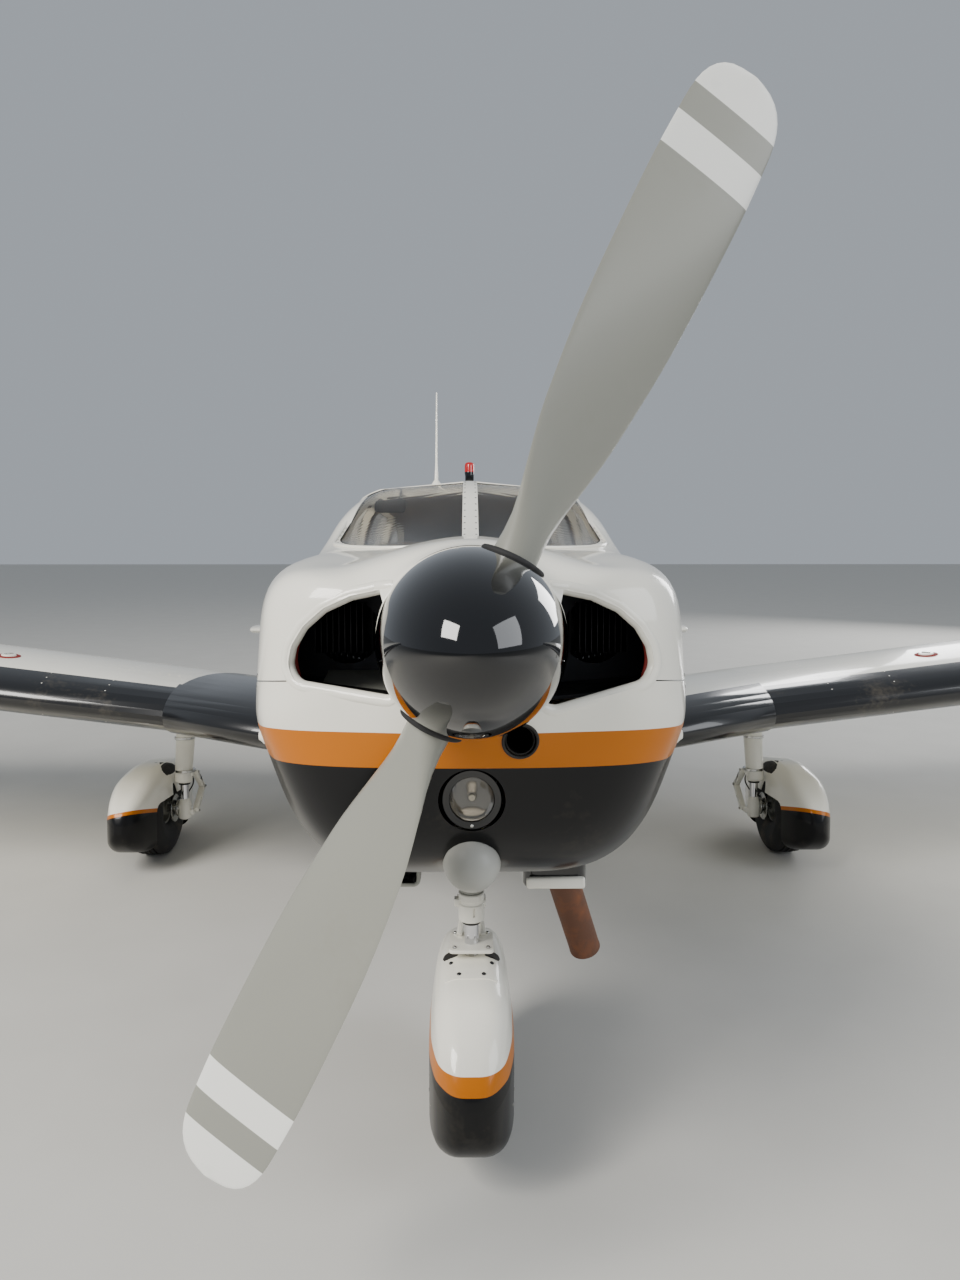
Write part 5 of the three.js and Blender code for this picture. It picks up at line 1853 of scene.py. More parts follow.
def studs(
    name: str,
    places: Iterable[tuple[Vector, Vector]],
    radius: float,
    height: float,
    sides: int = 8,
) -> bpy.types.Object:
    """A row of low domes, such as screw heads and rivets.

    Args:
        name: the piece's name.
        places: a point and a normal for each.
        radius: the domes' radius.
        height: how far they stand out.
        sides: steps round each.

    Returns:
        The object, one mesh.
    """
    points: list[Vector] = []
    faces: list[tuple[int, ...]] = []
    for place, normal in places:
        across = normal.orthogonal().normalized()
        up = normal.cross(across)
        start = len(points)
        for size, out in ((1.0, -0.5), (1.0, 0.3), (0.7, 0.85)):
            for k in range(sides):
                angle = 2 * math.pi * k / sides
                ring = across * math.cos(angle) + up * math.sin(angle)
                points.append(place + ring * radius * size + normal * height * out)
        for i in range(2):
            for k in range(sides):
                j = (k + 1) % sides
                a, b = start + i * sides, start + (i + 1) * sides
                faces.append((a + k, a + j, b + j, b + k))
        faces.append(tuple(start + 2 * sides + k for k in range(sides)))
        faces.append(tuple(start + k for k in reversed(range(sides))))
    mesh = bpy.data.meshes.new(name)
    mesh.from_pydata([tuple(p) for p in points], [], faces)
    made = bpy.data.objects.new(name, mesh)
    bpy.context.scene.collection.objects.link(made)
    return made


def patch(
    name: str,
    smooth: SmoothSkin,
    frame_at: tuple[Place, Place, Place],
    ray: Place,
    lift: float = 0.0015,
    square: float = 0.75,
    steps: int = 14,
) -> bpy.types.Object:
    """A thin plate with rounded corners that lies on a surface.

    Args:
        name: the piece's name.
        smooth: the surface.
        frame_at: the plate's middle and its two half sides, off the surface.
        ray: the direction from there to the surface.
        lift: the plate's thickness above the surface.
        square: 1 for sharp corners, 0 for an ellipse.
        steps: steps of each side.

    Returns:
        The object.
    """
    middle, across, up = (Vector(part) for part in frame_at)
    ray = Vector(ray)
    top, bottom = [], []
    for i in range(steps + 1):
        for j in range(steps + 1):
            u, v = 2 * i / steps - 1, 2 * j / steps - 1
            x = u * math.sqrt(1 - (1 - square) * v * v / 2)
            y = v * math.sqrt(1 - (1 - square) * u * u / 2)
            at = middle + across * x + up * y
            hit, normal, _, _ = smooth.tree.ray_cast(at, ray)
            if hit is None:
                hit, normal, _, _ = smooth.tree.find_nearest(at)
            out = normal if normal.dot(ray) < 0 else -normal
            top.append(hit + out * lift)
            bottom.append(hit - out * 0.001)
    return make(name, top + bottom, plate_faces(steps, steps))


# Fairing sections aft of the axle: y, half width, low z, high z.
MAIN_FAIRING = [
    (-0.430, 0.016, 0.205, 0.250),
    (-0.420, 0.034, 0.172, 0.286),
    (-0.395, 0.056, 0.140, 0.318),
    (-0.330, 0.086, 0.100, 0.366),
    (-0.200, 0.110, 0.072, 0.420),
    (0.000, 0.115, 0.060, 0.444),
    (0.200, 0.108, 0.066, 0.428),
    (0.400, 0.072, 0.110, 0.374),
    (0.570, 0.012, 0.190, 0.300),
]
NOSE_FAIRING = [
    (-0.380, 0.016, 0.205, 0.262),
    (-0.370, 0.040, 0.172, 0.300),
    (-0.345, 0.064, 0.135, 0.340),
    (-0.290, 0.088, 0.100, 0.392),
    (-0.170, 0.103, 0.062, 0.446),
    (-0.020, 0.106, 0.050, 0.466),
    (0.150, 0.098, 0.054, 0.448),
    (0.300, 0.062, 0.100, 0.365),
    (0.420, 0.010, 0.180, 0.270),
]


def fairing_shell(name: str, table: Sequence[Sequence[float]], rounding: float) -> bpy.types.Object:
    """The closed outer shape of a wheel fairing about its axle.

    Args:
        name: the piece's name.
        table: its sections.
        rounding: the radius of its edges as a fraction of its half width.

    Returns:
        The object.
    """
    first, last = table[0][0], table[-1][0]
    rings = []
    for k in range(41):
        y = first + (last - first) * (1 - math.cos(math.pi * k / 40)) / 2
        _, half, low, high = smooth_at(table, y)
        shoulder = low + (high - low) * 0.6
        corners = [
            (-half, low), (half, low), (half, shoulder), (half * 0.8, high), (-half * 0.8, high),
            (-half, shoulder),
        ]
        rings.append([Vector((p.x, y, p.y)) for p in rounded(corners, half * rounding, 7)])
    return loft(name, rings)


@dataclass
class LandingGear:
    """Legs, wheels and fairings."""

    paints: Paints
    main_x: float = 1.525
    main_y: float = 2.820
    main_z: float = 0.222
    nose_y: float = 0.735
    nose_z: float = 0.180
    steer_y: float = STEER_Y
    leg_x: float = 1.388
    axle_hole: float = 0.0205

    def tyre(self, name: str, radius: float, half: float, bore: float, grooves: int) -> bpy.types.Object:
        """A tyre with a rounded sidewall and grooves round its tread."""
        side = [
            (bore, 0.58), (bore + 0.004, 0.68), (bore + 0.012, 0.76), (bore + 0.022, 0.80),
            (radius * 0.56, 0.93), (radius * 0.66, 0.985), (radius * 0.72, 1.0), (radius * 0.725, 0.985),
            (radius * 0.74, 0.985), (radius * 0.745, 0.995), (radius * 0.84, 0.955), (radius * 0.90, 0.89),
            (radius * 0.945, 0.80), (radius * 0.972, 0.70),
        ]
        left = [(r, -part * half) for r, part in side]
        tread, width = [], 1.16 * half / grooves
        for k in range(grooves):
            middle = (k + 0.5) * width - 0.58 * half
            for off, depth in ((-0.5, 0.0), (-0.2, 0.0), (-0.14, 0.006), (0.14, 0.006), (0.2, 0.0)):
                at = middle + off * width
                tread.append((radius - 0.02 * radius * (at / (0.6 * half)) ** 2 - depth, at))
        tread.append((radius * 0.98, 0.58 * half))
        profile = left + tread + [(r, -x) for r, x in reversed(left)]
        return paint(lathe(name, profile + profile[:1], "X", 96), self.paints.rubber)

    def rim(self, name: str, half: float, bore: float, axle: float) -> bpy.types.Object:
        """A two-part wheel with a dished face, holes, bolts and a bearing cap."""
        outer, wall = bore - 0.0006, half * 0.6
        side = [
            (axle + 0.001, wall + 0.006), (axle + 0.012, wall + 0.004), (axle + 0.016, wall * 0.5),
            (outer - 0.012, wall * 0.42),
        ]
        side += [(outer - 0.008, wall * 0.9), (outer - 0.003, wall * 0.97), (outer, wall * 0.9)]
        profile = [(r, -x) for r, x in side] + [(r, x) for r, x in reversed(side)]
        disc = lathe(name, profile + profile[:1], "X", 72)
        ring = (axle + 0.016 + outer - 0.012) / 2
        for k in range(6):
            angle = math.pi * k / 3
            hole = rod("hole", (-0.2, 0, 0), (0.2, 0, 0), 0.007, sides=16)
            hole.data.transform(Matrix.Translation((0, ring * math.cos(angle), ring * math.sin(angle))))
            cut(disc, hole)
        bolts = []
        for k in range(6):
            angle = math.pi * (k + 0.5) / 3
            for side_x in (-1, 1):
                place = Vector((side_x * wall * 0.46, ring * math.cos(angle), ring * math.sin(angle)))
                bolts.append((place, Vector((side_x, 0, 0))))
        heads = paint(studs("heads", bolts, 0.0055, 0.005, 6), self.paints.steel)
        return joined(name, [paint(disc, self.paints.grey), heads])

    def wheels(self) -> None:
        """The three wheels on their joints."""
        main, nose = (self.main_z, 0.080, 0.076, 0.019), (self.nose_z, 0.063, 0.064, 0.012)
        wheels = (
            ("main_left", Body.MAIN_WHEEL_LEFT, main, "main_tyre_left", "main_rim_left"),
            ("main_right", Body.MAIN_WHEEL_RIGHT, main, "main_tyre_right", "main_rim_right"),
            ("nose", Body.NOSE_WHEEL, nose, "nose_tyre", "nose_rim"),
        )
        for word, body, (radius, half, bore, axle), tyre_node, rim_node in wheels:
            place = Matrix.Translation(joint_place(f"{body.value}_roll")[0])
            settle(
                self.tyre(f"{word}_tyre_tread", radius, half, bore, 4), body, [tyre_node],
                place, 24,
            )
            settle(self.rim(f"{word}_wheel_disc", half, bore, axle), body, [rim_node], place)

    def link(
        self,
        name: str,
        half: float,
        points: Sequence[Point],
        hole: Point,
        x: float,
    ) -> bpy.types.Object:
        """One forged torque link seen from the side, with its lightening hole."""
        flat = slab(name, rounded(points, 0.010), "X", x - half, x + half)
        pin = rod("pin", (x - 0.2, *hole), (x + 0.2, *hole), 0.009)
        return bevelled(cut(flat, pin), 0.003, 2)

    def main_leg(self) -> bpy.types.Object:
        """The left main leg, from inside the wing to the axle."""
        x, y, z = self.leg_x, self.main_y, self.main_z
        foot, head = Vector((x + 0.006, y, 0.350)), Vector((x - 0.022, y, 0.770))
        barrel = [
            (0, 0), (0.036, 0), (0.0405, 0.008), (0.0425, 0.02), (0.0425, 0.05), (0.041, 0.06),
            (0.0485, 0.98), (0, 0.98),
        ]
        cylinder = paint(tube("cylinder", foot, head, barrel, 56), self.paints.white)
        piston = paint(rod("piston", (x, y, 0.180), (x, y, 0.370), 0.019), self.paints.chrome)
        wiper = paint(rod("wiper", (x, y, 0.338), (x, y, 0.352), 0.027), self.paints.trim)
        forging = [
            (0, 0), (0.020, 0), (0.028, 0.06), (0.030, 0.2), (0.030, 0.7), (0.024, 0.92), (0.021, 1), (0, 1)
        ]
        fitting = paint(tube("fitting", (x, y, 0.168), (x, y, 0.268), forging), self.paints.white)
        axle = rod("axle", (x, y, z), (1.672, y, z), 0.0185)
        nut = rod("nut", (1.652, y, z), (1.666, y, z), 0.026, sides=6)
        flange = rod("flange", (x + 0.026, y, z), (x + 0.036, y, z), 0.040)
        metal = [paint(piece, self.paints.steel) for piece in (axle, nut, flange)]
        upper = self.link(
            "upper", 0.013, [(y + 0.02, 0.408), (y + 0.02, 0.382), (y + 0.135, 0.288), (y + 0.152, 0.302)],
            (y + 0.075, 0.352), x - 0.045,
        )
        lower = self.link(
            "lower", 0.013, [(y + 0.02, 0.190), (y + 0.02, 0.216), (y + 0.135, 0.312), (y + 0.152, 0.298)],
            (y + 0.075, 0.250), x - 0.045,
        )
        lugs = []
        for height in (0.395, 0.205):
            lug = box(
                "lug", (x - 0.045, y - 0.014, height - 0.016), (x - 0.004, y + 0.044, height + 0.012), 0.005
            )
            lugs.append(lug)
        pins = [
            rod("pin", (x - 0.064, y + aft, height), (x - 0.026, y + aft, height), 0.0065, sides=6)
            for aft, height in ((0.140, 0.300), (0.030, 0.395), (0.030, 0.203))
        ]
        links = [paint(piece, self.paints.white) for piece in (upper, lower, *lugs)]
        metal += [paint(pin, self.paints.steel) for pin in pins]
        disc = rod("disc", (1.432, y, z), (1.438, y, z), 0.066, 0.001, 56)
        metal.append(paint(disc, self.paints.steel))
        caliper = box("caliper", (1.420, y + 0.040, z - 0.040), (1.443, y + 0.082, z + 0.040), 0.006)
        metal.append(paint(caliper, self.paints.dark_metal))
        hose = [
            (x - 0.02, y + 0.052, 0.70), (x - 0.006, y + 0.050, 0.55), (x, y + 0.050, 0.42),
            (x - 0.02, y + 0.075, 0.34), (x + 0.01, y + 0.085, 0.28), (x + 0.04, y + 0.070, 0.25),
        ]
        line = paint(swept("line", curve_through(hose, 8), 0.0035, 10), self.paints.trim)
        bands = [
            rod("band", (x - 0.006, y, h), (x - 0.006, y, h + 0.012), 0.0485, 0.001)
            for h in (0.40, 0.56)
        ]
        metal += [paint(band, self.paints.steel) for band in bands]
        return joined("main_leg", [cylinder, piston, wiper, fitting, line, *metal, *links])

    def main_fairing(self) -> bpy.types.Object:
        """The left main wheel fairing."""
        x, y, z = self.main_x, self.main_y, self.main_z
        centre = x + 0.020
        shell = fairing_shell("fairing", MAIN_FAIRING, 0.62)
        shell.data.transform(Matrix.Translation((centre, y, 0)))
        smooth = SmoothSkin(shell)
        paint(shell, self.paints.main_fairing, self.paints.trim)
        thickened(shell, 0.005, 1, 1)
        cut(shell, box("well", (x - 0.092, y - 0.238, -0.1), (x + 0.092, y + 0.238, 0.200), 0.02))
        cut(shell, box("side", (1.200, y - 0.250, -0.1), (x - 0.060, y + 0.250, 0.300), 0.05))
        cut(shell, rod("slot", (self.leg_x + 0.004, y, 0.26), (self.leg_x - 0.005, y, 0.55), 0.054))
        cut(shell, rod("hub", (x, y, z), (x + 0.3, y, z), self.axle_hole))
        smooth.shade(shell)
        places = []
        for aft, height in (
            (-0.10, 0.120), (-0.05, 0.120), (0.05, 0.120), (0.10, 0.120), (-0.28, 0.20), (0.28, 0.20)
        ):
            hit, normal, _, _ = smooth.tree.ray_cast(
                Vector((centre + 1, y + aft, height)), Vector((-1, 0, 0))
            )
            if hit is not None:
                places.append((hit, normal))
        screws = paint(studs("screws", places, 0.0055, 0.0018, 12), self.paints.steel)
        plate = patch(
            "plate", smooth, ((centre + 0.5, y, z), (0, 0.05, 0), (0, 0, 0.05)), (-1, 0, 0), 0.002, 0.0
        )
        cut(plate, rod("hub", (x, y, z), (x + 0.3, y, z), self.axle_hole))
        paint(plate, self.paints.white)
        return joined("main_fairing", [shell, screws, plate])

    def mains(self) -> None:
        """Both main legs and fairings."""
        for source, name, node, smooth in (
            (self.main_leg(), "main_leg_parts", "main_leg", 32),
            (self.main_fairing(), "main_fairing_skin", "main_fairing", None),
        ):
            for word, side in SIDES:
                piece = copied(source, f"{name}_{word}", None if side > 0 else MIRROR)
                settle(piece, Body.AIRFRAME, [f"{node}_{word}"], smooth=smooth)
            bpy.data.objects.remove(source)

    def nose_leg(self) -> None:
        """The fixed housing, and the steered collar, piston, links, plate, fork and axle."""
        y, axle_y, axle_z = self.steer_y, self.nose_y, self.nose_z
        tube_profile = [
            (0, 0), (0.027, 0), (0.029, 0.004), (0.029, 0.02), (0.0275, 0.025), (0.0275, 1), (0, 1)
        ]
        housing = tube("housing", (0, y, 0.628), (0, y, 1.105), tube_profile)
        settle(paint(housing, self.paints.grey), Body.AIRFRAME, ["nose_leg_housing"], PARKED)
        collar_profile = [
            (0, 0), (0.026, 0), (0.031, 0.03), (0.033, 0.06), (0.033, 0.60), (0.0305, 0.64), (0.0305, 0.72),
            (0.033, 0.76), (0.033, 0.96), (0.031, 1), (0, 1),
        ]
        collar = tube("collar", (0, y, 0.553), (0, y, 0.6275), collar_profile)
        ear = box("ear", (-0.044, y - 0.012, 0.592), (-0.026, y + 0.012, 0.612), 0.004)
        slot = box("slot", (0.004, y - 0.04, 0.572), (0.009, y - 0.028, 0.596), 0.001)
        cut(collar, slot)
        lugs = [
            box("lug", (s * 0.030 - 0.007, y - 0.004, 0.586), (s * 0.030 + 0.007, y + 0.040, 0.606), 0.004)
            for s in (-1, 1)
        ]
        white = [collar, ear, *lugs]
        for sign in (-1, 1):
            upper = [
                (sign * 0.031, y + 0.03, 0.596), (sign * 0.024, y + 0.08, 0.570),
                (sign * 0.010, y + 0.124, 0.549),
            ]
            lower = [
                (sign * 0.031, y + 0.03, 0.500), (sign * 0.024, y + 0.08, 0.524),
                (sign * 0.010, y + 0.124, 0.546),
            ]
            white += [swept("arm", curve_through(path, 6), 0.0075, 10, 0.7) for path in (upper, lower)]
        plate_outline = rounded(
            [(-0.056, y - 0.050), (0.056, y - 0.050), (0.056, y + 0.062), (-0.056, y + 0.062)], 0.012
        )
        plate = bevelled(slab("bracket", plate_outline, "Z", 0.485, 0.495), 0.002, 2)
        white.append(plate)
        crown = box("crown", (-0.076, y - 0.038, 0.374), (0.076, axle_y + 0.038, 0.392), 0.005)
        arms = []
        for sign in (-1, 1):
            outline = rounded(
                [
                    (y - 0.040, 0.384), (axle_y + 0.040, 0.384), (axle_y + 0.024, axle_z - 0.020),
                    (axle_y - 0.024, axle_z - 0.020),
                ],
                0.012,
            )
            arms.append(bevelled(
                slab("arm", outline, "X", min(sign * 0.069, sign * 0.077), max(sign * 0.069, sign * 0.077)),
                0.002, 2,
            ))
        white += [crown, *arms]
        piston = rod("piston", (0, y, 0.385), (0, y, 0.60), 0.018)
        gaiter = rod("gaiter", (0, y, 0.546), (0, y, 0.556), 0.024)
        axle = rod("axle", (-0.110, axle_y, axle_z), (0.110, axle_y, axle_z), 0.0115)
        nuts = [
            rod("nut", (s * 0.079, axle_y, axle_z), (s * 0.090, axle_y, axle_z), 0.019, sides=6)
            for s in (-1, 1)
        ]
        pin = rod("pin", (-0.022, y + 0.124, 0.5475), (0.022, y + 0.124, 0.5475), 0.006, sides=12)
        bolts = studs(
            "bolts",
            [
                (Vector((sx * 0.042, y + sy, 0.4955)), Vector((0, 0, 1)))
                for sx in (-1, 1) for sy in (-0.036, 0.048)
            ],
            0.006, 0.005, 6,
        )
        pieces = [paint(piece, self.paints.white) for piece in white]
        pieces += [paint(piston, self.paints.chrome), paint(gaiter, self.paints.trim)]
        pieces += [paint(piece, self.paints.steel) for piece in (axle, pin, bolts, *nuts)]
        settle(joined("nose_leg_parts", pieces), Body.NOSE_STEERING, ["nose_leg"], PARKED)

    def nose_fairing(self) -> None:
        """The nose wheel fairing with its cover plate."""
        y, axle_y, axle_z = self.steer_y, self.nose_y, self.nose_z
        shell = fairing_shell("nose_fairing_skin", NOSE_FAIRING, 0.62)
        shell.data.transform(Matrix.Translation((0, axle_y, 0)))
        smooth = SmoothSkin(shell)
        paint(shell, self.paints.nose_fairing, self.paints.trim)
        thickened(shell, 0.005, 1, 1)
        cut(shell, box("well", (-0.072, axle_y - 0.205, -0.1), (0.072, axle_y + 0.205, 0.160), 0.02))
        cut(shell, rod("leg", (0, y, 0.38), (0, y, 0.62), 0.0195))
        cut(shell, rod("axle", (-0.3, axle_y, axle_z), (0.3, axle_y, axle_z), 0.0125))
        smooth.shade(shell)
        settle(shell, Body.NOSE_STEERING, ["nose_fairing"], PARKED, None)
        down = Vector((0, 0, -1))
        front, back, half = 0.590, 0.676, 0.066
        cover = patch(
            "cover", smooth, ((0, (front + back) / 2, 1), (half, 0, 0), (0, (back - front) / 2, 0)), down,
            0.0025, 0.8,
        )
        cups = [
            patch("cup", smooth, ((sign * 0.052, 0.697, 1), (0.019, 0, 0), (0, 0.016, 0)), down, 0.002, 0.3)
            for sign in (-1, 1)
        ]
        places = []
        for sx, at in ((-0.050, 0.655), (0.050, 0.655), (-0.030, 0.606), (0.030, 0.606)):
            hit, normal, _, _ = smooth.tree.ray_cast(Vector((sx, at, 1)), down)
            places.append((hit + normal * 0.0025, normal))
        screws = studs("screws", places, 0.0055, 0.003, 12)
        rows = []
        for k in range(9):
            hit, normal, _, _ = smooth.tree.ray_cast(
                Vector((1, axle_y - 0.24 + 0.06 * k, 0.19)), Vector((-1, 0, 0))
            )
            rows += [(hit, normal), (Vector((-hit.x, hit.y, hit.z)), Vector((-normal.x, normal.y, normal.z)))]
        heads = studs("heads", rows, 0.0042, 0.0015, 10)
        pieces = [paint(cover, self.paints.white), *(paint(cup, self.paints.trim) for cup in cups)]
        pieces += [paint(screws, self.paints.dark_metal), paint(heads, self.paints.steel)]
        settle(joined("nose_fairing_fittings", pieces), Body.NOSE_STEERING, place=PARKED)

    def build(self) -> None:
        """Builds and settles the landing gear."""
        self.wheels()
        self.mains()
        self.nose_leg()
        self.nose_fairing()


# Fittings on the skins


def loop_band(
    name: str,
    inner: Sequence[tuple[Vector, Vector]],
    outer: Sequence[tuple[Vector, Vector]],
    lift: float,
) -> bpy.types.Object:
    """A thin flat strip between two loops that lie on a surface.

    Args:
        name: the piece's name.
        inner: points and normals of the inner loop.
        outer: the same of the outer loop.
        lift: how far its face stands off the surface.

    Returns:
        The object.
    """
    count = len(inner)
    points = [p + n * lift for p, n in inner] + [p + n * lift for p, n in outer]
    points += [p - n * 0.001 for p, n in outer] + [p - n * 0.001 for p, n in inner]
    faces = []
    for i in range(count):
        j = (i + 1) % count
        for k in range(4):
            a, b = k * count, (k + 1) % 4 * count
            faces.append((a + i, a + j, b + j, b + i))
    return make(name, points, faces)


def cast(smooth: SmoothSkin, start: Place, ray: Place) -> tuple[Vector, Vector]:
    """Finds where a ray meets a surface, and the normal there that faces the ray."""
    start, ray = Vector(start), Vector(ray)
    hit, normal, _, _ = smooth.tree.ray_cast(start, ray)
    if hit is None:
        hit, normal, _, _ = smooth.tree.find_nearest(start)
    return hit, normal if normal.dot(ray) < 0 else -normal


def spread(
    path: Sequence[tuple[Vector, Vector]],
    gap: float,
    closed: bool = True,
) -> list[tuple[Vector, Vector]]:
    """Picks places along a path at even distances.

    Args:
        path: points and normals.
        gap: the distance between two picks.
        closed: whether the path is a loop.

    Returns:
        The picked points and normals.
    """
    picked, past = [], 0.0
    pairs = list(zip(path, list(path[1:]) + ([path[0]] if closed else [])))
    for (a, normal), (b, other) in pairs:
        length = (b - a).length
        while past < length:
            t = past / length
            picked.append((a.lerp(b, t), normal.lerp(other, t).normalized()))
            past += gap
        past -= length
    return picked


@dataclass
class WindowFrames:
    """Frames, gaskets and fasteners round the panes, and the windshield's centre strip."""

    paints: Paints
    hull: Fuselage
    smooth: SmoothSkin
    width: float = 0.022
    rivet_gap: float = 0.045
    lift: float = 0.0014
    bead_radius: float = 0.0065
    gasket_radius: float = 0.0028
    post_lift: float = 0.009

    def strip(
        self,
        name: str,
        inner: Sequence[Vector],
        outer: Sequence[Vector],
        along: str,
        side: float,
    ) -> list[bpy.types.Object]:
        """A frame strip, its fasteners and a gasket round one opening.

        Args:
            name: the strip's name.
            inner: the inner outline, flat.
            outer: the outer outline, with as many points.
            along: X for an opening in the side, Z for one seen from above.
            side: 1 for left and -1 for right.

        Returns:
            The pieces.
        """

        def place(point: Vector) -> tuple[Vector, Vector]:
            """A flat outline's point on the skin."""
            if along == "X":
                return cast(self.smooth, (side * 2, point.x, point.y), (-side, 0, 0))
            return cast(self.smooth, (side * point.x, point.y, 4), (0, 0, -1))

        near, far = [place(p) for p in inner], [place(p) for p in outer]
        middle = [((a + b) / 2, (n + m).normalized()) for (a, n), (b, m) in zip(near, far)]
        band = paint(loop_band(name, near, far, self.lift), self.paints.white)
        gasket = paint(
            swept("gasket", [p + n * 0.0005 for p, n in near], self.gasket_radius, 6, closed=True),
            self.paints.trim,
        )
        heads = [(p + n * self.lift, n) for p, n in spread(middle, self.rivet_gap)]
        bead = paint(
            swept("bead", [p + n * 0.0015 for p, n in far], self.bead_radius, 8, closed=True),
            self.paints.white,
        )
        return [band, bead, gasket, paint(studs("heads", heads, 0.0038, 0.0012), self.paints.steel)]

    def build(self) -> None:
        """Builds and settles the frames."""
        fixed, on_door = [], []
        for place, (corners, radius) in PANES.items():
            inner = rounded(grown(corners, 0.001), radius + 0.001, 7)
            outer = rounded(grown(corners, self.width), radius + self.width, 7)
            for _, side in SIDES:
                pieces = self.strip("side_frame", inner, outer, "X", side)
                target = on_door if place == "front" and side < 0 else fixed
                target += pieces
        for _, side in SIDES:
            fixed += self.strip(
                "windshield_frame", self.hull.windshield_plan(0.001), self.hull.windshield_plan(0.021), "Z",
                side,
            )
        down = Vector((0, 0, -1))
        post = patch(
            "post", self.smooth, ((0, 1.895, 4), (0.028, 0, 0), (0, 0.425, 0)), down, self.post_lift, 1.0,
            20,
        )
        fixed.append(paint(post, self.paints.white))
        heads = []
        for k in range(14):
            for x in (-0.020, 0.020):
                hit, normal = cast(self.smooth, (x, 1.49 + 0.062 * k, 4), down)
                heads.append((hit + normal * self.post_lift, normal))
        fixed.append(paint(studs("post_heads", heads, 0.0042, 0.0016, 10), self.paints.steel))
        settle(joined("window_frames", fixed), Body.AIRFRAME)
        settle(joined("door_window_frame", on_door), Body.DOOR)


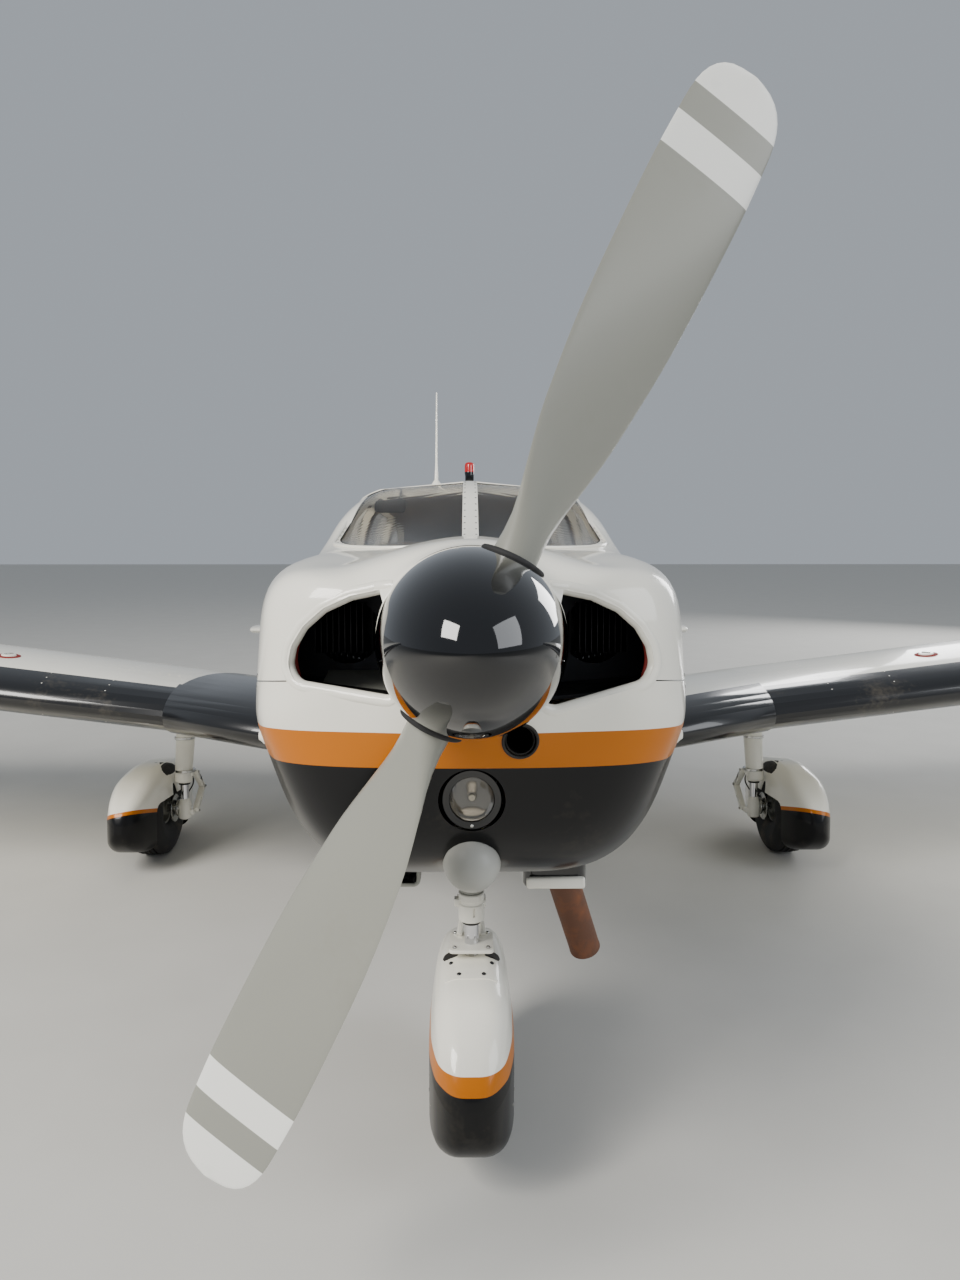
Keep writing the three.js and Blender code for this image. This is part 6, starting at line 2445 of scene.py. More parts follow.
@dataclass
class Nose:
    """What shows in, on and under the cowls."""

    paints: Paints
    smooth: SmoothSkin
    lamp_z: float = LAMP_Z
    intake_lip_radius: float = 0.0315
    split_screws: tuple[float, float, int] = (0.30, 0.052, 15)
    firewall_screws: tuple[float, float, int] = (0.72, 0.056, 12)
    latches: tuple[Point, ...] = ((0.50, 0.955), (0.80, 0.955))
    cylinders: tuple[Point, ...] = ((0.500, 1.195), (0.770, 1.195))
    fins: int = 11
    fin_start: float = 0.196
    fin_pitch: float = 0.0125
    fin_half: float = 0.074
    fin_thickness: float = 0.005
    vanes: int = 9
    vane_start: float = 0.220
    vane_pitch: float = 0.012

    def lamp(self) -> None:
        """The landing light: black bezel, chrome bowl, bulb and lens."""
        shell = [
            (0, 0.250), (0.055, 0.250), (0.0565, 0.246), (0.0565, 0.154), (0.054, 0.150), (0.0425, 0.1505),
            (0.0405, 0.154),
        ]
        shell += [(0.0400, 0.190), (0, 0.215)]
        bezel = paint(lathe("bezel", shell, "Y", 64), self.paints.black)
        curve = [(0.0403 * (1 - k / 12), 0.155 + 0.040 * math.sin(math.pi / 2 * k / 12)) for k in range(13)]
        bowl = curve + [(r, y + 0.002) for r, y in reversed(curve)]
        reflector = paint(lathe("reflector", bowl, "Y", 64), self.paints.chrome)
        bulb = paint(
            lathe(
                "bulb",
                [(0, 0.168), (0.006, 0.170), (0.009, 0.176), (0.008, 0.186), (0.005, 0.196), (0, 0.196)],
                "Y", 24,
            ),
            self.paints.glass,
        )
        cap = paint(
            lathe("cap", [(0, 0.165), (0.006, 0.165), (0.0065, 0.169), (0, 0.170)], "Y", 20),
            self.paints.steel,
        )
        lens = paint(
            lathe(
                "lens",
                [
                    (0, 0.1495), (0.025, 0.1505), (0.0415, 0.153), (0.0415, 0.1545), (0.025, 0.1525),
                    (0, 0.1515),
                ],
                "Y", 64,
            ),
            self.paints.glass,
        )
        for piece in (bezel, reflector, bulb, cap, lens):
            piece.data.transform(Matrix.Translation((0, 0, self.lamp_z)))
        heads = [(Vector((0, 0.150, self.lamp_z - 0.049)), Vector((0, -1, 0)))]
        screws = paint(studs("screws", heads, 0.003, 0.0015), self.paints.steel)
        settle(
            joined("landing_lamp", [bezel, reflector, bulb, cap, lens, screws]), Body.AIRFRAME,
            ["landing_light"],
        )

    def chin(self) -> None:
        """The worn fairing under the lamp, the exhaust shroud and the small outlet scoop."""
        profile = [
            (0, 0.0), (0.018, 0.006), (0.033, 0.022), (0.044, 0.05), (0.052, 0.10), (0.0565, 0.18),
            (0.058, 0.32), (0.058, 1), (0, 1),
        ]
        fairing = tube("chin_fairing", (0, 0.138, 0.766), (0, 0.640, 0.690), profile, 48)
        paint(
            fairing,
            SkinPaint(
                "worn chin paint", base=colour(168, 168, 162), roughness=0.5, coat=0.15, dust=0.9
            ).material(),
        )
        settle(fairing, Body.AIRFRAME, ["nose_leg_fairing"], smooth=50)
        outline = rounded([(0.118, 0.505), (0.262, 0.505), (0.262, 0.745), (0.118, 0.745)], 0.03)
        shroud = slab("shroud", outline, "Z", 0.600, 0.700)
        cut(shroud, rod("bore", (0.170, 0.560, 0.75), (0.230, 0.636, 0.50), 0.052))
        pieces = [paint(bevelled(shroud, 0.010), self.paints.black)]
        pieces.append(paint(
            box("lip", (0.124, 0.492, 0.606), (0.256, 0.510, 0.632), 0.006), self.paints.white
        ))
        scoop = box("scoop", (-0.192, 0.560, 0.590), (-0.118, 0.705, 0.680), 0.016)
        cut(scoop, box("mouth", (-0.182, 0.50, 0.598), (-0.128, 0.68, 0.640), 0.010))
        rim = rounded([(-0.187, 0.594), (-0.123, 0.594), (-0.123, 0.645), (-0.187, 0.645)], 0.012)
        edge = swept("edge", [Vector((p.x, 0.562, p.y)) for p in rim], 0.0045, 8, closed=True)
        pieces += [paint(scoop, self.paints.black), paint(edge, self.paints.grey)]
        settle(joined("chin_fittings", pieces), Body.AIRFRAME)

    def exhaust(self) -> None:
        """The stack pipe with its open, rolled end."""
        bend, end = Vector((0.170, 0.560, 0.740)), Vector((0.284, 0.704, 0.385))
        wall = [
            (0.0335, 0.02), (0.0335, 0.975), (0.0345, 0.992), (0.0365, 1.0), (0.0385, 0.996),
            (0.0385, 0.985), (0.038, 0.97), (0.038, 0.0),
        ]
        pipe = tube("pipe", bend, end, wall + wall[:1], 48)
        upper = tube(
            "upper", (0.170, 0.560, 0.955), bend + Vector((0, 0, -0.02)),
            [(0.037, 0), (0.037, 1), (0.034, 1), (0.034, 0), (0.037, 0)], 40,
        )
        clamp = tube(
            "clamp", bend.lerp(end, 0.36), bend.lerp(end, 0.40),
            [(0.036, 0), (0.043, 0.1), (0.043, 0.9), (0.036, 1)], 40,
        )
        for piece in (pipe, upper):
            paint(piece, self.paints.rust)
        paint(clamp, self.paints.dark_metal)
        settle(
            joined("exhaust_stack", [pipe, upper, clamp]), Body.AIRFRAME, ["exhaust_pipe"],
            smooth=40,
        )

    def cylinder(self, y: float, z: float) -> list[bpy.types.Object]:
        """One finned cylinder on the left side."""
        made = []
        for k in range(self.fins):
            x = self.fin_start + self.fin_pitch * k
            half = self.fin_half + 0.003 * (k > 6)
            outline = rounded(
                [(y - half, z - half), (y + half, z - half), (y + half, z + half), (y - half, z + half)],
                0.03, 4,
            )
            made.append(slab("fin", outline, "X", x, x + self.fin_thickness))
        barrel = rod("barrel", (0.17, y, z), (0.335, y, z), 0.058)
        cover = box("cover", (0.332, y - 0.062, z - 0.048), (0.368, y + 0.062, z + 0.062), 0.014)
        tubes = [
            rod("tube", (0.17, y + off, z - 0.082), (0.345, y + off, z - 0.045), 0.010)
            for off in (-0.025, 0.025)
        ]
        plug = rod("plug", (0.322, y, z + 0.066), (0.352, y, z + 0.098), 0.009, sides=12)
        lead_path = [
            (0.350, y, z + 0.095), (0.30, y + 0.05, z + 0.105), (0.18, y + 0.09, z + 0.10),
            (0.09, 0.93, z + 0.085),
        ]
        lead = swept("lead", curve_through(lead_path, 8), 0.0042, 8)
        made = [paint(piece, self.paints.engine) for piece in (*made, barrel)]
        made += [paint(cover, self.paints.grey), paint(plug, self.paints.steel)]
        return made + [paint(piece, self.paints.steel) for piece in tubes] + [paint(lead, self.paints.trim)]

    def engine(self) -> None:
        """The flat-four engine, its sump, baffles and seals."""
        case = box("case", (-0.165, 0.300, 1.000), (0.165, 1.000, 1.270), 0.03)
        snout = tube(
            "snout", (0, 0.345, THRUST_Z), (0, 0.292, THRUST_Z),
            [(0, 0), (0.12, 0), (0.085, 0.6), (0.060, 1), (0, 1)],
        )
        sump = box("sump", (-0.150, 0.400, 0.962), (0.150, 0.900, 1.010), 0.02)
        filter_can = rod("filter", (0.05, 0.99, 1.16), (0.05, 1.074, 1.16), 0.045)
        pieces = [
            paint(piece, self.paints.engine)
            for piece in (case, snout, sump)
        ] + [paint(filter_can, self.paints.grey)]
        for y, z in self.cylinders:
            for piece in self.cylinder(y, z):
                pieces.append(copied(piece, "other_side", MIRROR))
                pieces.append(piece)
        for _, side in SIDES:
            floor_line = [
                (side * 0.10, 1.075), (side * 0.335, 1.095), (side * 0.335, 1.088), (side * 0.10, 1.068)
            ]
            pieces.append(paint(slab("floor", floor_line, "Y", 0.185, 0.42), self.paints.dark_metal))
            back = rounded(
                [(side * 0.175, 1.07), (side * 0.372, 1.10), (side * 0.372, 1.285), (side * 0.175, 1.290)],
                0.03,
            )
            wall = slab("back_wall", back, "Y", 0.412, 0.416)
            cut(wall, rod("window", (side * 0.26, 0.3, 1.19), (side * 0.26, 0.5, 1.19), 0.068))
            pieces.append(paint(wall, self.paints.dark_metal))
            for k in range(self.vanes):
                x = side * (self.vane_start + self.vane_pitch * k)
                pieces.append(paint(
                    box("vane", (x - 0.001, 0.330, 1.150), (x + 0.001, 0.405, 1.252 - 0.0015 * k), 0.0004),
                    self.paints.dark_metal,
                ))
            seal_path = [
                (side * 0.322, 0.20, 1.10), (side * 0.334, 0.21, 1.15), (side * 0.322, 0.22, 1.20),
                (side * 0.285, 0.24, 1.245),
            ]
            pieces.append(paint(swept("seal", curve_through(seal_path, 8), 0.006, 8), self.paints.seal))
        ramp = slab("ramp", [(0.24, 1.066), (0.40, 1.105), (0.40, 1.110), (0.24, 1.073)], "X", -0.30, -0.16)
        pieces.append(paint(ramp, self.paints.grey))
        wall = [(0.0245, 0), (0.027, 0), (0.027, 1), (0, 1), (0, 0.96), (0.0245, 0.94), (0.0245, 0)]
        duct = tube("duct", (INTAKE_X, 0.120, INTAKE_Z), (INTAKE_X, 0.330, 1.004), wall)
        pieces.append(paint(duct, self.paints.trim))
        settle(joined("engine_and_baffles", pieces), Body.AIRFRAME, ["engine_block"])

    def intake_lip(self) -> None:
        """The ring round the small intake under the spinner."""
        path = []
        for k in range(40):
            angle = 2 * math.pi * k / 40
            across, up = self.intake_lip_radius * math.cos(angle), self.intake_lip_radius * math.sin(angle)
            path.append(self.smooth.on_front(INTAKE_X + across, INTAKE_Z + up))
        settle(
            paint(swept("intake_lip", path, 0.0028, 8, closed=True), self.paints.trim), Body.AIRFRAME,
        )

    def fasteners(self) -> None:
        """Screws along the cowl split and the firewall, and two latches a side."""
        heads = []
        for _, side in SIDES:
            start, gap, count = self.split_screws
            for k in range(count):
                y = start + gap * k
                z = SPLIT_PLACE.z - SPLIT_SLOPE * (y - SPLIT_PLACE.y)
                for off in (-0.012, 0.012):
                    heads.append(cast(self.smooth, (side * 2, y, z + off), (-side, 0, 0)))
            start, gap, count = self.firewall_screws
            for k in range(count):
                z = start + gap * k
                for y in (COWL_BACK - 0.014, COWL_BACK + 0.014):
                    heads.append(cast(self.smooth, (side * 2, y, z), (-side, 0, 0)))
        pieces = [paint(studs("screws", heads, 0.0042, 0.0013, 10), self.paints.steel)]
        for _, side in SIDES:
            for y, z in self.latches:
                hit, _ = cast(self.smooth, (side * 2, y, z), (-side, 0, 0))
                knob = [
                    (0, 0), (0.021, 0), (0.021, 0.05), (0.019, 0.4), (0.013, 0.7), (0.010, 0.95),
                    (0.006, 1), (0, 1),
                ]
                latch = tube(
                    "latch", hit - Vector((side * 0.004, 0, 0)), hit + Vector((side * 0.016, 0, 0)), knob,
                    28,
                )
                pieces.append(paint(latch, self.paints.white))
        settle(joined("cowl_fasteners", pieces), Body.AIRFRAME)

    def build(self) -> None:
        """Builds and settles the nose fittings."""
        self.lamp()
        self.chin()
        self.exhaust()
        self.engine()
        self.intake_lip()
        self.fasteners()


@dataclass
class Cabin:
    """Panel, yokes, seats and trim seen through the glass."""

    paints: Paints
    smooth: SmoothSkin
    panel_front: float = 1.732
    panel_back: float = 1.789
    trim_inset: float = 0.046
    dial_x: float = 0.165
    dial_z: float = 1.275
    dial_pitch: float = 0.095
    dial_radius: float = 0.040
    radio_z: float = 1.285
    radio_pitch: float = 0.058
    yoke_x: float = 0.245
    yoke_z: float = 1.180
    seat_x: float = 0.2475
    seam_x: float = 0.105
    seam_depth: float = 0.007
    seam_width: float = 0.006
    voxel: float = 0.006
    pressure: float = 4.0
    cloth_frames: int = 20

    def inner_x(self, y: float, z: float) -> float:
        """Half the room's width at a station and height."""
        return self.smooth.on_side(y, z, 1).x - self.trim_inset

    def dial(self, x: float, z: float, radius: float) -> list[bpy.types.Object]:
        """A round gauge with ticks and a pointer, facing aft."""
        y = self.panel_back
        ring = [
            (radius, 0), (radius, 0.006), (radius * 0.93, 0.009), (radius * 0.86, 0.0085),
            (radius * 0.84, 0.003), (0, 0.003), (0, 0),
        ]
        body = lathe("dial", ring, "Y", 36)
        body.data.transform(Matrix.Translation((x, y, z)))
        ticks = []
        for k in range(12):
            angle = 2 * math.pi * k / 12
            ticks.append((
                Vector((x + radius * 0.70 * math.cos(angle), y + 0.003, z + radius * 0.70 * math.sin(angle))),
                Vector((0, 1, 0)),
            ))
        marks = paint(studs("ticks", ticks, 0.0018, 0.0008, 6), self.paints.white)
        pointer = slab(
            "pointer",
            [(-0.0015, -0.008), (0.0015, -0.008), (0.0008, radius * 0.6), (-0.0008, radius * 0.6)], "Y",
            0.003, 0.0048,
        )
        pointer.data.transform(Matrix.Translation((x, y, z)) @ Matrix.Rotation(x * 9 + z * 5, 4, "Y"))
        return [paint(body, self.paints.trim), marks, paint(pointer, self.paints.white)]

    def panel(self) -> None:
        """The instrument panel with gauges, radios and controls, under its glare shield."""
        heights = [1.014, 1.10, 1.20, 1.28, 1.338]
        right = [Vector((self.inner_x(1.76, z) - 0.002, z)) for z in heights]
        outline = right + [Vector((-p.x, p.y)) for p in reversed(right)]
        board = bevelled(slab("board", outline, "Y", self.panel_front, self.panel_back - 0.003), 0.003, 2)
        pieces = [paint(board, self.paints.tan)]
        stations = [1.505 + 0.064 * k for k in range(6)]
        edge = [Vector((self.inner_x(y, 1.353) - 0.003, y)) for y in stations]
        plan = edge + [Vector((-p.x, p.y)) for p in reversed(edge)]
        shield = slab("shield", plan, "Z", 1.3405, 1.3655)
        pieces.append(paint(bevelled(shield, 0.009, 4), self.paints.trim))
        pedestal = box("pedestal", (-0.125, 1.505, 0.66), (0.125, 1.785, 1.016), 0.015)
        pieces.append(paint(pedestal, self.paints.trim))
        for side in (1, -1):
            for column in range(3):
                for row in range(2):
                    x = side * (self.dial_x + self.dial_pitch * column)
                    pieces += self.dial(x, self.dial_z - self.dial_pitch * row, self.dial_radius)
        for k in range(4):
            low = self.radio_z - self.radio_pitch * k
            pieces.append(paint(
                box("radio", (-0.085, 1.780, low - 0.024), (0.085, 1.797, low + 0.024), 0.003),
                self.paints.trim,
            ))
            pieces.append(paint(
                box("screen", (-0.050, 1.796, low - 0.012), (0.050, 1.7985, low + 0.014), 0.001),
                self.paints.glass,
            ))
            for x in (-0.070, 0.070):
                pieces.append(paint(
                    rod("knob", (x, 1.796, low), (x, 1.812, low), 0.008, sides=16), self.paints.grey
                ))
        for k in range(8):
            x = 0.16 + 0.028 * k
            pieces.append(paint(
                box("switch", (x - 0.006, 1.785, 1.045), (x + 0.006, 1.799, 1.070), 0.002),
                self.paints.white,
            ))
            pieces.append(paint(
                rod("breaker", (-x, 1.785, 1.055), (-x, 1.797, 1.055), 0.006, sides=12), self.paints.trim
            ))
        for k, tint in enumerate((self.paints.trim, self.paints.seal, self.paints.white)):
            x = -0.03 + 0.03 * k
            pieces.append(paint(rod("lever", (x, 1.785, 1.035), (x, 1.828, 1.045), 0.003), self.paints.steel))
            pieces.append(paint(rod("lever_knob", (x, 1.822, 1.044), (x, 1.836, 1.047), 0.010, 0.004), tint))
        settle(joined("panel_and_shield", pieces), Body.AIRFRAME, ["instrument_panel"])

    def yokes(self) -> None:
        """A control yoke for each pilot."""
        for word, side in SIDES:
            x, z = side * self.yoke_x, self.yoke_z
            shaft = rod("shaft", (x, 1.7905, z), (x, 1.980, z), 0.0125)
            hub = box("hub", (x - 0.046, 1.972, z - 0.036), (x + 0.046, 1.9965, z + 0.008), 0.009)
            pieces = [paint(shaft, self.paints.steel), paint(hub, self.paints.trim)]
            for turn in (-1, 1):
                path = [
                    (0.030, 0.0), (0.075, -0.010), (0.112, -0.026), (0.126, -0.004), (0.131, 0.040),
                    (0.134, 0.078), (0.136, 0.100),
                ]
                points = curve_through([(x + turn * u, 1.985, z - 0.014 + v) for u, v in path], 5)
                grip = swept("grip", points, lambda t: 0.0095 + 0.003 * min(max(t * 4 - 1.6, 0), 1), 14, 0.8)
                pieces.append(paint(grip, self.paints.trim))
                pieces.append(paint(
                    rod(
                        "button", (x + turn * 0.136, 1.985, z + 0.084),
                        (x + turn * 0.136, 1.985, z + 0.092), 0.006,
                    ),
                    self.paints.seal,
                ))
            settle(joined(f"control_yoke_{word}", pieces), Body.AIRFRAME, [f"yoke_{word}"])

    def pad(
        self,
        name: str,
        width: float,
        length: float,
        height: float,
        channels: Sequence[float],
    ) -> tuple[bpy.types.Object, bpy.types.Object]:
        """A padded cushion about the origin, inflated by a short cloth simulation.

        Args:
            name: the piece's name.
            width: its size along X.
            length: its size along Y.
            height: its size along Z.
            channels: where across it seams are sewn in, as X.

        Returns:
            The fine cushion and a plainer one of the same shape.
        """
        steps, points = 18, []
        for up in (1, -1):
            for i in range(steps + 1):
                for j in range(steps + 1):
                    u, v = 2 * i / steps - 1, 2 * j / steps - 1
                    x = u * math.sqrt(1 - 0.18 * v * v) * (1 - 0.035 * (1 - v * v))
                    y = v * math.sqrt(1 - 0.18 * u * u) * (1 - 0.035 * (1 - u * u))
                    rise = ((1 - abs(u) ** 5) * (1 - abs(v) ** 5)) ** 0.5
                    crown = 1 + 0.35 * (1 - u * u) * (1 - v * v) if up > 0 else 0.8
                    points.append(Vector((x * width / 2, y * length / 2, up * height * 0.37 * rise * crown)))
        soft = make(name, points, plate_faces(steps, steps, rim=False))
        mesh_again = soft.modifiers.new("even mesh", "REMESH")
        mesh_again.mode = "VOXEL"
        mesh_again.voxel_size = self.voxel
        applied(soft)
        self.inflate(soft)
        plain = copied(soft, f"{name}_plain")
        fine = subdivided(soft, 1)
        for piece in (fine, plain):
            for vertex in piece.data.vertices:
                if vertex.co.z > 0:
                    for seam in channels:
                        off = (vertex.co.x - seam) / self.seam_width
                        vertex.co.z -= self.seam_depth * math.exp(-(off**2))
            paint(piece, self.paints.leather)
        return fine, plain

    def inflate(self, soft: bpy.types.Object, limit: float = 0.022) -> None:
        """Swells a cushion with a cloth simulation and caps how far its points move.

        Args:
            soft: the cushion.
            limit: the farthest that a point may move.
        """
        start = [vertex.co.copy() for vertex in soft.data.vertices]
        cloth = soft.modifiers.new("cloth", "CLOTH")
        settings = cloth.settings
        settings.quality = 4
        settings.use_pressure = True
        settings.uniform_pressure_force = self.pressure
        settings.effector_weights.gravity = 0
        scene = bpy.context.scene
        for frame_number in range(1, self.cloth_frames + 1):
            scene.frame_set(frame_number)
        graph = bpy.context.evaluated_depsgraph_get()
        swollen = [vertex.co.copy() for vertex in soft.evaluated_get(graph).data.vertices]
        soft.modifiers.clear()
        for vertex, first, last in zip(soft.data.vertices, start, swollen):
            move = last - first
            vertex.co = first + move * min(1.0, limit / max(move.length, 1e-9))
        scene.frame_set(1)

    def seats(self) -> None:
        """Four seats: a hard frame each, with a seat and a back cushion."""
        seams = (-self.seam_x, self.seam_x)
        cushion = self.pad("seat_cushion", 0.370, 0.450, 0.082, seams)
        back = self.pad("back_cushion", 0.366, 0.560, 0.074, seams)
        lean = Vector((0.140, 0.610)).angle(Vector((0, 1)))
        shell_line = [
            (0.012, 0.806), (0.100, 0.794), (0.520, 0.794), (0.596, 0.864), (0.714, 1.484), (0.690, 1.489),
            (0.570, 0.885), (0.500, 0.838), (0.012, 0.846),
        ]
        plinth_line = [(0.120, 0.645), (0.475, 0.645), (0.512, 0.792), (0.108, 0.792)]
        for place, front, pads in (("front", 2.180, 0), ("rear", 3.080, 1)):
            for word, side in SIDES:
                shell = slab(
                    "shell", rounded([(front + y, z) for y, z in shell_line], 0.020, 5), "X", 0.046, 0.449
                )
                plinth = slab(
                    "plinth", rounded([(front + y, z) for y, z in plinth_line], 0.020, 4), "X", 0.092, 0.418
                )
                hard = [
                    paint(bevelled(shell, 0.008), self.paints.leather),
                    paint(bevelled(plinth, 0.006, 2), self.paints.trim),
                ]
                for x in (0.115, 0.395):
                    hard.append(paint(
                        box(
                            "rail", (x - 0.012, front + 0.06, 0.615), (x + 0.012, front + 0.52, 0.648),
                            0.004,
                        ),
                        self.paints.steel,
                    ))
                whole = joined(f"seat_frame_{place}_{word}", hard)
                if side < 0:
                    mirrored = copied(whole, f"seat_frame_{place}_{word}_half", MIRROR)
                    bpy.data.objects.remove(whole)
                    whole = mirrored
                settle(whole, Body.AIRFRAME, [f"seat_{place}_{word}"])
                x = side * self.seat_x
                low = Matrix.Translation((x, front + 0.248, 0.874)) @ Matrix.Rotation(-0.085, 4, "X")
                upright = Matrix.Rotation(math.pi / 2 - lean, 4, "X")
                high = Matrix.Translation((x, front + 0.592, 1.190)) @ upright
                for source, matrix, part in ((cushion, low, "seat"), (back, high, "back")):
                    piece = copied(source[pads], f"{part}_pad_{place}_{word}", matrix)
                    settle(piece, Body.AIRFRAME, smooth=60)
        for piece in (*cushion, *back):
            bpy.data.objects.remove(piece)

    def wall_sheet(
        self,
        name: str,
        side: float,
        ys: tuple[float, float],
        zs: tuple[float, float],
    ) -> bpy.types.Object:
        """A trim panel that follows the cabin wall."""
        rows, columns = 10, 16
        points = []
        for depth in (0.0, 0.006):
            for i in range(columns + 1):
                for j in range(rows + 1):
                    y, z = ys[0] + (ys[1] - ys[0]) * i / columns, zs[0] + (zs[1] - zs[0]) * j / rows
                    points.append(Vector((side * (self.inner_x(y, z) + 0.006 - depth), y, z)))
        return paint(make(name, points, plate_faces(columns, rows)), self.paints.tan)

    def trim(self) -> None:
        """Wall panels, armrests, sun visors and carpet."""
        fixed = [
            self.wall_sheet("left_wall", 1, (1.86, 4.20), (0.74, 1.375)),
            self.wall_sheet("right_wall", -1, (2.84, 3.70), (0.74, 1.375)),
        ]
        rest = box("rest", (0.470, 2.10, 0.985), (0.512, 2.62, 1.020), 0.012)
        door_pieces = [self.wall_sheet("door_wall", -1, (2.02, 2.76), (1.02, 1.375))]
        door_rest = copied(rest, "door_rest", Matrix.Translation((0, 0.02, 0.06)) @ MIRROR)
        door_pieces.append(paint(door_rest, self.paints.tan))
        handle = rod("pull", (-0.505, 2.62, 1.17), (-0.505, 2.72, 1.17), 0.008)
        door_pieces.append(paint(handle, self.paints.steel))
        fixed.append(paint(rest, self.paints.tan))
        for _, side in SIDES:
            visor = slab(
                "visor",
                rounded(
                    [
                        (side * 0.27, 1.600), (side * 0.405, 1.600), (side * 0.395, 1.655),
                        (side * 0.27, 1.665),
                    ],
                    0.02,
                ),
                "Y", 2.285, 2.297,
            )
            fixed.append(paint(bevelled(visor, 0.004, 2), self.paints.trim))
            arm = rod("arm", (side * 0.30, 2.291, 1.655), (side * 0.29, 2.33, 1.700), 0.005)
            fixed.append(paint(arm, self.paints.steel))
        carpet = box("carpet", (-0.43, 1.40, 0.612), (0.43, 3.62, 0.621), 0.003)
        fixed.append(paint(carpet, self.paints.carpet))
        settle(joined("cabin_trim", fixed), Body.AIRFRAME)
        settle(joined("door_trim", door_pieces), Body.DOOR)

    def build(self) -> None:
        """Builds and settles the cabin."""
        self.panel()
        self.yokes()
        self.seats()
        self.trim()


@dataclass
class Tail:
    """The fin, rudder, tailplane and servo tab."""

    paints: Paints
    rudder: tuple[float, float, float, float, float, float] = (1.140, 6.740, 2.140, 6.958, 0.044, 0.024)
    tip: float = 1.960
    front: float = 6.350
    chord: float = 0.760
    tail_z: float = 0.930
    tab_tip: float = 1.850
    tab_fraction: float = 0.84
    tab_nose: float = 0.017
    nose_gap: float = 0.006
    fin_sections: tuple[tuple[float, float, float, float], ...] = (
        (1.040, 5.866, 7.150, 0.075),
        (2.140, 6.634, 7.292, 0.075),
        (2.220, 6.700, 7.290, 0.070),
        (2.240, 6.790, 7.240, 0.030),
    )

    def rudder_space(self, grow: float) -> bpy.types.Object:
        """What the rudder fills: a round nose about its hinge line and everything aft."""
        low, low_y, high, high_y, nose_low, nose_high = self.rudder
        slope = (high_y - low_y) / (high - low)
        rings = []
        for z, nose, past in ((low, nose_low, -grow), (high, nose_high, grow)):
            flat = nosed_outline(nose + grow)
            centre_y = low_y + (z - low + past) * slope
            rings.append([Vector((across, centre_y + aft, z + past)) for aft, across in flat])
        return loft("rudder_space", rings)

    def hinge_y(self, z: float) -> float:
        """About where the rudder's hinge line lies at a height."""
        return self.rudder[1] + (z - self.rudder[0]) * 0.218

    def fin_and_rudder(self, hull: SmoothSkin) -> None:
        """The fin with its dorsal fillet, and the rudder."""
        rings = []
        heights = [1.04 + 0.1 * k for k in range(12)] + [2.17, 2.20, 2.22, 2.232, 2.24]
        for z in heights:
            _, leading, trailing, thickness = row_at(self.fin_sections, min(z, 2.24))
            chord = trailing - leading
            rings.append([Vector((v * chord, leading + u * chord, z)) for u, v in aerofoil(thickness, 0.0)])
        whole = loft("fin_body", rings)
        smooth = SmoothSkin(whole)
        rudder = cut(copied(whole, "rudder_skin"), self.rudder_space(0), Cut.KEEP)
        cut(whole, self.rudder_space(self.nose_gap))
        cut(whole, box("below", (-0.3, 6.600, 0.9), (0.3, 7.6, 1.140)))
        smooth.shade(rudder)
        smooth.shade(whole)
        paint(whole, self.paints.white)
        paint(rudder, self.paints.white)
        settle(whole, Body.AIRFRAME, ["fin"], smooth=None)
        beads = self.rudder_beads(smooth)
        settle(rudder, Body.RUDDER, ["rudder"], smooth=None)
        settle(paint(beads, self.paints.white), Body.RUDDER)
        self.fillet(hull)
        self.fin_rivets(smooth)

    def rudder_beads(self, smooth: SmoothSkin) -> bpy.types.Object:
        """The pressed beads across both sides of the rudder."""
        beads = []
        for side in (-1, 1):
            for k in range(9):
                z = 1.20 + 0.10 * k
                _, _, trailing, _ = row_at(self.fin_sections, z)
                start = self.hinge_y(z) + 0.03
                path = []
                for m in range(13):
                    y = start + (trailing - 0.035 - start) * m / 12
                    hit, normal = cast(smooth, (side, y, z), (-side, 0, 0))
                    path.append(hit - normal * 0.0008)
                beads.append(swept(
                    "bead", path, lambda t: 0.0005 + 0.0035 * math.sin(math.pi * t) ** 0.3, 8, 0.8
                ))
        return joined("rudder_beads", beads)

    def fillet(self, hull: SmoothSkin) -> None:
        """The low ridge that leads from the hull's top up to the fin."""
        front, back, half = 5.262, 6.35, 0.0125
        ridge = []
        for k in range(13):
            t = k / 12
            y = front + (back - front) * t
            top = 1.415 + 0.085 * min(1, (y - front) / 0.918) + 0.25 * max(0, y - 6.0) ** 2
            foot = hull.on_top(0, y).z - 0.03
            waist = foot + (top - foot) * 0.6
            right = [(half, foot), (half * 0.55, waist), (half * 0.2, top)]
            outline = [(-half, foot), *right, *((-x, z) for x, z in reversed(right[1:]))]
            ridge.append([Vector((x, y, z)) for x, z in outline])
        settle(paint(loft("dorsal_fillet", ridge), self.paints.white), Body.AIRFRAME, smooth=40)

    def fin_rivets(self, smooth: SmoothSkin) -> None:
        """The rivets along the fin's front edge and its rear spar."""
        rivets = []
        for side in (-1, 1):
            for k in range(30):
                z = 1.24 + 0.03 * k
                _, leading, _, _ = row_at(self.fin_sections, z)
                for y in (leading + 0.10, self.hinge_y(z) - 0.09):
                    rivets.append(cast(smooth, (side, y, z), (-side, 0, 0)))
        settle(
            paint(studs("fin_rivets", rivets, 0.0032, 0.0008), self.paints.white), Body.AIRFRAME,
        )

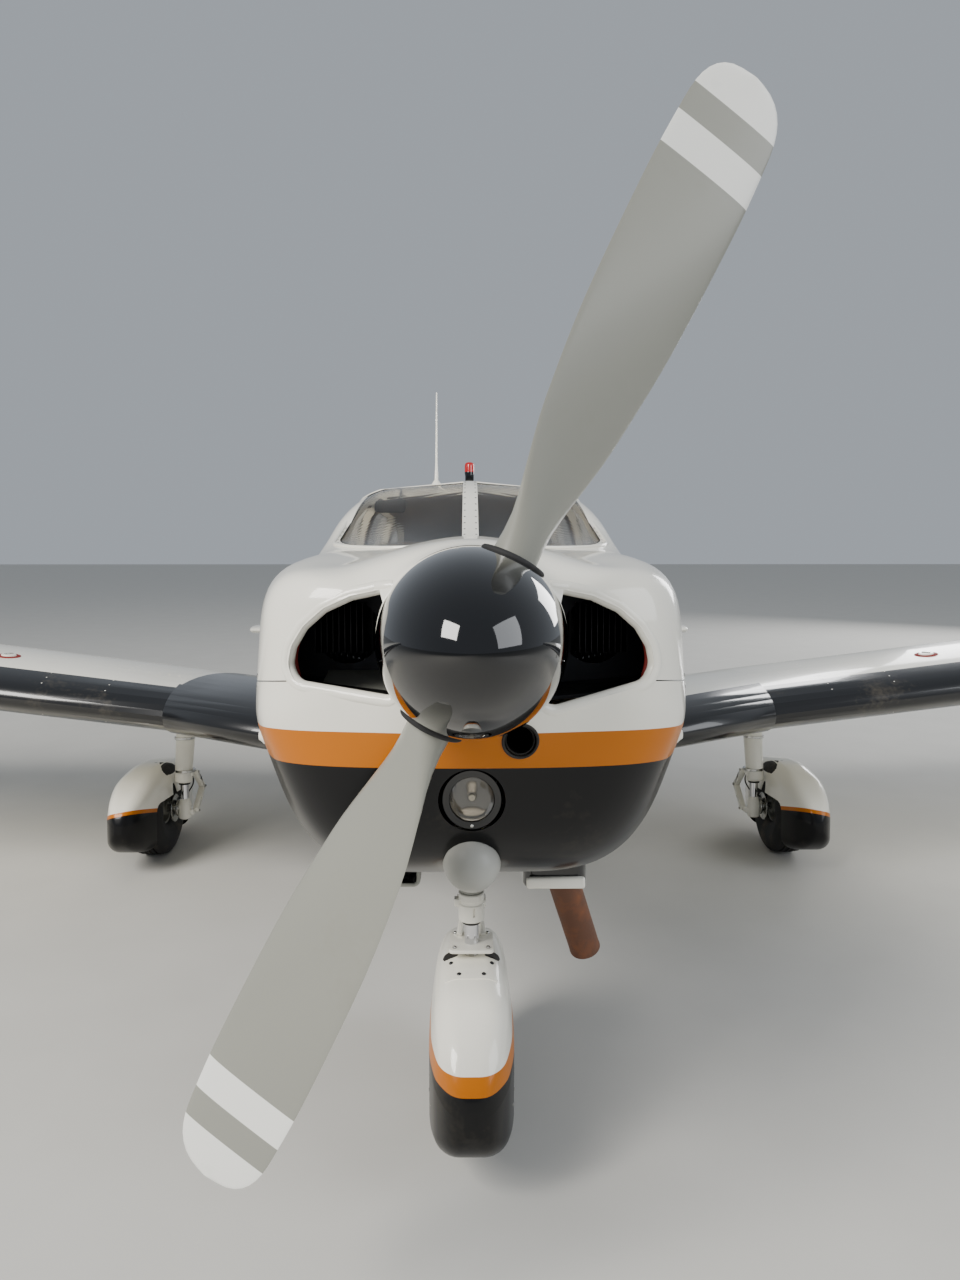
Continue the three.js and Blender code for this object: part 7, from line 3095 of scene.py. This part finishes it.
    def plane_body(self) -> bpy.types.Object:
        """The whole tailplane as one smooth body."""
        sections = [
            (self.tip, 0.55, 0.30), (self.tip - 0.004, 0.72, 0.55), (self.tip - 0.012, 0.85, 0.75),
            (self.tip - 0.028, 0.95, 0.92), (self.tip - 0.05, 1.0, 1.0),
        ]
        half = sections + [(x, 1.0, 1.0) for x in (1.4, 0.8, 0.25)]
        rings = []
        for x, size, fat in half + [(-x, size, fat) for x, size, fat in reversed(half)]:
            leading = self.front + self.chord * (1 - size) * 0.6
            rings.append([
                Vector((x, leading + u * self.chord * size, self.tail_z + v * self.chord))
                for u, v in aerofoil(0.1 * fat, 0.0)
            ])
        return loft("tailplane_body", rings)

    def tab_space(self, grow: float) -> bpy.types.Object:
        """What the servo tab fills."""
        y = self.front + self.chord * self.tab_fraction
        flat = nosed_outline(self.tab_nose + grow)
        ends = (-(self.tab_tip + grow), self.tab_tip + grow)
        return loft("tab_space", [[Vector((x, y + aft, self.tail_z + up)) for aft, up in flat] for x in ends])

    def tailplane(self) -> None:
        """The all-moving tailplane with its full-span tab."""
        whole = self.plane_body()
        smooth = SmoothSkin(whole)
        tab = cut(copied(whole, "servo_tab_skin"), self.tab_space(0), Cut.KEEP)
        cut(whole, self.tab_space(self.nose_gap))
        cut(whole, box("notch", (-0.162, 6.25, 0.7), (0.162, 6.656, 1.2)))
        smooth.shade(whole)
        smooth.shade(tab)
        spar = paint(
            rod("spar", (-0.30, 6.560, self.tail_z), (0.30, 6.560, self.tail_z), 0.0275), self.paints.steel
        )
        settle(paint(whole, self.paints.white), Body.TAILPLANE, ["stabilator"], smooth=None)
        settle(spar, Body.TAILPLANE)
        settle(paint(tab, self.paints.white), Body.TAB, ["anti_servo_tab"], smooth=None)
        rivets = []
        for side in (-1, 1):
            for k in range(44):
                for y in (6.47, 6.72):
                    for up in (-1, 1):
                        rivets.append(cast(
                            smooth, (side * (0.22 + 0.038 * k), y, self.tail_z + up), (0, 0, -up)
                        ))
        settle(
            paint(studs("tailplane_rivets", rivets, 0.003, 0.0007, 6), self.paints.white), Body.TAILPLANE,
        )

    def build(self, hull: SmoothSkin) -> None:
        """Builds and settles the tail."""
        self.fin_and_rudder(hull)
        self.tailplane()


@dataclass(frozen=True)
class DoorHardware:
    """Where a door's hinge and handle are."""

    body: Body
    name: str
    hinge: Point
    low: float
    handle: Point


DOOR_HARDWARE = (
    DoorHardware(Body.DOOR, "door", (-0.568, 1.964), 1.230, (2.700, 1.120)),
    DoorHardware(Body.BAGGAGE, "baggage", (-0.552, 3.742), 1.170, (4.230, 1.080)),
)
KNUCKLE_RADIUS = 0.0078
KNUCKLE_HEIGHT = 0.036
KNUCKLE_PITCH = 0.0363


@dataclass
class Details:
    """Antenna, beacon, probe, step, tie-downs, hinges, handles, caps, lights and rivets."""

    paints: Paints
    smooth: SmoothSkin
    wings: Wings
    beacon_y: float = 7.0
    tip_light_x: float = 5.345

    def antenna(self) -> None:
        """The whip antenna and its base."""
        foot, top = Vector((-0.160, 2.800, 1.745)), Vector((-0.160, 2.870, 2.228))
        whip = tube(
            "whip", foot, top,
            [(0, 0), (0.009, 0), (0.0085, 0.15), (0.0055, 0.3), (0.003, 0.99), (0.002, 1), (0, 1)], 20,
        )
        base = tube(
            "base", (-0.160, 2.800, 1.740), (-0.160, 2.802, 1.800),
            [(0, 0), (0.0258, 0), (0.0258, 0.55), (0.021, 0.75), (0.011, 1), (0, 1)], 32,
        )
        settle(
            joined("whip_antenna", [paint(whip, self.paints.white), paint(base, self.paints.white)]),
            Body.AIRFRAME, ["antenna"],
        )

    def beacon(self) -> None:
        """The beacon on the fin, with its black base and red lens."""
        stem = tube(
            "stem", (0, self.beacon_y, 2.205), (0, self.beacon_y, 2.300),
            [(0, 0), (0.030, 0), (0.036, 0.5), (0.037, 0.9), (0.040, 1), (0, 1)], 40,
        )
        collar = tube(
            "collar", (0, self.beacon_y, 2.298), (0, self.beacon_y, 2.392),
            [(0, 0), (0.038, 0), (0.041, 0.1), (0.042, 0.6), (0.047, 0.9), (0.046, 1), (0, 1)], 40,
        )
        dome = [(0, 0), (0.0465, 0)] + [
            (0.0465 * math.cos(math.pi / 2 * k / 9) ** 0.5, 0.62 + 0.38 * math.sin(math.pi / 2 * k / 9))
            for k in range(9)
        ] + [(0, 1)]
        lens = tube("lens", (0, self.beacon_y, 2.391), (0, self.beacon_y, 2.484), dome, 40)
        lens_paint = Plastic("beacon lens", colour(196, 18, 16), 0.12, 200.0, 0.00002, 0.05, 1.0).material()
        pieces = [paint(stem, self.paints.white), paint(collar, self.paints.black), paint(lens, lens_paint)]
        settle(joined("beacon_lamp", pieces), Body.AIRFRAME, ["beacon"], smooth=45)

    def probe(self) -> None:
        """The air-data probe under the left wing."""
        mast = slab(
            "mast", rounded([(2.422, 0.690), (2.508, 0.690), (2.508, 0.885), (2.445, 0.885)], 0.010), "X",
            2.542, 2.554,
        )
        probe = tube(
            "probe", (2.548, 2.508, 0.684), (2.548, 2.371, 0.684),
            [
                (0, 0), (0.009, 0), (0.0135, 0.15), (0.0135, 0.85), (0.010, 1), (0.005, 1), (0.005, 0.9),
                (0, 0.9),
            ],
            28,
        )
        settle(
            joined(
                "air_data_probe",
                [paint(bevelled(mast, 0.004, 2), self.paints.grey), paint(probe, self.paints.grey)],
            ),
            Body.AIRFRAME, ["pitot_mast"],
        )

    def entry_step(self) -> None:
        """The step behind the right wing."""
        arm = rod("arm", (-0.430, 3.860, 0.640), (-0.560, 3.900, 0.440), 0.0118)
        tread = box("tread", (-0.658, 3.862, 0.4255), (-0.522, 3.958, 0.4385), 0.005)
        grit = box("grit", (-0.650, 3.870, 0.4375), (-0.530, 3.950, 0.4408), 0.001)
        settle(
            joined(
                "entry_step",
                [
                    paint(arm, self.paints.grey), paint(tread, self.paints.grey),
                    paint(grit, self.paints.walkway),
                ],
            ),
            Body.AIRFRAME, ["boarding_step"],
        )

    def tail_skid(self) -> None:
        """The tie-down plate under the tail."""
        skid = slab(
            "skid", rounded([(6.322, 0.7225), (6.428, 0.7225), (6.418, 0.90), (6.332, 0.90)], 0.006), "X",
            -0.0088, 0.0088,
        )
        cut(skid, rod("eye", (-0.1, 6.375, 0.765), (0.1, 6.375, 0.765), 0.016))
        shoe = box("shoe", (-0.0158, 6.322, 0.7222), (0.0158, 6.428, 0.7335), 0.003)
        settle(
            joined(
                "tail_skid",
                [paint(bevelled(skid, 0.002, 2), self.paints.grey), paint(shoe, self.paints.steel)],
            ),
            Body.AIRFRAME, ["tail_tie_down"],
        )

    def wing_pieces(self) -> None:
        """Fuel caps, tie-downs, access panels, tip lights and rivets of both wings."""
        body = self.wings.solid()
        skin = SmoothSkin(body)
        bpy.data.objects.remove(body)
        down, up = Vector((0, 0, -1)), Vector((0, 0, 1))
        places = []
        for x in (1.45, 1.70, 2.20, 2.715, 3.20, 3.75, 4.30, 4.85):
            _, leading, trailing, _ = row_at(WING_SECTIONS, x)
            places += [(x, leading + 0.06 + (trailing - leading - 0.36) * k / 29) for k in range(30)]
        for k in range(95):
            x = 1.24 + 0.042 * k
            _, leading, trailing, _ = row_at(WING_SECTIONS, x)
            places += [(x, leading + (trailing - leading) * fraction) for fraction in (0.20, 0.45, 0.70)]
        sides = ((3, down), (-1, up))
        rivets = [cast(skin, (x, y, start), ray) for x, y in places for start, ray in sides]
        heads = paint(studs("rivets", rivets, 0.003, 0.0007, 5), self.paints.white)
        hit, normal = cast(skin, (1.95, 2.30, 3), down)
        tilt = normal.to_track_quat("Z", "Y").to_matrix().to_4x4()
        ring = lathe(
            "ring",
            [
                (0.030, -0.002), (0.046, -0.002), (0.046, 0.002), (0.044, 0.003), (0.030, 0.003),
                (0.030, -0.002),
            ],
            "Z", 48,
        )
        cap = lathe(
            "cap",
            [(0, -0.002), (0.0295, -0.002), (0.0295, 0.005), (0.027, 0.008), (0.006, 0.009), (0, 0.009)],
            "Z", 48,
        )
        lever = box("lever", (-0.018, -0.004, 0.0085), (0.018, 0.004, 0.0125), 0.0015)
        caps = [paint(ring, self.paints.seal), paint(cap, self.paints.white), paint(lever, self.paints.steel)]
        for piece in caps:
            piece.data.transform(Matrix.Translation(hit) @ tilt)
        lug = slab(
            "lug", rounded([(2.731, 0.801), (2.789, 0.801), (2.789, 0.940), (2.731, 0.940)], 0.004), "X",
            2.842, 2.858,
        )
        cut(lug, rod("eye", (2.8, 2.760, 0.835), (2.9, 2.760, 0.835), 0.014))
        door = patch("door", skin, ((1.70, 2.55, -1), (0.09, 0, 0), (0, 0.07, 0)), up, 0.0012)
        rest = [
            heads, *caps, paint(bevelled(lug, 0.002, 2), self.paints.grey), paint(door, self.paints.white)
        ]
        whole = joined("wing_fittings_left", rest)
        other = copied(whole, "wing_fittings_right", MIRROR)
        for piece in (whole, other):
            settle(piece, Body.AIRFRAME)
        green = Glass("green lens", colour(20, 160, 60), 0.08).material()
        for word, side in SIDES:
            place = self.wings.point(self.tip_light_x, 0.03)
            light = lathe(
                f"tip_light_{word}",
                [(0, -0.06), (0.018, -0.05), (0.028, -0.02), (0.030, 0.02), (0.024, 0.06), (0, 0.075)], "Y",
                28,
            )
            light.data.transform(Matrix.Translation((
                side * self.tip_light_x, place.y + 0.02, place.z + 0.004
            )) @ Matrix.Scale(0.7, 4, (0, 0, 1)))
            paint(light, self.paints.red_glass if side > 0 else green)
            settle(light, Body.AIRFRAME, smooth=60)

    def knuckle(self, door: DoorHardware, up: float) -> bpy.types.Object:
        """One knuckle of a door's hinge, at a height above its middle one."""
        z = door.low + up
        ends = (*door.hinge, z), (*door.hinge, z + KNUCKLE_HEIGHT)
        return paint(rod("knuckle", *ends, KNUCKLE_RADIUS, 0.001, 20), self.paints.steel)

    def hull_pieces(self) -> None:
        """Door hinges and handles, a vent plate and the hull's rivet rows."""
        rivets = []
        for y in (1.18, 1.36, 4.40, 4.60, 4.95, 5.30, 5.65, 6.00, 6.35):
            for side in (-1, 1):
                for k in range(22):
                    z = 0.62 + 0.034 * k if y < 4.5 else 0.78 + 0.030 * k
                    hit, normal, _, _ = self.smooth.tree.ray_cast(
                        Vector((side * 2, y, z)), Vector((-side, 0, 0))
                    )
                    if hit is not None and abs(normal.x) > 0.3:
                        rivets.append((hit, normal))
        for side in (-1, 1):
            for k in range(40):
                y = 4.55 + 0.05 * k
                rivets.append(cast(self.smooth, (side * 2, y, 1.08 - 0.03 * (y - 4.5)), (-side, 0, 0)))
        pieces = [paint(studs("rivets", rivets, 0.0034, 0.0008, 6), self.paints.white)]
        for door in DOOR_HARDWARE:
            pieces += [self.knuckle(door, k * KNUCKLE_PITCH) for k in (-1, 1)]
        vent = patch("vent", self.smooth, ((2, 1.25, 1.24), (0, 0.05, 0), (0, 0, 0.02)), (-1, 0, 0), 0.002)
        pieces.append(paint(vent, self.paints.grey))
        settle(joined("hull_fittings", pieces), Body.AIRFRAME)
        for door in DOOR_HARDWARE:
            parts = [self.knuckle(door, 0.0)]
            y, z = door.handle
            plate = patch("plate", self.smooth, ((-2, y, z), (0, 0.045, 0), (0, 0, 0.022)), (1, 0, 0), 0.003)
            parts.append(paint(plate, self.paints.steel))
            hit, normal = cast(self.smooth, (-2, y, z), (1, 0, 0))
            out = hit + normal * 0.008
            parts.append(paint(
                rod("grip", out + Vector((0, -0.04, 0)), out + Vector((0, 0.04, 0)), 0.0055),
                self.paints.chrome,
            ))
            parts += [
                paint(
                    rod(
                        "post", hit + Vector((0, s * 0.034, 0)), out + Vector((0, s * 0.034, 0)), 0.004,
                        0.001, 12,
                    ),
                    self.paints.chrome,
                )
                for s in (-1, 1)
            ]
            settle(joined(f"{door.name}_handle", parts), door.body)

    def build(self) -> None:
        """Builds and settles the details."""
        self.antenna()
        self.beacon()
        self.probe()
        self.entry_step()
        self.tail_skid()
        self.wing_pieces()
        self.hull_pieces()


# Stage


CAMERA_AHEAD = 1.46
CAMERA_OFF = -0.0045
CAMERA_HEIGHT = 1.50
CAMERA_PITCH = math.radians(83.8)
CAMERA_YAW = math.radians(-0.7)
FOCAL_LENGTH = 24.975
SENSOR_HEIGHT = 36
FLOOR_HALF = 60


def camera() -> None:
    """Sets the camera where the photograph was taken from."""
    data = bpy.data.cameras.new("camera")
    data.sensor_fit = "VERTICAL"
    data.sensor_height = SENSOR_HEIGHT
    data.lens = FOCAL_LENGTH
    data.clip_start = 0.05
    seen = bpy.data.objects.new("camera", data)
    seen.location = (CAMERA_OFF, HUB.y - CAMERA_AHEAD, CAMERA_HEIGHT)
    seen.rotation_euler = (CAMERA_PITCH, 0, CAMERA_YAW)
    bpy.context.scene.collection.objects.link(seen)
    bpy.context.scene.camera = seen


def studio() -> None:
    """A pale floor, a soft sky and two large lamps."""
    corners = [Vector((x * FLOOR_HALF, y * FLOOR_HALF, 0)) for x, y in ((-1, -1), (1, -1), (1, 1), (-1, 1))]
    floor = make("studio_floor", corners, [(0, 1, 2, 3)])
    coat = Coat("studio floor", Roughness=0.85)
    speckle = coat.graph.add("TexNoise", {"Vector": coat.place, "Scale": 3.0, "Detail": 6.0})
    coat.set("Base Color", coat.graph.blend(speckle.outputs[0], colour(196, 194, 188), colour(206, 204, 198)))
    paint(floor, coat.material)
    world = bpy.data.worlds.new("studio sky")
    world.use_nodes = True
    background = world.node_tree.nodes["Background"]
    background.inputs["Color"].default_value = colour(214, 222, 232)
    background.inputs["Strength"].default_value = 0.55
    bpy.context.scene.world = world
    lamps = (
        ("key", (-7.0, -9.0, 8.0), 5.0, 1900.0, (1.0, 0.97, 0.92)),
        ("fill", (8.0, -6.0, 5.0), 6.0, 450.0, (0.93, 0.96, 1.0)),
        ("rim", (9.0, 9.0, 5.0), 5.0, 600.0, (1.0, 1.0, 1.0)),
    )
    for name, place, size, power, tint in lamps:
        data = bpy.data.lights.new(name, "AREA")
        data.size = size
        data.energy = power
        data.color = tint
        lamp = bpy.data.objects.new(name, data)
        lamp.location = place
        lamp.rotation_euler = (Vector((0, -1, 0.8)) - Vector(place)).to_track_quat("-Z", "Y").to_euler()
        bpy.context.scene.collection.objects.link(lamp)


def note_sizes() -> None:
    """Updates the view layer."""
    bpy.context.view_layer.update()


def main() -> None:
    """Builds the aircraft and its stage."""
    logging.basicConfig(level=logging.INFO, format="%(message)s")
    camera()
    studio()
    paints = Paints()
    fuselage = Fuselage(paints)
    hull = fuselage.build()
    PropellerUnit(paints).build()
    wings = Wings(paints)
    wings.build()
    LandingGear(paints).build()
    WindowFrames(paints, fuselage, hull).build()
    Nose(paints, hull).build()
    Cabin(paints, hull).build()
    Tail(paints).build(hull)
    Details(paints, hull, wings).build()
    note_sizes()


if __name__ == "__main__":
    main()
